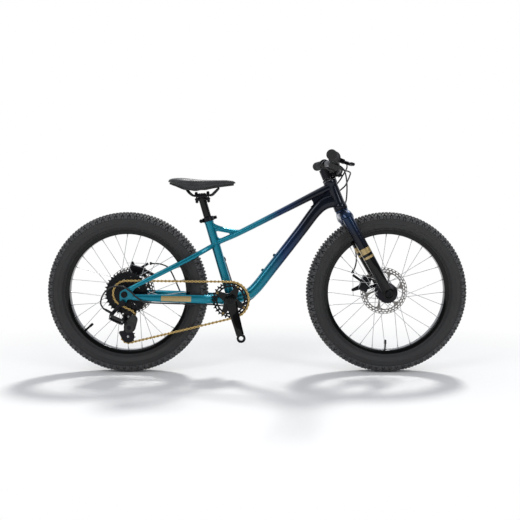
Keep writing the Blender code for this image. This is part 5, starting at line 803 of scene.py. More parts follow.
def around(radius, angle, side):
    """Points at a radius and angles about a wheel's axle, at distances to the left."""
    side = np.broadcast_to(side, angle.shape)
    return np.stack([radius * np.cos(angle), side, radius * np.sin(angle)], axis=-1)


def spoke_ends(centre, flanges):
    """Each spoke's two ends: flange and rim points, crossing three others on its side."""
    k = np.arange(SPOKES_A_SIDE)
    step = 2 * np.pi / SPOKES_A_SIDE
    leading = np.where(k % 2 == 1, 1, -1)
    ends = []
    for side, flange in zip((1, -1), flanges):
        angle = k * step + (0 if side > 0 else step / 2)
        start = around(SPOKE_CIRCLE, angle, flange + side * 0.0012 * leading)
        end = around(SPOKE_REACH, angle + 3 * step * leading,
                     side * np.where(leading > 0, 0.0045, 0.0015))
        ends += list(zip(centre + start, centre + end))
    return ends


def spokes(ends, diameter):
    """Round spokes with bent heads in the flange, each a tube along its own line."""
    shapes = []
    for start, end in ends:
        head = start - (end - start) * 0.004
        inward = LEFT * (-1.0 if start[1] > 0 else 1.0)
        path = [head + inward * 0.004, head + inward * 0.001, start, end]
        shapes.append(round_tube(path, diameter / 2, 6))
    return merged(*shapes)


def nipples(ends):
    """The small tapered barrels that hold each spoke in the rim."""
    profile = [(0, 0), (0.0014, 0), (0.0017, 0.002), (0.0019, 0.012), (0.0, 0.012)]
    shapes = []
    for start, end in ends:
        way = unit(end - start)
        shapes.append(turned(profile, 8, axes_at(end - way * 0.0115, way, LEFT)))
    return merged(*shapes)


def hub(centre, flanges, ends, rotor_y, freehub):
    """A hub turned from its profile: two flanges, a waist, and a seat for the rotor."""
    left, right = flanges
    rim_of = [(0.0325, 0.0026), (0.0340, 0.0014), (0.0340, -0.0014), (0.0325, -0.0026)]
    profile = [(0, ends[0]), (0.0085, ends[0]), (0.0095, ends[0] - 0.0015),
               (0.0170, rotor_y + 0.0035), (0.0215, rotor_y + 0.0030),
               (0.0222, rotor_y - 0.0010), (0.0215, rotor_y - 0.0030),
               (0.0200, left + 0.0045), *[(r, left + y) for r, y in rim_of],
               (0.0175, left - 0.0050), (0.0132, left - 0.0120),
               (0.0125, (left + right) / 2), (0.0132, right + 0.0120),
               (0.0175, right + 0.0050), *[(r, right + y) for r, y in rim_of]]
    if freehub:
        profile += [(0.0185, right - 0.0040), (0.0185, -CHAIN_LINE + 0.0165),
                    (0.0, -CHAIN_LINE + 0.0165)]
    else:
        profile += [(0.0165, right - 0.0045), (0.0110, right - 0.0080),
                    (0.0095, ends[1] + 0.0015), (0.0085, ends[1]), (0, ends[1])]
    return turned(profile[::-1], 48, lateral(*centre))


def cells_ring(place, inner, outer, count, hole, height, phase=0.0, sweep=0.0, corner=16):
    """A flat ring of cells, each pierced by one hole, between two radii.

    Each cell's edge and its hole are traced by the same number of points, and the flat
    between them is ruled. Holes are superellipses: (share of the width, share of the
    depth, squareness). The sweep turns outer points ahead of inner ones.
    """
    wide, deep, square = hole
    t = np.arange(corner) / corner
    side = np.floor(t * 4)
    u = np.interp(t * 4, range(5), (0, 1, 1, 0, 0))
    v = np.interp(t * 4, range(5), (0, 0, 1, 1, 0))
    round_u, round_v = superellipse(np.arctan2(v - 0.5, u - 0.5), square)
    hole_u, hole_v = 0.5 + wide / 2 * round_u, 0.5 + deep / 2 * round_v
    k = np.arange(count)[:, None]
    pitch = 2 * np.pi / count

    def lay(a, b, z):
        """Points of every cell from their shares across and out, at one height."""
        radius = inner + (outer - inner) * b
        turn = phase + (k + a) * pitch + sweep * b
        return np.stack([radius * np.cos(turn), radius * np.sin(turn),
                         np.full_like(turn, z)], axis=-1)

    low, high = -height / 2, height / 2
    rows = np.stack([lay(u, v, low), lay(u, v, high), lay(hole_u, hole_v, high),
                     lay(hole_u, hole_v, low)], axis=1)
    base = (np.arange(count) * 4 * corner)[:, None, None]
    i = np.arange(corner)
    j = (i + 1) % corner

    def ring(a, b, keep):
        """Quads between two of a cell's four rows, for the kept steps."""
        quad = np.stack([a * corner + i[keep], a * corner + j[keep], b * corner + j[keep],
                         b * corner + i[keep]], axis=-1)
        return (base + quad[None]).reshape(-1, 4)

    every = np.ones(corner, bool)
    rims = (side == 0) | (side == 2)
    faces = [np.concatenate([ring(0, 1, rims), ring(1, 2, every), ring(2, 3, every),
                             ring(3, 0, every)])]
    return weld((placed(rows.reshape(-1, 3), place), faces))


def weld(shape):
    """A shape whose points on the same micrometre are made one."""
    vertices, faces = shape
    keys = np.round(vertices / 1e-6).astype(np.int64)
    _, first, back = np.unique(keys, axis=0, return_index=True, return_inverse=True)
    back = back.reshape(-1)
    return vertices[first], [back[part] for part in faces]


def rotor(centre, y):
    """A brake rotor: a pierced band, six swept arms and a ring for its bolts."""
    place = lateral(centre[0], y, centre[2])
    thick, holes, slot = 0.0018, 36, (0.70, 0.60, 2.0)
    outer = cells_ring(place, 0.0727, 0.0800, holes, slot, thick, sweep=0.03)
    inner = cells_ring(place, 0.0655, 0.0727, holes, slot, thick, sweep=0.03, phase=math.pi / holes)
    arms = cells_ring(place, 0.0240, 0.0655, 6, (0.86, 0.90, 3.6), thick, sweep=-0.30, corner=48)
    core = cells_ring(place, 0.0165, 0.0240, 6, (0.20, 0.66, 2.0), thick, phase=0.25, corner=24)
    bolts = []
    for k in range(6):
        angle = 0.25 + (k + 0.5) * math.pi / 3
        spot = placed([0.0203 * math.cos(angle), 0.0203 * math.sin(angle), 0], place)
        bolts.append(drum(spot - LEFT * 0.0015, spot + LEFT * 0.0026, 0.0036, 12))
    return merged(outer, inner, arms, core), merged(*bolts)


def valve(centre, angle):
    """A tyre valve: a stem with a thicker cap, standing in from the rim."""
    way = np.array([math.cos(angle), 0.0, math.sin(angle)])
    profile = [(0, 0), (0.0042, 0), (0.0042, 0.006), (0.0036, 0.0065), (0.0036, 0.020),
               (0.0042, 0.0205), (0.0045, 0.0225), (0.0045, 0.0320), (0.0036, 0.0345),
               (0, 0.0350)]
    return turned(profile, 16, axes_at(np.asarray(centre) + way * 0.1975, -way, LEFT))


def axle_ends(centre, half, width):
    """An axle's bar and its two round heads, each with a small hollow drawn in."""
    radius = 0.0105
    head = [(0, half - 0.001), (radius - 0.0008, half - 0.001), (radius, half),
            (radius, half + width - 0.0012), (radius - 0.0012, half + width),
            (0.0052, half + width), (0.0046, half + width - 0.0022), (0, half + width - 0.0022)]
    bar = [(0, -half + 0.002), (0.0049, -half + 0.002), (0.0049, half - 0.002), (0, half - 0.002)]
    place = lateral(*centre)
    return merged(turned(head, 32, place), turned(mirrored(head), 32, place),
                  turned(bar, 16, place))


def build_wheel(end, centre, flanges, hub_ends, rotor_y, freehub, valve_angle):
    """Everything that turns with one rim; end is front or rear."""
    looks = bpy.context.scene.bike_looks
    body = f"{end}_wheel"
    put(f"{end}_tyre_casing", turned(tyre_profile(), TYRE_STEPS, lateral(*centre), wrap=True), body,
        "tyre_rubber", [f"{end}_tyre"])
    put(f"{end}_tyre_tread", tread(centre, looks.tread_steps, looks.knob_height), body,
        "tread_rubber")
    put(f"{end}_rim_box", rim(centre), body, "gloss_black", [f"{end}_rim"], smooth=40)
    ends = spoke_ends(centre, flanges)
    put(f"{end}_spokes", spokes(ends, looks.spoke_diameter), body, "steel")
    put(f"{end}_nipples", nipples(ends), body, "steel")
    put(f"{end}_hub_shell", hub(centre, flanges, hub_ends, rotor_y, freehub), body,
        "black_aluminium", [f"{end}_hub"])
    disc, bolts = rotor(centre, rotor_y)
    put(f"{end}_rotor_disc", disc, body, "rotor_steel", [f"{end}_rotor"], smooth=30)
    put(f"{end}_rotor_bolts", bolts, body, "steel")
    put(f"{end}_valve", valve(centre, valve_angle), body, "gloss_black")


def build_front_wheel():
    """The front wheel, with its valve at the bottom."""
    build_wheel("front", FRONT_AXLE, flanges=(0.0265, -0.0330), hub_ends=(0.0497, -0.0497),
                rotor_y=0.0397, freehub=False, valve_angle=-math.pi / 2)


def build_rear_wheel():
    """The rear wheel, whose hub ends beside the cassette on its right."""
    build_wheel("rear", REAR_AXLE, flanges=(0.0350, -0.0240), hub_ends=(0.0707, -0.0300),
                rotor_y=0.0557, freehub=True, valve_angle=math.radians(221.5))


# Frame.

SEAT_TUBE_RADIUS = 0.0150
HEAD_TUBE_RADIUS = 0.0200
SHELL_RADIUS = 0.0205
TOP_TUBE = [(-0.1480, 0, 0.4320), (-0.110, 0, 0.448), (-0.055, 0, 0.4727), (0.080, 0, 0.541),
            (0.217, 0, 0.6107), (0.257, 0, 0.627)]
DOWN_TUBE = [(-0.0876, 0, 0.2486), (-0.047, 0, 0.2570), (-0.010, 0, 0.2780),
             (0.0492, 0, 0.3512), (0.1445, 0, 0.4740), (0.1940, 0, 0.5400), (0.2280, 0, 0.5705),
             (0.274, 0, 0.5820)]
CHAINSTAY = [(-0.0876, -0.020, 0.2486), (-0.122, -0.025, 0.2490), (-0.150, -0.0335, 0.2495),
             (-0.178, -0.0435, 0.2505), (-0.207, -0.0485, 0.2520), (-0.275, -0.0570, 0.2545),
             (-0.345, -0.066, 0.2575), (-0.4085, -0.0745, 0.2612)]
DOWN_WIDTHS = (0.046, 0.044, 0.040, 0.036, 0.036, 0.036, 0.036, 0.034)
BRACE = [(-0.030, 0, 0.4840), (-0.055, 0, 0.4745), (-0.080, 0, 0.4750), (-0.110, 0, 0.4815),
         (-0.145, 0, 0.4905), (-0.166, 0, 0.4955)]
SEATSTAY = [(-0.1405, -0.006, 0.4325), (-0.165, -0.026, 0.4180), (-0.190, -0.040, 0.4040),
            (-0.225, -0.0495, 0.3850), (-0.300, -0.061, 0.3470), (-0.375, -0.0705, 0.3095),
            (-0.4165, -0.0745, 0.2885)]


def weld_bead(rings, point, axis, radius, thickness=0.0017):
    """A weld round the line where a tube's sides first meet a round tube's surface.

    Down each of the tube's sides, the distance from the other's axis is followed to where
    it passes the other's radius. The bead is a thin tube on those spots, whose radius
    swells and shrinks as its ripples.
    """
    offset = rings - np.asarray(point, float)
    axis = unit(axis)
    gap = np.linalg.norm(offset - (offset @ axis)[..., None] * axis, axis=-1) - radius
    crossing = (gap[:-1] * gap[1:]) <= 0
    row = np.where(crossing.any(axis=0), crossing.argmax(axis=0), 0)
    column = np.arange(rings.shape[1])
    a, b = gap[row, column], gap[row + 1, column]
    share = np.clip(a / np.where(np.abs(a - b) < 1e-9, 1e-9, a - b), 0, 1)[:, None]
    spots = rings[row, column] * (1 - share) + rings[row + 1, column] * share
    spots = spots[crossing.any(axis=0)]
    dense = closed_curve(spots, 4)
    length = np.linalg.norm(np.roll(dense, -1, axis=0) - dense, axis=1).cumsum()
    waves = max(8, round(length[-1] / 0.0024))
    reach = thickness * (1 + 0.16 * np.sin(length / length[-1] * waves * 2 * np.pi))
    return round_tube(dense, reach, 8, closed=True)


def head_tube():
    """The head tube with its flared ends, hollow, about the steering axis."""
    profile = [(0.0225, 0.0), (0.0228, 0.0010), (0.0228, 0.0100), (0.0222, 0.0125),
               (0.0204, 0.0165), (HEAD_TUBE_RADIUS, 0.0220), (HEAD_TUBE_RADIUS, 0.0780),
               (0.0204, 0.0835), (0.0222, 0.0875), (0.0228, 0.0900), (0.0228, 0.0990),
               (0.0225, 0.1000), (0.0150, 0.1000), (0.0150, 0.0)]
    return turned(profile, 64, STEERING, wrap=True)


def headset_rings():
    """The bearing rings above and below the head tube."""
    low = [(0.0150, -0.0050), (0.0215, -0.0052), (0.0226, -0.0040), (0.0229, -0.0006),
           (0.0150, -0.0004)]
    high = [(0.0150, 0.1002), (0.0230, 0.1004), (0.0231, 0.1030), (0.0222, 0.1048),
            (0.0195, 0.1068), (0.0150, 0.1070)]
    return merged(*[turned(ring, 64, STEERING, wrap=True) for ring in (low, high)])


def bent(start, corner, end, steps):
    """Points on the curve from start to end that is tangent to both lines to the corner."""
    t = np.linspace(0, 1, steps)[:, None]
    return start * (1 - t) ** 2 + 2 * corner * t * (1 - t) + end * t ** 2


def rounded_corners(corners, radius):
    """An outline whose corners are drawn as short curves tangent to both sides."""
    corners = np.asarray(corners, float)
    before = corners + unit(np.roll(corners, 1, axis=0) - corners) * radius
    after = corners + unit(np.roll(corners, -1, axis=0) - corners) * radius
    return np.vstack([bent(*three, 8) for three in zip(before, corners, after)])


def crowned_ring(outer, inner, thick, place):
    """A flat ring whose hole has a rounded lip: rows from the rim down to the hole."""
    rows = [(0.0, 1.0), (0.80, 1.0), (0.94, 0.86), (1.0, 0.50)]
    path = rows + [(share, -high) for share, high in rows[::-1]]
    grid = levels([(outer * (1 - share) + inner * share, high * thick / 2) for share, high in path])
    return sheet(placed(grid, place), wrap_rows=True, wrap_columns=True)


def seat_web():
    """The filled corners between seat tube, top tube and brace, round a three-sided gap."""
    place = facing_right(0, 0)
    outer = rounded_corners([(-0.1580, 0.4930), (-0.0520, 0.4740), (-0.1440, 0.4360)], 0.004)
    inner = rounded_corners([(-0.1420, 0.4775), (-0.0860, 0.4672), (-0.1290, 0.4490)], 0.0135)
    corner = bent(*np.array([(-0.1660, 0.5225), (-0.1530, 0.5000), (-0.1130, 0.4895)]), 12)
    fillet = slab(np.vstack([corner, [[-0.1130, 0.4830], [-0.1660, 0.4830]]]), -0.0095,
                  0.0095, place, 0.0035)
    return merged(crowned_ring(outer, inner, 0.0150, place), fillet)


def head_web():
    """The web between top and down tube at the head, with its hollow edge."""
    edge = curved([(0.1500, 0.5040), (0.1660, 0.5285), (0.1800, 0.5500), (0.1890, 0.5660),
                   (0.1895, 0.5770), (0.1800, 0.5880)], 6)
    outline = np.vstack([[[0.2600, 0.5700]], edge, [[0.2600, 0.6320]]])
    return slab(outline, -0.0105, 0.0105, facing_right(0, 0), 0.0045)


def bottle_boss(foot, outward):
    """A bottle cage bolt: a low boss, and a button head with a round hollow."""
    boss = [(0, -0.004), (0.0056, -0.004), (0.0056, 0.0006), (0.0050, 0.0012), (0, 0.0012)]
    place = axes_at(foot, outward, LEFT)
    head = [(0, 0.0008), (0.0046, 0.0009), (0.0046, 0.0016), (0.0040, 0.0034),
            (0.0030, 0.0041), (0.0021, 0.0042), (0.0019, 0.0022), (0, 0.0022)]
    return turned(boss, 24, place), turned(head, 24, place)


def build_frame():
    """The welded frame: shaped tubes, stays, beads, dropouts and small fittings."""
    body, paint = "frame", "frame_paint"
    put("head_tube_flared", head_tube(), body, paint, ["head_tube"])
    put("headset_rings", headset_rings(), body, "black_aluminium")

    top = tube_rings(TOP_TUBE, [.024, .026, .028, .032, .036, .036],
                     [.018, .018, .019, .021, .026, .030], 10, 48, 2.3)
    brace = tube_rings(BRACE, [.022] * 6, [.0145] * 6, 8, 40, 2.2)
    put("top_tube_shaped", merged(tube(top), tube(brace), seat_web(), head_web()), body,
        paint, ["top_tube"])
    down = tube_rings(DOWN_TUBE, DOWN_WIDTHS,
                      [.036, .0375, .0385, .0380, .0380, .0400, .045, .048], 10, 56, 2.5)
    put("down_tube_shaped", tube(down), body, paint, ["down_tube"])
    seat = [(0, -0.2780), (SEAT_TUBE_RADIUS, -0.2780), (SEAT_TUBE_RADIUS, -0.0200),
            (0.0158, -0.0160), (0.0158, 0.0000), (0.0129, 0.0000), (0.0129, -0.0500),
            (0, -0.0500)]
    put("seat_tube_butted", turned(seat, 56, SEATING), body, paint, ["seat_tube"])
    end = [(0.0206, 0.0353), (0.0200, 0.0365), (0.0175, 0.0365)]
    put("bottom_bracket_sleeve", turned(mirrored(end) + end, 64, lateral(*BB), wrap=True),
        body, paint, ["bottom_bracket_shell"])

    sides = [np.array([1, side, 1]) for side in (1, -1)]
    chain_rings = [chainstay_rings(side, 8, 36) for side in sides]
    seat_rings = [tube_rings(np.array(SEATSTAY) * side,
                             [.013, .0135, .0135, .0135, .0135, .013, .013],
                             [.015, .016, .016, .016, .0155, .015, .0145], 8, 32, 2.6)
                  for side in sides]
    for name, rings, spot, radius in (
            ("chainstays", chain_rings, (-0.140, 0.030, 0.2493), 0.008),
            ("seatstays", seat_rings, (-0.179, 0.034, 0.4095), 0.0065)):
        bridge = drum(np.array(spot) * [1, -1, 1], spot, radius, 24)
        put(f"{name}_shaped", merged(bridge, *[tube(r) for r in rings]), body, paint, [name])
    put("weld_beads", weld_beads(top, brace, down, chain_rings, seat_rings), body, paint, smooth=60)
    refined("dropout_right", "dropout_right_forged", paint, width=0.0010)
    refined("dropout_left", "dropout_left_forged", paint, width=0.0010)
    build_bottle_bolts()
    cup = [(0.0130, 0.0410), (0.0178, 0.0412), (0.0190, 0.0402), (0.0190, 0.0372),
           (0.0172, 0.0366), (0.0172, 0.0100), (0.0125, 0.0100), (0.0125, 0.0400)]
    put("bearing_cups", merged(*[turned(profile, 48, lateral(*BB), wrap=True)
                                 for profile in (cup, mirrored(cup))]), body,
        "black_aluminium", ["bottom_bracket"])
    put("rear_axle_ends", axle_ends(REAR_AXLE, 0.0783, 0.0055), body, "black_steel", ["rear_axle"])
    put("chainstay_band", chainstay_band(), body, "gold_band", smooth=25)


def weld_beads(top, brace, down, chain_rings, seat_rings):
    """The beads where tubes meet, and one round the seat tube's foot on the shell."""
    head = (HEAD_BOTTOM, STEER_UP, HEAD_TUBE_RADIUS)
    seat = (BB, SEAT_UP, SEAT_TUBE_RADIUS)
    shell = (BB, LEFT, SHELL_RADIUS)
    beads = [weld_bead(top[::-1], *head), weld_bead(down[::-1], *head, 0.0019),
             weld_bead(top, *seat), weld_bead(brace[::-1], *seat),
             weld_bead(down, *shell, 0.0019)]
    beads += [weld_bead(r, *seat, 0.0014) for r in seat_rings]
    beads += [weld_bead(r, *shell, 0.0014) for r in chain_rings]
    angle = np.arange(64) * 2 * np.pi / 64
    ring = np.stack([0.0152 * np.cos(angle), 0.0152 * np.sin(angle),
                     np.full(64, SHELL_RADIUS - SEAT_TUBE_LENGTH)], axis=-1)
    ripple = 0.0016 * (1 + 0.15 * np.sin(angle * 40))
    return merged(*beads, round_tube(placed(ring, SEATING), ripple, 8, closed=True))


def build_bottle_bolts():
    """The two bosses and bolts on the down tube's upper side."""
    outward = np.cross(unit(np.array(DOWN_TUBE[4]) - np.array(DOWN_TUBE[3])), LEFT)
    spots = [np.array(spot) - outward * 0.0038
             for spot in ((0.0155, 0, 0.3472), (0.0547, 0, 0.3974))]
    bosses, heads = zip(*[bottle_boss(spot, outward) for spot in spots])
    put("bottle_bosses", merged(*bosses), "frame", "frame_paint")
    put("bottle_bolts", merged(*heads), "frame", "black_steel")


def chainstay_rings(side, spans, sides):
    """One chainstay's sections: the right one, its path multiplied by side."""
    return tube_rings(np.array(CHAINSTAY) * side,
                      [.018, .016, .013, .0115, .012, .0135, .013, .013],
                      [.034, .031, .029, .0285, .028, .027, .024, .0205], spans, sides, 2.6)


def chainstay_band():
    """A plain gold band on the outside of the right chainstay, a hair off its paint.

    It is the chainstay's own outer skin between two places along it, moved a little out
    and in across the bike: the section's points that face out, short of top and bottom.
    """
    rings = chainstay_rings(1, 24, 96)
    x = rings.mean(axis=1)[:, 0]
    rows = rings[(x < -0.2185) & (x > -0.3165)]
    off = rows - rows.mean(axis=1, keepdims=True)
    keep = np.flatnonzero((off[0, :, 1] < 0) & (np.abs(off[0, :, 2]) < 0.0092))
    skin = rows[:, keep[np.argsort(off[0, keep, 2])]]
    lift = LEFT * 0.0004
    return tube(np.concatenate([skin - lift, (skin + lift)[:, ::-1]], axis=1))


# Fork and cockpit.

BAR_CLAMP = in_steering(0.0325, 0, 0.1222)
FORK_FOOT = 0.0555
LEG_DIAMETER = 0.036
BAR_END, GRIP_END, SWEEP_START = 0.290, 0.122, 0.038
LEVER_SPOT = 0.156


def fork_leg_rings(side, sides=48, count=40):
    """A fork leg's sections: round above, drawn in and flattened towards the dropout.

    The leg runs straight from its top to its foot, and its side distance eases from the
    top's to the foot's as the share past the bend, to the power 1.6.
    """
    top = in_steering(0.0015, side * 0.066, -0.034)
    foot = FRONT_AXLE + LEFT * side * FORK_FOOT
    share = np.linspace(0, 0.955, count)
    ease = np.clip((share - 0.62) / 0.33, 0, 1) ** 1.6
    path = top + (foot - top) * share[:, None]
    path[:, 1] = top[1] + (foot[1] - top[1]) * ease
    stops = (0, 0.62, 0.80, 0.885, 0.95)
    widths = np.interp(share, stops, [1, 0.97, 0.80, 0.56, 0.31]) * LEG_DIAMETER
    heights = np.interp(share, stops, [1, 1, 0.95, 0.95, 0.90]) * LEG_DIAMETER
    return oval_rings(path, widths, heights, sides, 2.1)


def fork_crown():
    """The crown: a shaped bridge over the tyre from leg to leg, and its round neck."""
    half = [(0, 0, -0.021), (0, 0.025, -0.0215), (0.001, 0.047, -0.027),
            (0.0015, 0.063, -0.036), (0.0015, 0.0735, -0.0420)]
    points = [in_steering(f, -l, u) for f, l, u in half[:0:-1]]
    points += [in_steering(*p) for p in half]
    widths = [0.026, 0.043, 0.043, 0.042, 0.042]
    heights = [0.024, 0.040, 0.034, 0.027, 0.025]
    bridge = oval_tube(points, widths + widths[-2::-1], heights + heights[-2::-1], 8, 48, 2.4,
                       across=STEER_FORWARD)
    neck = [(0, -0.020), (0.0212, -0.020), (0.0208, -0.0130), (0.0215, -0.0060),
            (0.0222, -0.0056), (0.0222, -0.0052), (0, -0.0052)]
    return merged(bridge, turned(neck, 48, STEERING))


def leg_band(side, start, end):
    """A band round a fork leg between two heights, a hair off its paint."""
    lift = 0.00035
    rings = fork_leg_rings(side, 64, 240)
    middle = rings.mean(axis=1)
    rows = rings[(middle[:, 2] < start) & (middle[:, 2] > end)]
    centre = rows.mean(axis=1, keepdims=True)
    off = rows - centre
    length = np.linalg.norm(off, axis=2, keepdims=True)
    outer = centre + off * (1 + lift / length)
    inner = centre + off * (1 - lift / length)
    return sheet(np.concatenate([outer, inner[::-1]], axis=0), wrap_rows=True, wrap_columns=True)


def fork_foot(side):
    """A fork's dropout: a round boss about the axle with a rim and a hollow face."""
    place = axes_at(FRONT_AXLE + LEFT * side * FORK_FOOT, LEFT * side, FORWARD)
    profile = [(0, -0.0054), (0.0178, -0.0054), (0.0190, -0.0042), (0.0190, 0.0040),
               (0.0178, 0.0054), (0.0150, 0.0056), (0.0142, 0.0046), (0.0122, 0.0044),
               (0, 0.0044)]
    return turned(profile, 48, place)


def build_fork():
    """Crown, legs, bands, feet and the front axle."""
    body = "steering"
    put("fork_crown_forged", fork_crown(), body, "fork_paint", ["fork_crown"], smooth=50)
    for side, name in ((-1, "right"), (1, "left")):
        put(f"fork_leg_{name}_shaped", tube(fork_leg_rings(side)), body, "fork_paint",
            [f"fork_leg_{name}"], smooth=50)
        put(f"fork_foot_{name}", fork_foot(side), body, "gloss_black", smooth=30)
        put(f"fork_band_{name}", merged(leg_band(side, 0.4225, 0.4045),
                                        leg_band(side, 0.3980, 0.3900)), body, "gold_band",
            smooth=50)
    put("front_axle_ends", axle_ends(FRONT_AXLE, 0.0605, 0.0060), body, "black_steel",
        ["front_axle"])


def bar_centre(y):
    """The handlebar's centre line at distances y to the left: rising, then swept back."""
    y = np.asarray(y, float)
    past = np.maximum(np.abs(y) - SWEEP_START, 0)
    span = np.minimum(past / (GRIP_END - SWEEP_START), 1)
    rise = 0.031 * span * span * (3 - 2 * span)
    back = 0.0424 * past / (BAR_END - SWEEP_START)
    return BAR_CLAMP + np.stack([-back, y, rise], axis=-1)


def perch_axes(side, offset):
    """Where a lever sits on the bar: its point and its ahead, outward and up directions."""
    outward = unit(bar_centre(side * BAR_END) - bar_centre(side * GRIP_END))
    ahead = np.array([math.cos(math.radians(23)), 0, -math.sin(math.radians(23))])
    ahead = unit(ahead - outward * (ahead @ outward))
    up = np.cross(ahead, outward)
    up = up if up[2] > 0 else -up
    return bar_centre(side * offset), ahead, outward, up


def grip(side):
    """A ribbed grip turned about the bar, with a flange at its inner end.

    Its radius is a base, plus the root of a raised cosine for the ribs, lower over the
    middle of its length, plus half a sine wave for its belly.
    """
    start = bar_centre(side * BAR_END)
    way = unit(bar_centre(side * GRIP_END) - start)
    length = 0.116
    z = np.linspace(0.006, length - 0.006, 240)
    wave = 0.5 + 0.5 * np.cos(z / length * 2 * np.pi * 26)
    pads = np.where((z > length * 0.38) & (z < length * 0.62), 0.35, 1.0)
    radius = 0.0150 + 0.0009 * np.sqrt(wave) * pads + 0.0004 * np.sin(z / length * np.pi)
    profile = [(0, -0.003), (0.0130, -0.003), (0.0152, -0.0018), (0.0160, 0.0002), (0.0160, 0.0040)]
    profile += list(np.column_stack([radius, z]))
    profile += [(0.0165, length - 0.0045), (0.0193, length - 0.0035), (0.0195, length - 0.0020),
                (0.0188, length), (0.0112, length), (0.0112, length - 0.01), (0, length - 0.01)]
    return turned(profile, 48, axes_at(start, way, UP))


def lever_blade(side):
    """A two-finger brake lever: a flat blade along its route, hooked at its tip."""
    origin, ahead, outward, up = perch_axes(side, LEVER_SPOT)
    route = [(0.0255, -0.004), (0.042, 0.004), (0.055, 0.024), (0.060, 0.058),
             (0.0625, 0.088), (0.0660, 0.0985)]
    points = [origin + ahead * f + outward * o for f, o in route]
    blade = oval_tube(points, [0.012, 0.0115, 0.0102, 0.0096, 0.0098, 0.0095],
                      [0.0115, 0.011, 0.0105, 0.0120, 0.0130, 0.0115], 8, 28, 3.0, up)
    pivot = origin + ahead * 0.025 + outward * -0.004
    half = [(0, -0.0052), (0.0035, -0.0048), (0.0056, -0.0028)]
    ball = turned([*half, (0.0062, 0), *mirrored(half)], 20,
                  axes_at(origin + ahead * 0.0662 + outward * 0.0990, up, outward))
    hub_part = drum(pivot - up * 0.0040, pivot + up * 0.0040, 0.0062, 28)
    return merged(blade, ball, hub_part)


def build_cockpit():
    """Bar, grips, stem, spacer, levers, perches and shifter."""
    body = "steering"
    y = np.linspace(-BAR_END, BAR_END, 179)
    radius = np.interp(np.abs(y), (0.026, 0.062), (0.0159, 0.0111))
    put("riser_bar", round_tube(bar_centre(y), radius, 40), body, "black_aluminium",
        ["handlebar"], smooth=50)
    for side, name in ((-1, "right"), (1, "left")):
        put(f"grip_{name}_ribbed", grip(side), body, "grip_rubber", [f"grip_{name}"], smooth=50)
    spacer = [(0.0150, 0.1003), (0.0226, 0.1003), (0.0226, 0.1022), (0.0208, 0.1045),
              (0.0190, 0.1056), (0.0186, 0.1077), (0.0150, 0.1077)]
    put("headset_cone", turned(spacer, 48, STEERING, wrap=True), body, "black_aluminium",
        ["headset_spacer"])
    refined("stem", "stem_forged", "black_aluminium", width=0.0016, angle=30)
    refined("stem_faceplate", "stem_faceplate_forged", "black_aluminium", width=0.0012, angle=30)
    cap = [(0, 0.1440), (0.0150, 0.1440), (0.0168, 0.1448), (0.0168, 0.1460),
           (0.0155, 0.1470), (0.0060, 0.1473), (0.0054, 0.1466), (0, 0.1466)]
    put("top_cap", turned(cap, 40, STEERING), body, "black_aluminium")
    put("top_cap_bolt", socket_bolt(STEERING, (0.0050, 0.0048, 0.0036, 0.0026, 0.0022),
                                    (0.1466, 0.1480, 0.1488, 0.1474), 24), body, "steel")
    spots = [BAR_CLAMP + STEER_FORWARD * 0.0006 + STEER_UP * lift + LEFT * side
             for side in (-0.0154, 0.0154) for lift in (-0.0205, 0.0205)]
    bolts = [socket_bolt(axes_at(spot, STEER_FORWARD, LEFT),
                         (0.0036, 0.0036, 0.0031, 0.0019, 0.0017),
                         (0.006, 0.0104, 0.0110, 0.0088)) for spot in spots]
    put("faceplate_bolts", merged(*bolts), body, "black_steel")
    for side, name in ((-1, "right"), (1, "left")):
        refined(f"brake_perch_{name}", f"brake_perch_{name}_cast", "black_aluminium", width=0.0007)
        put(f"brake_lever_{name}_blade", lever_blade(side), f"brake_lever_{name}",
            "black_aluminium", [f"brake_lever_{name}"], smooth=45)
    refined("shifter_body", "shifter_shell", "black_plastic", width=0.0012)
    refined("shift_lever", "shift_paddle", "black_plastic", width=0.0009)


# Drivetrain.

PITCH = 0.0127
COG_TEETH = (11, 13, 15, 18, 21, 24, 30, 36)
COG_IN_USE = 4
COG_STEP = 0.0048
COG_THICKNESS = 0.0018
RING_TEETH = 30
PULLEY_TEETH = 11
CRANK_LEAN = math.radians(15.7)
GUIDE = np.array([-0.4269, 0.1936])
TENSION = np.array([-0.4289, 0.1269])
CAGE_PIVOT = np.array([-0.4203, 0.1606])
LINK_START = np.array([-0.4777, -0.0880, 0.2011])
LINK_RUN = np.array([0.0377, 0.0, -0.0175])


def side_place(y, centre=(0, 0)):
    """A placement for outlines drawn in the side view: local X forward, local Y up."""
    return axes_at((centre[0], y, centre[1]), -LEFT, FORWARD)


def direction(angle):
    """The unit vector at an angle in the side view, and the one a quarter turn on."""
    way = np.array([math.cos(angle), math.sin(angle)])
    return way, np.array([-way[1], way[0]])


def pitch_radius(teeth):
    """The circle through a sprocket's chain pins."""
    return PITCH / (2 * math.sin(math.pi / teeth))


def tooth_ring(centre, teeth, pin_angle, tip):
    """A sprocket's toothed outline: round valleys under the pins and narrow tips between.

    Seven points serve each tooth: the valley's arc about its pin, then the tooth's flank,
    its tip and the next flank.
    """
    radius = pitch_radius(teeth)
    half = np.pi / teeth
    valley, half_tip = 0.0041, 0.0009
    points = []
    for k in range(teeth):
        angle = pin_angle + k * 2 * half
        way, across = direction(angle)
        points += [centre + way * radius + valley * (across * math.sin(a) - way * math.cos(a))
                   for a in np.linspace(-0.9, 0.9, 5)]
        way, across = direction(angle + half)
        top = centre + way * (radius + tip)
        points += [top - across * half_tip, top + across * half_tip]
    return np.array(points)


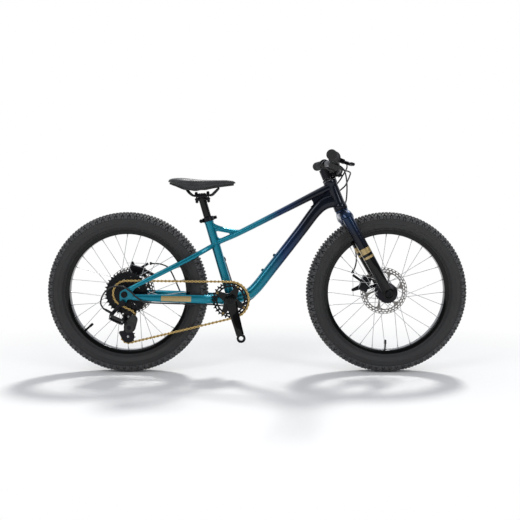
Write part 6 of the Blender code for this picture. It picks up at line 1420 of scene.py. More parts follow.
def toothed_disc(centre, teeth, pin_angle, inner, y, thickness, tip=0.0024):
    """A toothed ring: its outline, and a circle with a point for each outline point."""
    bevel = 0.0003
    outline = tooth_ring(centre, teeth, pin_angle, tip)
    off = outline - centre
    angle = np.arctan2(off[:, 1], off[:, 0])
    hole = centre + inner * np.column_stack([np.cos(angle), np.sin(angle)])
    drawn = centre + off * (1 - bevel / np.linalg.norm(off, axis=1, keepdims=True))
    low, high = -thickness / 2, thickness / 2
    grid = levels([(drawn, low), (outline, low + bevel), (outline, high - bevel),
                   (drawn, high), (hole, high), (hole, low)])
    return sheet(placed(grid, side_place(y)), wrap_rows=True, wrap_columns=True)


def chain_pins():
    """The pins round the chain's loop as (place, direction), and each sprocket's first angle.

    The loop is four circles, chainring, cog and two pulleys, and the straights that touch
    them. On a circle pins are one tooth apart; the straights share out what is left.
    """
    axle, bottom = REAR_AXLE[[0, 2]], BB[[0, 2]]
    circles = [(bottom, RING_TEETH, 1), (axle, COG_TEETH[COG_IN_USE], 1),
               (GUIDE, PULLEY_TEETH, -1), (TENSION, PULLEY_TEETH, 1)]
    straights = []
    for (a, ta, sa), (b, tb, sb) in zip(circles, circles[1:] + circles[:1]):
        ra, rb = sa * pitch_radius(ta), sb * pitch_radius(tb)
        gap = b - a
        length = float(np.hypot(*gap))
        heading = math.atan2(gap[1], gap[0]) + math.asin((ra - rb) / length)
        way, normal = direction(heading)
        straights.append((a - ra * normal, b - rb * normal, way))
    arcs = []
    for index, (centre, teeth, turn) in enumerate(circles):
        entry, leave = straights[index - 1][1] - centre, straights[index][0] - centre
        start = math.atan2(entry[1], entry[0])
        sweep = (turn * (math.atan2(leave[1], leave[0]) - start)) % (2 * math.pi)
        arcs.append((start, sweep * teeth / (2 * math.pi)))
    lengths = [float(np.hypot(*(end - start))) for start, end, _ in straights]
    on_arcs = sum(count for _, count in arcs)
    total = 2 * round((on_arcs + sum(lengths) / PITCH) / 2)
    pitch = sum(lengths) / (total - on_arcs)
    pins, phases, done = [], [], 0.0
    for index, (centre, teeth, turn) in enumerate(circles):
        start, count = arcs[index]
        first = math.ceil(done - 1e-9)
        phases.append(start + turn * (first - done) * 2 * math.pi / teeth)
        for k in range(first, math.ceil(done + count - 1e-9)):
            angle = start + turn * (k - done) * 2 * math.pi / teeth
            pins.append(centre + pitch_radius(teeth) * direction(angle)[0])
        done += count
        begin, _, way = straights[index]
        count = lengths[index] / pitch
        for k in range(math.ceil(done - 1e-9), math.ceil(done + count - 1e-9)):
            pins.append(begin + way * (k - done) * pitch)
        done += count
    return np.array(pins[:total]), phases


def link_plate(low, high):
    """A chain's side plate: two round ends and a drawn-in waist, as a thin slab."""
    waist, end = 0.0022, 0.0041
    x = np.linspace(-1, 1, 11) * (PITCH / 2 + end * 0.98)
    past = np.clip((np.abs(x) - PITCH / 2) / end, 0, 1)
    near = np.clip(1 - np.abs(x) / (PITCH / 2), 0, 1)
    y = np.where(np.abs(x) > PITCH / 2, end * np.sqrt(1 - past ** 2),
                 waist + (end - waist) * (1 - near) ** 1.5)
    y = np.maximum(y, 0.0006)
    outline = np.vstack([np.column_stack([x, -y]), np.column_stack([x[::-1], y[::-1]])])
    return slab(outline, low, high, axes_at((0, 0, 0), UP, FORWARD), 0.0002)


def chain(pins):
    """The chain's links: wide and narrow plate pairs in turn, with rollers and pins."""
    after = np.roll(pins, -1, axis=0)
    way = unit(after - pins)
    middle = (pins + after) / 2
    origin = np.stack([middle[:, 0], np.full(len(pins), -CHAIN_LINE), middle[:, 1]], axis=-1)
    ahead = np.stack([way[:, 0], np.zeros(len(pins)), way[:, 1]], axis=-1)
    across = np.broadcast_to(LEFT, ahead.shape)
    rows = np.stack([ahead, np.cross(across, ahead), across], axis=1)
    wide = merged(link_plate(0.0024, 0.0033), link_plate(-0.0033, -0.0024))
    narrow = merged(link_plate(0.0014, 0.0023), link_plate(-0.0023, -0.0014))
    pin = axes_at((-PITCH / 2, 0, 0), UP, FORWARD)
    roller = turned([(0, -0.0013), (0.0037, -0.0013), (0.0037, 0.0013), (0, 0.0013)], 10, pin)
    half = [(0, -0.0038), (0.0012, -0.0038), (0.0018, -0.0035)]
    rivet = turned(half + mirrored(half), 8, pin)
    plates = merged(copies(wide, origin[::2], rows[::2]), copies(narrow, origin[1::2], rows[1::2]))
    return plates, merged(copies(roller, origin, rows), copies(rivet, origin, rows))


def square_ring(inner, outer, thickness, steps, place):
    """A ring of rectangular section, centred on the placement."""
    half = thickness / 2
    return turned([(outer, -half), (outer, half), (inner, half), (inner, -half)], steps,
                  place, wrap=True)


def cassette(phase):
    """Eight sprockets, toothed rings on pierced bodies, with spacers; and the lockring."""
    centre = REAR_AXLE[[0, 2]]
    shapes = []
    for index, teeth in enumerate(COG_TEETH):
        y = -CHAIN_LINE + (index - COG_IN_USE) * COG_STEP
        rim_radius = pitch_radius(teeth) - 0.0072
        solid = teeth < 18
        shapes.append(toothed_disc(centre, teeth, phase, 0.0165 if solid else rim_radius, y,
                                   COG_THICKNESS))
        if not solid:
            place = side_place(y, centre)
            arms = 6 if teeth < 30 else 9
            shapes.append(cells_ring(place, 0.0190, rim_radius, arms, (0.66, 0.62, 3.5),
                                     COG_THICKNESS, phase=0.3 * index, sweep=0.35,
                                     corner=32))
            shapes.append(square_ring(0.0160, 0.0190, COG_THICKNESS, 40, place))
        if index:
            place = lateral(REAR_AXLE[0], y - COG_STEP / 2, REAR_AXLE[2])
            shapes.append(square_ring(0.0160, 0.0185, 0.0030, 32, place))
    face = -CHAIN_LINE - COG_IN_USE * COG_STEP - COG_THICKNESS / 2
    lock = [(0.0170, face), (0.0172, face - 0.0016), (0.0150, face - 0.0024),
            (0.0125, face - 0.0024), (0.0118, face - 0.0010), (0.0095, face - 0.0010),
            (0.0090, -0.0706), (0.0056, -0.0706), (0.0056, 0.0148 - CHAIN_LINE),
            (0.0160, 0.0148 - CHAIN_LINE), (0.0160, face)]
    return merged(*shapes), turned(lock[::-1], 48, lateral(*REAR_AXLE), wrap=True)


def chainring(phase):
    """A chainring: toothed rim, a truss of slanting windows, and an inner ring on its bolts."""
    centre = BB[[0, 2]]
    place = side_place(-CHAIN_LINE, centre)
    rim_radius, thickness = pitch_radius(RING_TEETH) - 0.0062, 0.0022
    outer = toothed_disc(centre, RING_TEETH, phase, rim_radius, -CHAIN_LINE, thickness)
    truss = cells_ring(place, 0.0475, rim_radius, 20, (0.60, 0.56, 3.0), thickness,
                       sweep=0.10, corner=24)
    return merged(outer, truss, square_ring(0.0435, 0.0475, thickness, 80, place))


def ring_bolt_spots():
    """The chainring bolts' places in the side view."""
    angles = CRANK_LEAN - math.pi / 4 + np.arange(4) * np.pi / 2
    return BB[[0, 2]] + 0.0505 * np.column_stack([np.cos(angles), np.sin(angles)])


def spider():
    """Four arms from the crank's boss to the chainring's bolts, each a tapered slab."""
    place = side_place(-CHAIN_LINE - 0.0034)
    return merged(*[slab(bar_outline(BB[[0, 2]], 0.0185, spot, 0.0064, 16), -0.0020, 0.0020,
                         place, 0.0006) for spot in ring_bolt_spots()])


def crank_end(side):
    """The pedal hole's centre: the right arm points down and forward."""
    way = np.array([math.sin(CRANK_LEAN), 0, -math.cos(CRANK_LEAN)])
    return BB + way * 0.130 * -side


def crank_arm(side):
    """A crank arm: a shaped blade from a round boss to the threaded ring for the pedal."""
    end = crank_end(side)
    run = end - BB
    route = [BB + run * 0.04 + LEFT * side * 0.0585, BB + run * 0.35 + LEFT * side * 0.0590,
             BB + run * 0.70 + LEFT * side * 0.0635, BB + run * 0.915 + LEFT * side * 0.0650]
    blade = oval_tube(route, [0.0125, 0.012, 0.0115, 0.0118],
                      [0.0370, 0.0320, 0.0275, 0.0260], 10, 40, 3.4)
    boss = turned([(0, 0.0440), (0.0190, 0.0440), (0.0200, 0.0460), (0.0200, 0.0630),
                   (0.0185, 0.0652), (0.0100, 0.0660), (0.0096, 0.0650), (0, 0.0650)], 48,
                  axes_at(BB, LEFT * side, FORWARD))
    eye = turned([(0.0072, 0.0586), (0.0138, 0.0586), (0.0149, 0.0596), (0.0149, 0.0704),
                  (0.0140, 0.0713), (0.0082, 0.0714), (0.0072, 0.0706)], 40,
                 axes_at(end, LEFT * side, FORWARD), wrap=True)
    return merged(blade, boss, eye)


def crank_bolt(side):
    """The crank's retaining bolt: a round cap with a round hollow."""
    return turned([(0, 0.0645), (0.0090, 0.0645), (0.0088, 0.0662), (0.0072, 0.0670),
                   (0.0048, 0.0668), (0.0042, 0.0645), (0, 0.0640)], 32,
                  axes_at(BB, LEFT * side, FORWARD))


def build_drivetrain():
    """Chain, cassette, chainring and cranks."""
    pins, phases = chain_pins()
    plates, rollers = chain(pins)
    put("chain_plates", plates, "frame", "gold_steel", ["chain"], smooth=35)
    put("chain_rollers", rollers, "frame", "black_steel", smooth=35)
    cogs, lock = cassette(phases[1])
    put("cassette_cogs", cogs, "cassette", "black_steel", ["cassette"], smooth=30)
    put("cassette_lockring", lock, "cassette", "black_steel", smooth=30)
    put("chainring_toothed", chainring(phases[0]), "crank", "black_steel", ["chainring"], smooth=30)
    put("crank_spider", spider(), "crank", "gloss_black", smooth=30)
    bolts = [socket_bolt(facing_right(x, z), (0.0037, 0.0037, 0.0033, 0.0022, 0.0019),
                         (0.0412, 0.0525, 0.0532, 0.0518)) for x, z in ring_bolt_spots()]
    put("chainring_bolts", merged(*bolts), "crank", "gold_steel")
    for side, name in ((-1, "right"), (1, "left")):
        put(f"crank_arm_{name}_forged", crank_arm(side), "crank", "gloss_black",
            [f"crank_arm_{name}"], smooth=40)
    axle = turned([(0, -0.0500), (0.0120, -0.0500), (0.0120, 0.0500), (0, 0.0500)], 32,
                  lateral(*BB))
    put("crank_spindle", axle, "crank", "steel")
    put("crank_bolts", merged(crank_bolt(1), crank_bolt(-1)), "crank", "black_steel")


def link_place():
    """The parallelogram's placement: X along the links, Z along their pins."""
    run = unit(LINK_RUN)
    tilt = math.radians(47.2)
    return axes_at(LINK_START, LEFT * math.cos(tilt) + np.cross(run, LEFT) * math.sin(tilt), run)


def pulley(spot, phase, name):
    """A jockey wheel: a toothed rim, a pierced web and a hub on its bolt."""
    place = side_place(-CHAIN_LINE, spot)
    inner = pitch_radius(PULLEY_TEETH) - 0.0062
    toothed = toothed_disc(spot, PULLEY_TEETH, phase, inner, -CHAIN_LINE, 0.0022, 0.0018)
    web = cells_ring(place, 0.0065, inner, 7, (0.62, 0.56, 2.2), 0.0016, corner=20)
    half = [(0.0028, -0.0032), (0.0060, -0.0032), (0.0066, -0.0026)]
    core = turned(half + mirrored(half), 24, place, wrap=True)
    put(f"{name}_toothed", merged(toothed, web, core), name, "black_plastic", [name], smooth=30)


def build_derailleur():
    """The rear derailleur: knuckles, links, cage, jockey wheels and their bolts."""
    refined("derailleur_b_knuckle", "derailleur_b_knuckle_forged", "black_aluminium", width=0.0008)
    refined("derailleur_link_outer", "derailleur_link_outer_plate", "black_plastic", width=0.0008)
    refined("derailleur_link_inner", "derailleur_link_inner_plate", "black_aluminium", width=0.0008)
    refined("derailleur_p_knuckle", "derailleur_p_knuckle_forged", "black_aluminium", width=0.0010)
    refined("derailleur_cage", "derailleur_cage_plates", "black_aluminium", width=0.0005)
    _, phases = chain_pins()
    pulley(GUIDE, phases[2], "guide_pulley")
    pulley(TENSION, phases[3], "tension_pulley")
    bolts = [socket_bolt(facing_right(x, z), (0.0040, 0.0040, 0.0034, 0.0020, 0.0016),
                         (0.0520, 0.0534, 0.0542, 0.0530)) for x, z in (GUIDE, TENSION)]
    put("pulley_bolts", merged(*bolts), "cage", "steel")
    place = side_place(-CHAIN_LINE - 0.0047)
    put("cage_guard", merged(*[
        slab(bar_outline(TENSION, start_radius, end, end_radius, 24), -half, half, place,
             0.0002)
        for start_radius, end, end_radius, half in (
            (0.0215, (-0.4530, 0.1395), 0.0060, 0.0007), (0.0150, GUIDE, 0.0140, 0.0008))]),
        "cage", "black_aluminium")
    x, z = CAGE_PIVOT
    knuckle = slab(bar_outline((x, z), 0.0190, (-0.4095, 0.1850), 0.0150, 28), 0.0, 0.0190,
                   side_place(-0.0568), 0.0040)
    put("knuckle_shell", knuckle, "p_knuckle", "black_plastic", smooth=50)
    cover = turned([(0, 0.0768), (0.0150, 0.0768), (0.0158, 0.0776), (0.0158, 0.0786),
                    (0.0146, 0.0796), (0.0075, 0.0800), (0.0068, 0.0792), (0, 0.0792)], 40,
                   facing_right(x, z))
    put("clutch_cover", cover, "p_knuckle", "black_plastic")
    pins = []
    place = link_place()
    for u in (0.0, float(np.linalg.norm(LINK_RUN))):
        for v in (0.0, 0.0160):
            foot = placed([u, v, -0.0038], place)
            pins.append(turned([(0, -0.0012), (0.0024, -0.0012), (0.0028, -0.0006),
                                (0.0028, 0.0010), (0, 0.0010)], 16,
                               axes_at(foot, place[1][2], place[1][0])))
    put("link_pins", merged(*pins[:2]), "frame", "steel")
    put("link_pins_low", merged(*pins[2:]), "p_knuckle", "steel")
    hanger = socket_bolt(facing_right(-0.4405, 0.2420),
                         (0.0078, 0.0076, 0.0066, 0.0040, 0.0034),
                         (0.0940, 0.0962, 0.0972, 0.0950), 28)
    put("hanger_bolt", hanger, "frame", "black_steel")


# Saddle and post.

CLAMP_LEAN = math.radians(4)
CLAMP = axes_at((-0.1835, 0, 0.5965), (-math.sin(CLAMP_LEAN), 0, math.cos(CLAMP_LEAN)), FORWARD)
CLAMP_BOLTS = (-0.0197, 0.0195)
# Along the saddle: the distance, its half width, the crown's height and the skirt's height.
SADDLE_X = (-.2936, -.2895, -.2810, -.2660, -.2460, -.2260, -.2060, -.1850, -.1600, -.1300,
            -.1050, -.0880, -.0775, -.0725)
SADDLE_HALF = (.030, .043, .0555, .0660, .068, .0600, .0460, .0340, .0255, .0205, .0190,
               .0168, .0125, .0060)
SADDLE_TOP = (.6432, .6475, .6502, .6513, .6510, .6500, .6485, .6470, .6463, .6462, .6462,
              .6450, .6425, .6385)
SADDLE_UNDER = (.6400, .6380, .6345, .6290, .6205, .6140, .6115, .6165, .6222, .6275, .6310,
                .6330, .6345, .6365)
RAIL = [(-0.2345, 0.0268, 0.6150), (-0.2262, 0.0250, 0.6040), (-0.2140, 0.0225, 0.5950),
        (-0.2000, 0.0220, 0.5942), (-0.1680, 0.0220, 0.5958), (-0.1520, 0.0220, 0.5970),
        (-0.1415, 0.0210, 0.6060), (-0.1330, 0.0165, 0.6145), (-0.1290, 0.0080, 0.6180)]


def along_saddle(x, values):
    """Values at x on the smooth curve through the values at SADDLE_X."""
    dense = curved(np.column_stack([SADDLE_X, values]), 24)
    return np.interp(x, dense[:, 0], dense[:, 1])


def saddle_rings(x):
    """The saddle's padded skin as rings across it at distances x along it.

    Each ring runs from the skirt on the right over the crown to the skirt on the left: its
    across and up shares are a smooth curve, the crown dips a little at the middle, and a
    broad wave lifts the two cushions at the rear.
    """
    half, top, under = (along_saddle(x, values)[:, None]
                        for values in (SADDLE_HALF, SADDLE_TOP, SADDLE_UNDER))
    side = np.array([(0.80, -0.02), (0.86, -0.01), (0.95, 0.14), (1.0, 0.38), (0.985, 0.62),
                     (0.90, 0.82), (0.72, 0.94), (0.45, 1.0), (0.20, 1.0)])
    loop = np.vstack([side * [-1, 1], [[0, 0.985]], side[::-1]])
    ring = curved(loop, 5)
    across, lift = ring[None, :, 0], ring[None, :, 1]
    height = top - under
    groove = np.exp(-(across / 0.17) ** 2) * 0.0026
    rear = np.exp(-((x[:, None] + 0.244) / 0.035) ** 2)
    cushions = rear * np.exp(-((np.abs(across) - 0.52) / 0.24) ** 2) * 0.0016
    z = under + height * lift - (groove - cushions) * (lift > 0.5)
    xs = np.broadcast_to(x[:, None], z.shape)
    return np.stack([xs, half * across * np.ones_like(z), z], axis=-1)


def saddle_pad():
    """The closed pad: the skin's rings, closed below and at both ends."""
    x = np.concatenate([[-0.2942], np.linspace(-0.2934, -0.0735, 96), [-0.0720]])
    return tube(saddle_rings(x))


def saddle_seams(column):
    """Stitched seams on both sides: thin cords that follow the skin at one ring point.

    A cord's radius swells and shrinks as a sine along it, as stitches do.
    """
    rings = saddle_rings(np.linspace(-0.288, -0.080, 90))
    beads = 0.0005 * (1 + 0.35 * np.sin(np.arange(len(rings)) * 2.2))
    return merged(*[round_tube(rings[:, k], beads, 6) for k in (column, -1 - column)])


def saddle_shell():
    """The moulded base under the pad, narrower than it, with rounded edges."""
    x = np.linspace(-0.2880, -0.0780, 48)
    under = np.maximum(along_saddle(x, SADDLE_UNDER) - 0.0028, 0.6165)
    path = np.column_stack([x, np.zeros_like(x), under])
    return tube(oval_rings(path, along_saddle(x, SADDLE_HALF) * 2 * 0.84, 0.0062, 40, 4.0))


def build_seat():
    """Saddle, rails, seat post, clamp, bolts, collar and its lever."""
    body = "seat"
    pad = put("saddle_cover", saddle_pad(), body, "saddle_skin", ["saddle_pad"], smooth=60)
    smooth = pad.modifiers.new("soft skin", "SUBSURF")
    smooth.levels = 1
    smooth.render_levels = 1
    put("saddle_seams", saddle_seams(16), body, "black_plastic", smooth=60)
    put("saddle_shell_moulded", saddle_shell(), body, "black_plastic", ["saddle_base"], smooth=50)
    rails = curved(np.vstack([np.array(RAIL) * [1, -1, 1], RAIL[::-1]]), 8)
    put("saddle_rails_bent", round_tube(rails, 0.0035, 16), body, "black_steel",
        ["saddle_rails"], smooth=60)
    post = [(0, -0.090), (0.0118, -0.090), (0.0127, -0.0885), (0.0127, 0.0640),
            (0.0134, 0.0665), (0.0134, 0.0700), (0, 0.0700)]
    put("seat_post_tube", turned(post, 48, SEATING), body, "gloss_black")
    put("seat_clamp", seat_clamp(), body, "black_aluminium", ["seat_post"], smooth=35)
    put("seat_clamp_bolts", clamp_bolts(), body, "black_steel")
    refined("seat_collar", "seat_collar_machined", "black_aluminium", width=0.0006)
    refined("seat_lever", "seat_lever_forged", "black_aluminium", width=0.0012)


def seat_clamp():
    """The post's head: a cradle with two ears, two jaws, ribs and two lugs over the rails."""
    blocks = [((0.050, 0.024, 0.011), 0, -0.0135, 0.0045),
              ((0.030, 0.056, 0.0070), 0, -0.0055, 0.0030),
              ((0.026, 0.054, 0.0050), 0, 0.0030, 0.0022)]
    blocks += [((0.0030, 0.048, 0.0012), x, 0.0058, 0.0005) for x in (-0.008, 0.0, 0.008)]
    blocks += [((0.0125, 0.0130, 0.0075), x, -0.0130, 0.0030) for x in CLAMP_BOLTS]
    lugs = [drum(placed([x, -0.0085, 0.0055], CLAMP), placed([x, 0.0085, 0.0055], CLAMP),
                 0.0052) for x in CLAMP_BOLTS]
    return merged(*[rounded_block(size, CLAMP, (x, 0, z), edge)
                    for size, x, z, edge in blocks], *lugs)


def clamp_bolts():
    """The two long bolts, each with a round nut below and a round head above."""
    return merged(*[drum(placed([x, 0, low], CLAMP), placed([x, 0, high], CLAMP), radius,
                         steps)
                    for x in CLAMP_BOLTS for low, high, radius, steps in (
                        (-0.0262, 0.0115, 0.0024, 16), (-0.0245, -0.0180, 0.0050, 20),
                        (0.0065, 0.0118, 0.0044, 20))])


# Brakes and cable housings.

# Each brake's housing stop, the end of its arm and the arm's pivot.
FRONT_STOP, FRONT_ARM_END, FRONT_ARM_PIVOT = FRONT_AXLE + [
    (-0.1045, 0.0590, 0.0530), (-0.1030, 0.0590, 0.0010), (-0.0690, 0.0590, 0.0150)]
REAR_STOP, REAR_ARM_END, REAR_ARM_PIVOT = REAR_AXLE + [
    (0.0560, 0.0750, 0.0915), (0.0005, 0.0750, 0.0930), (0.0110, 0.0750, 0.0640)]
HOUSING_RADIUS = 0.0025
BESIDE_TUBE = 0.0031
SHIFTER_SPOT = 0.132

FRONT_ROUTE = [(0.285, 0.090, 0.699), (0.296, 0.062, 0.688), (0.302, 0.038, 0.662),
               (0.305, 0.032, 0.625), (0.304, 0.038, 0.585), (0.301, 0.062, 0.562),
               (0.297, 0.090, 0.535), (0.305, 0.093, 0.500), (0.325, 0.089, 0.450),
               (0.341, 0.083, 0.410), (0.344, 0.071, 0.372), (0.336, 0.061, 0.343)]
REAR_ROUTE = [(0.285, -0.090, 0.699), (0.294, -0.055, 0.693), (0.297, -0.020, 0.683),
              (0.289, 0.013, 0.664), (0.270, 0.031, 0.634)]
REAR_ROUTE_LOW = [(0.003, 0.0240, 0.279), (-0.030, 0.0275, 0.250), (-0.060, 0.028, 0.229),
                  (-0.088, 0.028, 0.2222), (-0.120, 0.030, 0.226), (-0.150, 0.033, 0.2312),
                  (-0.200, 0.0455, 0.2335), (-0.226, 0.0520, 0.2335),
                  (-0.246, 0.0630, 0.2375), (-0.262, 0.0695, 0.2500),
                  (-0.272, 0.0720, 0.2720), (-0.284, 0.0730, 0.300), (-0.297, 0.0740, 0.328),
                  (-0.310, 0.0745, 0.348), (-0.335, 0.0750, 0.3590)]
SHIFT_ROUTE = [(0.302, -0.078, 0.668), (0.304, -0.045, 0.657), (0.302, -0.008, 0.643),
               (0.296, 0.020, 0.627), (0.275, 0.034, 0.607)]
SHIFT_ROUTE_LOW = [(0.004, 0.0240, 0.268), (-0.028, 0.0230, 0.238), (-0.060, 0.014, 0.2255),
                   (-0.088, 0.000, 0.2218), (-0.120, -0.016, 0.2255),
                   (-0.150, -0.030, 0.2310), (-0.171, -0.038, 0.2326),
                   (-0.207, -0.046, 0.2346), (-0.275, -0.0565, 0.2378),
                   (-0.345, -0.068, 0.2415), (-0.370, -0.0795, 0.2460),
                   (-0.395, -0.0825, 0.262), (-0.411, -0.083, 0.278),
                   (-0.440, -0.0860, 0.2975), (-0.475, -0.088, 0.295),
                   (-0.500, -0.0895, 0.274), (-0.510, -0.0900, 0.245)]


def flank_route(lift):
    """Points beside the down tube's left flank, from high to low, lifted off its middle."""
    points = np.array(DOWN_TUBE)
    route = []
    for k in (5, 4, 3):
        normal = unit(np.cross(LEFT, points[k - 1] - points[k + 1]))
        route.append(points[k] + normal * lift + LEFT * (DOWN_WIDTHS[k] / 2 + BESIDE_TUBE))
    return route


def straight(start, way):
    """Two points on the straight end of a housing, 0.3 and 10 mm from a start."""
    return [start + way * 0.0003, start + way * 0.010]


def lever_mouth(side):
    """The straight start of a housing as it leaves a brake lever's barrel."""
    point, ahead, outward, _ = perch_axes(side, LEVER_SPOT)
    return straight(point + ahead * 0.021 - outward * 0.034, -outward)


def into_stop(stop, arm):
    """The straight end of a housing, in line with the wire from its stop to the arm."""
    way = unit(stop - arm)
    return straight(stop + way * 0.0055, way)[::-1]


def ferrule(end, inner):
    """A metal cap over a housing's end, with a rolled lip."""
    return turned([(0, 0), (0.0033, 0), (0.0033, 0.0010), (0.0031, 0.0014),
                   (0.0031, 0.0078), (0.0028, 0.0086), (0.0024, 0.0086)], 20,
                  axes_at(end, inner - end, (0.31, 0.52, 0.79)))


def shift_entry_route():
    """The shift housing's straight start out of the shifter."""
    point, ahead, outward, up = perch_axes(-1, SHIFTER_SPOT)
    way = unit(ahead * 0.75 - outward * 0.65)
    entry = point + ahead * 0.020 - outward * 0.010 - up * 0.022
    return straight(entry + way * 0.016, way)


def shift_end_route():
    """The shift housing's straight end, into the derailleur's barrel."""
    start = placed([-0.004, 0.002, 0.012], link_place())
    way = unit([-0.78, -0.33, 0.53])
    return straight(start + way * 0.021, way)[::-1]


def housing(name, route, body, node_name):
    """One housing along its route; one without a body, whose route bends in front of the head tube,
    rides on none and is baked where it lies.
    """
    path = np.vstack([[route[0]], curved(route[1:-1], 10), [route[-1]]])
    line = put(name, round_tube(path, HOUSING_RADIUS, 14), body, "housing_skin", [node_name], smooth=60)
    if not body:
        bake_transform(line)


def wire(stop, arm):
    """The bare wire between a housing's stop and the arm, past its clamp to a crimped end."""
    way = unit(stop - arm)
    strand = drum(stop - way * 0.004, arm - way * 0.014, 0.0008, 10, 0.0002)
    crimp = drum(arm - way * 0.014, arm - way * 0.020, 0.0013, 12, 0.0004)
    return merged(strand, crimp)


def adjuster(stop, arm):
    """A knurled barrel on the stop: its radius steps up and down 15 times round it."""
    way = unit(stop - arm)
    angle = np.arange(60) * 2 * np.pi / 60
    ring = np.column_stack([np.cos(angle), np.sin(angle)])
    ridges = 0.0003 * np.sign(np.sin(angle * 15))[:, None]
    outer = [(0.0044, 0), (0.0050, 0.0008), (0.0050, 0.0052), (0.0042, 0.0060)]
    grid = levels([((radius + ridges) * ring, height) for radius, height in outer]
                  + [(0.0035 * ring, 0.0060), (0.0035 * ring, 0)])
    place = axes_at(stop + way * 0.0056, way, FORWARD)
    return sheet(placed(grid, place), wrap_rows=True, wrap_columns=True)


def arm_hardware(pivot, end):
    """The arm's pivot cap with a round hollow, and the wire's clamp bolt and washer."""
    cap = turned([(0, 0.0020), (0.0086, 0.0020), (0.0090, 0.0028), (0.0090, 0.0052),
                  (0.0082, 0.0062), (0.0050, 0.0068), (0.0034, 0.0068), (0.0030, 0.0048),
                  (0, 0.0048)], 32, lateral(*pivot))
    bolt = turned([(0, 0.0018), (0.0058, 0.0018), (0.0058, 0.0028), (0.0042, 0.0030),
                   (0.0042, 0.0066), (0.0036, 0.0072), (0.0020, 0.0072), (0.0018, 0.0056),
                   (0, 0.0056)], 24, lateral(*end))
    return merged(cap, bolt)


def build_brakes():
    """Both calipers with their arms, wires and hardware."""
    for side, stop, end, pivot, carrier in (
            ("front", FRONT_STOP, FRONT_ARM_END, FRONT_ARM_PIVOT, "steering"),
            ("rear", REAR_STOP, REAR_ARM_END, REAR_ARM_PIVOT, "frame")):
        refined(f"{side}_caliper", f"{side}_caliper_cast", "black_aluminium", width=0.0014, angle=30)
        refined(f"{side}_caliper_arm", f"{side}_caliper_arm_forged", "black_aluminium", width=0.0008)
        put(f"{side}_arm_hardware", arm_hardware(pivot, end), f"{side}_caliper_arm",
            "silver_aluminium")
        put(f"{side}_brake_wire", wire(stop, end), carrier, "steel")
        put(f"{side}_wire_adjuster", adjuster(stop, end), carrier, "black_aluminium", smooth=30)


def build_housings():
    """The three cable housings and their end caps."""
    front = lever_mouth(1) + FRONT_ROUTE + into_stop(FRONT_STOP, FRONT_ARM_END)
    housing("front_housing_line", front, "steering", "front_brake_housing")
    caps = merged(ferrule(front[0], front[1]), ferrule(front[-1], front[-2]))
    put("front_housing_caps", caps, "steering", "black_aluminium")
    rear = lever_mouth(-1) + REAR_ROUTE + flank_route(0.0045) + REAR_ROUTE_LOW
    rear = rear + into_stop(REAR_STOP, REAR_ARM_END)
    housing("rear_housing_line", rear, None, "rear_brake_housing")
    shift = shift_entry_route() + SHIFT_ROUTE + flank_route(-0.0045) + SHIFT_ROUTE_LOW
    shift = shift + shift_end_route()
    housing("shift_housing_line", shift, None, "shift_housing")
    for name, route in (("rear", rear), ("shift", shift)):
        put(f"{name}_housing_cap_bar", ferrule(route[0], route[1]), "steering", "black_aluminium")
        put(f"{name}_housing_cap_end", ferrule(route[-1], route[-2]), "frame", "black_aluminium")
    clips = []
    low, along, high = np.array(DOWN_TUBE)[3:6]
    for share in (0.18, 0.55, 0.92):
        foot = low * (1 - share) + high * share + LEFT * (DOWN_WIDTHS[4] / 2 + BESIDE_TUBE)
        clips.append(rounded_block((0.0100, 0.0160, 0.0062),
                                   axes_at(foot, LEFT, along - low), (0, 0, -0.0002), 0.0022))
    put("housing_clips", merged(*clips), "frame", "black_plastic")


# Stage.

CAMERA_PLACE = (0.0153, -2.45, 0.5434)
CAMERA_AIM = (0.0099, 0.0, 0.3785)


def stood(data, place, aim):
    """Links a lamp or camera as an object at a place that faces a point."""
    stand = bpy.data.objects.new(data.name, data)
    bpy.context.scene.collection.objects.link(stand)
    stand.location = place
    look = Vector(aim) - Vector(place)
    stand.rotation_euler = look.to_track_quat("-Z", "Y").to_euler()
    return stand


def soft_lamp(name, place, size, strength):
    """A large square area lamp that faces the bike's middle."""
    lamp = bpy.data.lights.new(name, "AREA")
    lamp.shape = "SQUARE"
    lamp.size = size
    lamp.energy = strength
    stood(lamp, place, (0.0, 0.0, 0.35))


def build_world(tone):
    """A world that lights evenly and is white where it is seen.

    In mirror-like faces it is white behind the bike and overhead, as a studio is, and dim
    on the camera's side, so dark gloss stays dark between its lights.
    """
    world = bpy.data.worlds.new("studio")
    bpy.context.scene.world = world
    world.use_nodes = True
    tree = world.node_tree
    back = tree.nodes["Background"]
    rays = tree.nodes.new("ShaderNodeLightPath").outputs
    way = place_of(tree)
    behind = ranged(tree, part_of(tree, way, "Y"), -0.15, 0.35, 0.16, 1.0, True)
    above = ranged(tree, part_of(tree, way, "Z"), 0.50, 0.85, 0.0, 1.0, True)
    mirrored = calculated(tree, "MAXIMUM", behind, above)
    seen = calculated(tree, "MAXIMUM", rays["Is Camera Ray"], rays["Is Transmission Ray"])
    lit = node(tree, "ShaderNodeMix", {0: rays["Is Glossy Ray"], 2: tone, 3: mirrored},
               data_type="FLOAT").outputs[0]
    strength = node(tree, "ShaderNodeMix", {0: seen, 2: lit, 3: 1.0}, data_type="FLOAT").outputs[0]
    tree.links.new(strength, back.inputs["Strength"])
    cool, white = (0.955, 0.985, 1.045, 1.0), (1.0, 1.0, 1.0, 1.0)
    tint = node(tree, "ShaderNodeMix", {0: seen, 6: cool, 7: white}, data_type="RGBA").outputs[2]
    tree.links.new(tint, back.inputs["Color"])


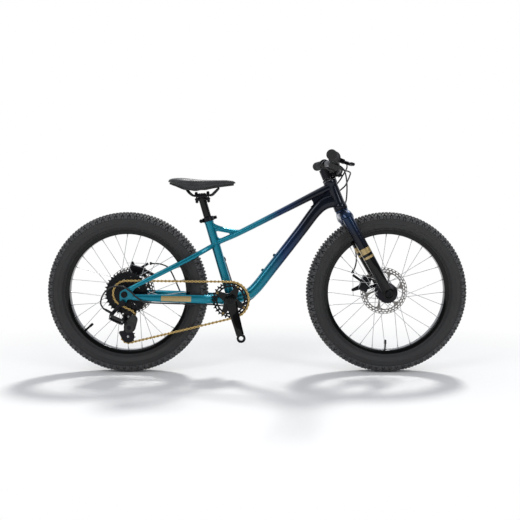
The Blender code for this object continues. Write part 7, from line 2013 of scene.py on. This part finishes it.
def floor_finish(tone):
    """Matt white card: takes the soft shadow near the bike, and fades to plain white away.

    The fade grows with the length of the place's X and Y after each is scaled. It only
    holds for rays that see the floor from the camera, in a gloss or through glass.
    """
    made, tree, shader = blank("floor card")
    where = place_of(tree)
    flat = node(tree, "ShaderNodeVectorMath", {0: where, 1: (0.62, 0.95, 0.0)},
                operation="MULTIPLY").outputs[0]
    away = node(tree, "ShaderNodeVectorMath", {0: flat}, operation="LENGTH").outputs["Value"]
    far = ranged(tree, away, 0.52, 1.05)
    shade = between(tree, grain(tree, where, 900.0, 3.0), tone * 0.985, tone)
    shader.inputs["Roughness"].default_value = 0.95
    tree.links.new(shade, shader.inputs["Base Color"])
    white = node(tree, "ShaderNodeEmission", {"Color": (1, 1, 1, 1), "Strength": 1.0})
    rays = tree.nodes.new("ShaderNodeLightPath").outputs
    seen = calculated(tree, "MAXIMUM", rays["Is Camera Ray"], rays["Is Glossy Ray"])
    seen = calculated(tree, "MAXIMUM", seen, rays["Is Transmission Ray"])
    share = calculated(tree, "MULTIPLY", far, seen)
    mix = node(tree, "ShaderNodeMixShader", {0: share, 1: shader.outputs[0], 2: white.outputs[0]})
    tree.links.new(mix.outputs[0], tree.nodes["Material Output"].inputs["Surface"])
    return made


def build_stage():
    """Floor, world, lamps and the camera at the photograph's angle."""
    scene = bpy.context.scene
    looks = scene.bike_stage
    scene.view_settings.view_transform = "Standard"
    steps = np.linspace(-6.0, 6.0, 25)
    across, along = np.meshgrid(steps, steps)
    vertices, faces = sheet(np.stack([across, along, np.full_like(across, -0.0005)], axis=-1))
    mesh = bpy.data.meshes.new("floor")
    mesh.from_pydata(vertices, [], np.vstack(faces).tolist())
    mesh.materials.append(floor_finish(looks.floor_tone))
    floor = bpy.data.objects.new("floor", mesh)
    scene.collection.objects.link(floor)
    build_world(looks.world_strength)
    sun = bpy.data.lights.new("lamp_behind", "SUN")
    sun.energy = looks.sun_strength
    sun.angle = math.radians(9.0)
    sun.color = (1.0, 0.99, 0.965)
    stood(sun, (0.0, 0.0, 0.0), (-0.21, -0.70, -1.0))
    soft_lamp("lamp_left", (-1.7, -2.4, 2.0), size=1.3, strength=looks.lamp_power)
    soft_lamp("lamp_right", (1.9, -2.3, 1.7), size=1.0, strength=looks.lamp_power * 0.8)
    camera = bpy.data.cameras.new("camera")
    camera.sensor_width = 36.0
    camera.lens = looks.lens
    camera.clip_start = 0.05
    camera.clip_end = 50.0
    scene.camera = stood(camera, CAMERA_PLACE, CAMERA_AIM)


# Add-on.

class BikeLooks(bpy.types.PropertyGroup):
    """Sizes and colours of the bike's visible pieces."""

    teal: bpy.props.FloatVectorProperty(
        name="Teal", description="Paint at the rear of the frame", subtype="COLOR", size=4,
        min=0.0, max=1.0, default=linear("#047b91"))
    navy: bpy.props.FloatVectorProperty(
        name="Navy", description="Paint at the front of the frame", subtype="COLOR", size=4,
        min=0.0, max=1.0, default=linear("#070f1f"))
    fade_start: bpy.props.FloatProperty(
        name="Fade Start", description="Where the teal begins to darken, along the bike",
        default=0.0, unit="LENGTH")
    fade_end: bpy.props.FloatProperty(
        name="Fade End", description="Where the paint is fully navy, along the bike",
        default=0.215, unit="LENGTH")
    tread_steps: bpy.props.IntProperty(
        name="Tread Steps", description="Repeats of the tread's pattern round each tyre",
        default=72, min=24, max=120)
    knob_height: bpy.props.FloatProperty(
        name="Knob Height", description="Height of the tread's knobs", default=0.0046,
        min=0.001, max=0.005, unit="LENGTH")
    spoke_diameter: bpy.props.FloatProperty(
        name="Spoke Diameter", description="Thickness of a spoke", default=0.0020,
        min=0.0012, max=0.003, unit="LENGTH")


class BikeStage(bpy.types.PropertyGroup):
    """Lamps, floor and camera."""

    floor_tone: bpy.props.FloatProperty(
        name="Floor Tone", description="Brightness of the floor", default=0.96, min=0.0,
        max=1.0, subtype="FACTOR")
    world_strength: bpy.props.FloatProperty(
        name="World Strength", description="Light from all round", default=0.43, min=0.0,
        max=2.0)
    sun_strength: bpy.props.FloatProperty(
        name="Rear Lamp Strength", description="Light from behind and above", default=1.75,
        min=0.0, max=10.0)
    lamp_power: bpy.props.FloatProperty(
        name="Lamp Power", description="Light of each soft lamp in front", default=22.0, min=0.0,
        max=500.0, unit="POWER")
    lens: bpy.props.FloatProperty(
        name="Lens", description="Focal length in millimetres", default=50.4, min=20.0,
        max=200.0)


class BIKE_OT_front_wheel(bpy.types.Operator):
    """Builds the front tyre, rim, spokes, hub and rotor."""

    bl_idname = "bike.front_wheel"
    bl_label = "Front Wheel"

    def execute(self, context):
        build_front_wheel()
        return {"FINISHED"}


class BIKE_OT_rear_wheel(bpy.types.Operator):
    """Builds the rear tyre, rim, spokes, hub and rotor."""

    bl_idname = "bike.rear_wheel"
    bl_label = "Rear Wheel"

    def execute(self, context):
        build_rear_wheel()
        return {"FINISHED"}


class BIKE_OT_frame(bpy.types.Operator):
    """Builds the painted frame, its weld beads and small fittings."""

    bl_idname = "bike.frame"
    bl_label = "Frame"

    def execute(self, context):
        build_frame()
        return {"FINISHED"}


class BIKE_OT_fork(bpy.types.Operator):
    """Builds the fork and the front axle."""

    bl_idname = "bike.fork"
    bl_label = "Fork"

    def execute(self, context):
        build_fork()
        return {"FINISHED"}


class BIKE_OT_cockpit(bpy.types.Operator):
    """Builds the bar, grips, stem, levers and shifter."""

    bl_idname = "bike.cockpit"
    bl_label = "Cockpit"

    def execute(self, context):
        build_cockpit()
        return {"FINISHED"}


class BIKE_OT_drivetrain(bpy.types.Operator):
    """Builds the chain, cassette, chainring and cranks."""

    bl_idname = "bike.drivetrain"
    bl_label = "Drivetrain"

    def execute(self, context):
        build_drivetrain()
        return {"FINISHED"}


class BIKE_OT_derailleur(bpy.types.Operator):
    """Builds the rear derailleur and its pulleys."""

    bl_idname = "bike.derailleur"
    bl_label = "Derailleur"

    def execute(self, context):
        build_derailleur()
        return {"FINISHED"}


class BIKE_OT_seat(bpy.types.Operator):
    """Builds the saddle, post, clamp and collar."""

    bl_idname = "bike.seat"
    bl_label = "Seat"

    def execute(self, context):
        build_seat()
        return {"FINISHED"}


class BIKE_OT_brakes(bpy.types.Operator):
    """Builds the two disc brakes."""

    bl_idname = "bike.brakes"
    bl_label = "Brakes"

    def execute(self, context):
        build_brakes()
        return {"FINISHED"}


class BIKE_OT_housings(bpy.types.Operator):
    """Builds the three cable housings."""

    bl_idname = "bike.housings"
    bl_label = "Cable Housings"

    def execute(self, context):
        build_housings()
        return {"FINISHED"}


class BIKE_OT_stage(bpy.types.Operator):
    """Builds the floor, lamps and camera."""

    bl_idname = "bike.stage"
    bl_label = "Stage"

    def execute(self, context):
        build_stage()
        return {"FINISHED"}


OPERATORS = (BIKE_OT_stage, BIKE_OT_front_wheel, BIKE_OT_rear_wheel, BIKE_OT_frame,
             BIKE_OT_fork, BIKE_OT_cockpit, BIKE_OT_drivetrain, BIKE_OT_derailleur,
             BIKE_OT_seat, BIKE_OT_brakes, BIKE_OT_housings)


class BIKE_PT_looks(bpy.types.Panel):
    """The bike's settings and a button for each group of pieces."""

    bl_label = "Kids Mountain Bike"
    bl_idname = "BIKE_PT_looks"
    bl_space_type = "VIEW_3D"
    bl_region_type = "UI"
    bl_category = "Bike"

    def draw(self, context):
        for group, kind in ((context.scene.bike_looks, BikeLooks),
                            (context.scene.bike_stage, BikeStage)):
            for name in kind.__annotations__:
                self.layout.prop(group, name)
        for operator in OPERATORS:
            self.layout.operator(operator.bl_idname)


CLASSES = (BikeLooks, BikeStage, *OPERATORS, BIKE_PT_looks)


def register():
    """Adds the classes and hangs the settings on the scene."""
    for kind in CLASSES:
        bpy.utils.register_class(kind)
    bpy.types.Scene.bike_looks = bpy.props.PointerProperty(type=BikeLooks)
    bpy.types.Scene.bike_stage = bpy.props.PointerProperty(type=BikeStage)


def unregister():
    """Takes the settings and the classes away again."""
    del bpy.types.Scene.bike_stage
    del bpy.types.Scene.bike_looks
    for kind in reversed(CLASSES):
        bpy.utils.unregister_class(kind)


def main():
    """Registers the add-on and builds every piece in turn."""
    register()
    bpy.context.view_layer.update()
    for operator in OPERATORS:
        group, name = operator.bl_idname.split(".")
        getattr(getattr(bpy.ops, group), name)()


if __name__ == "__main__":
    main()
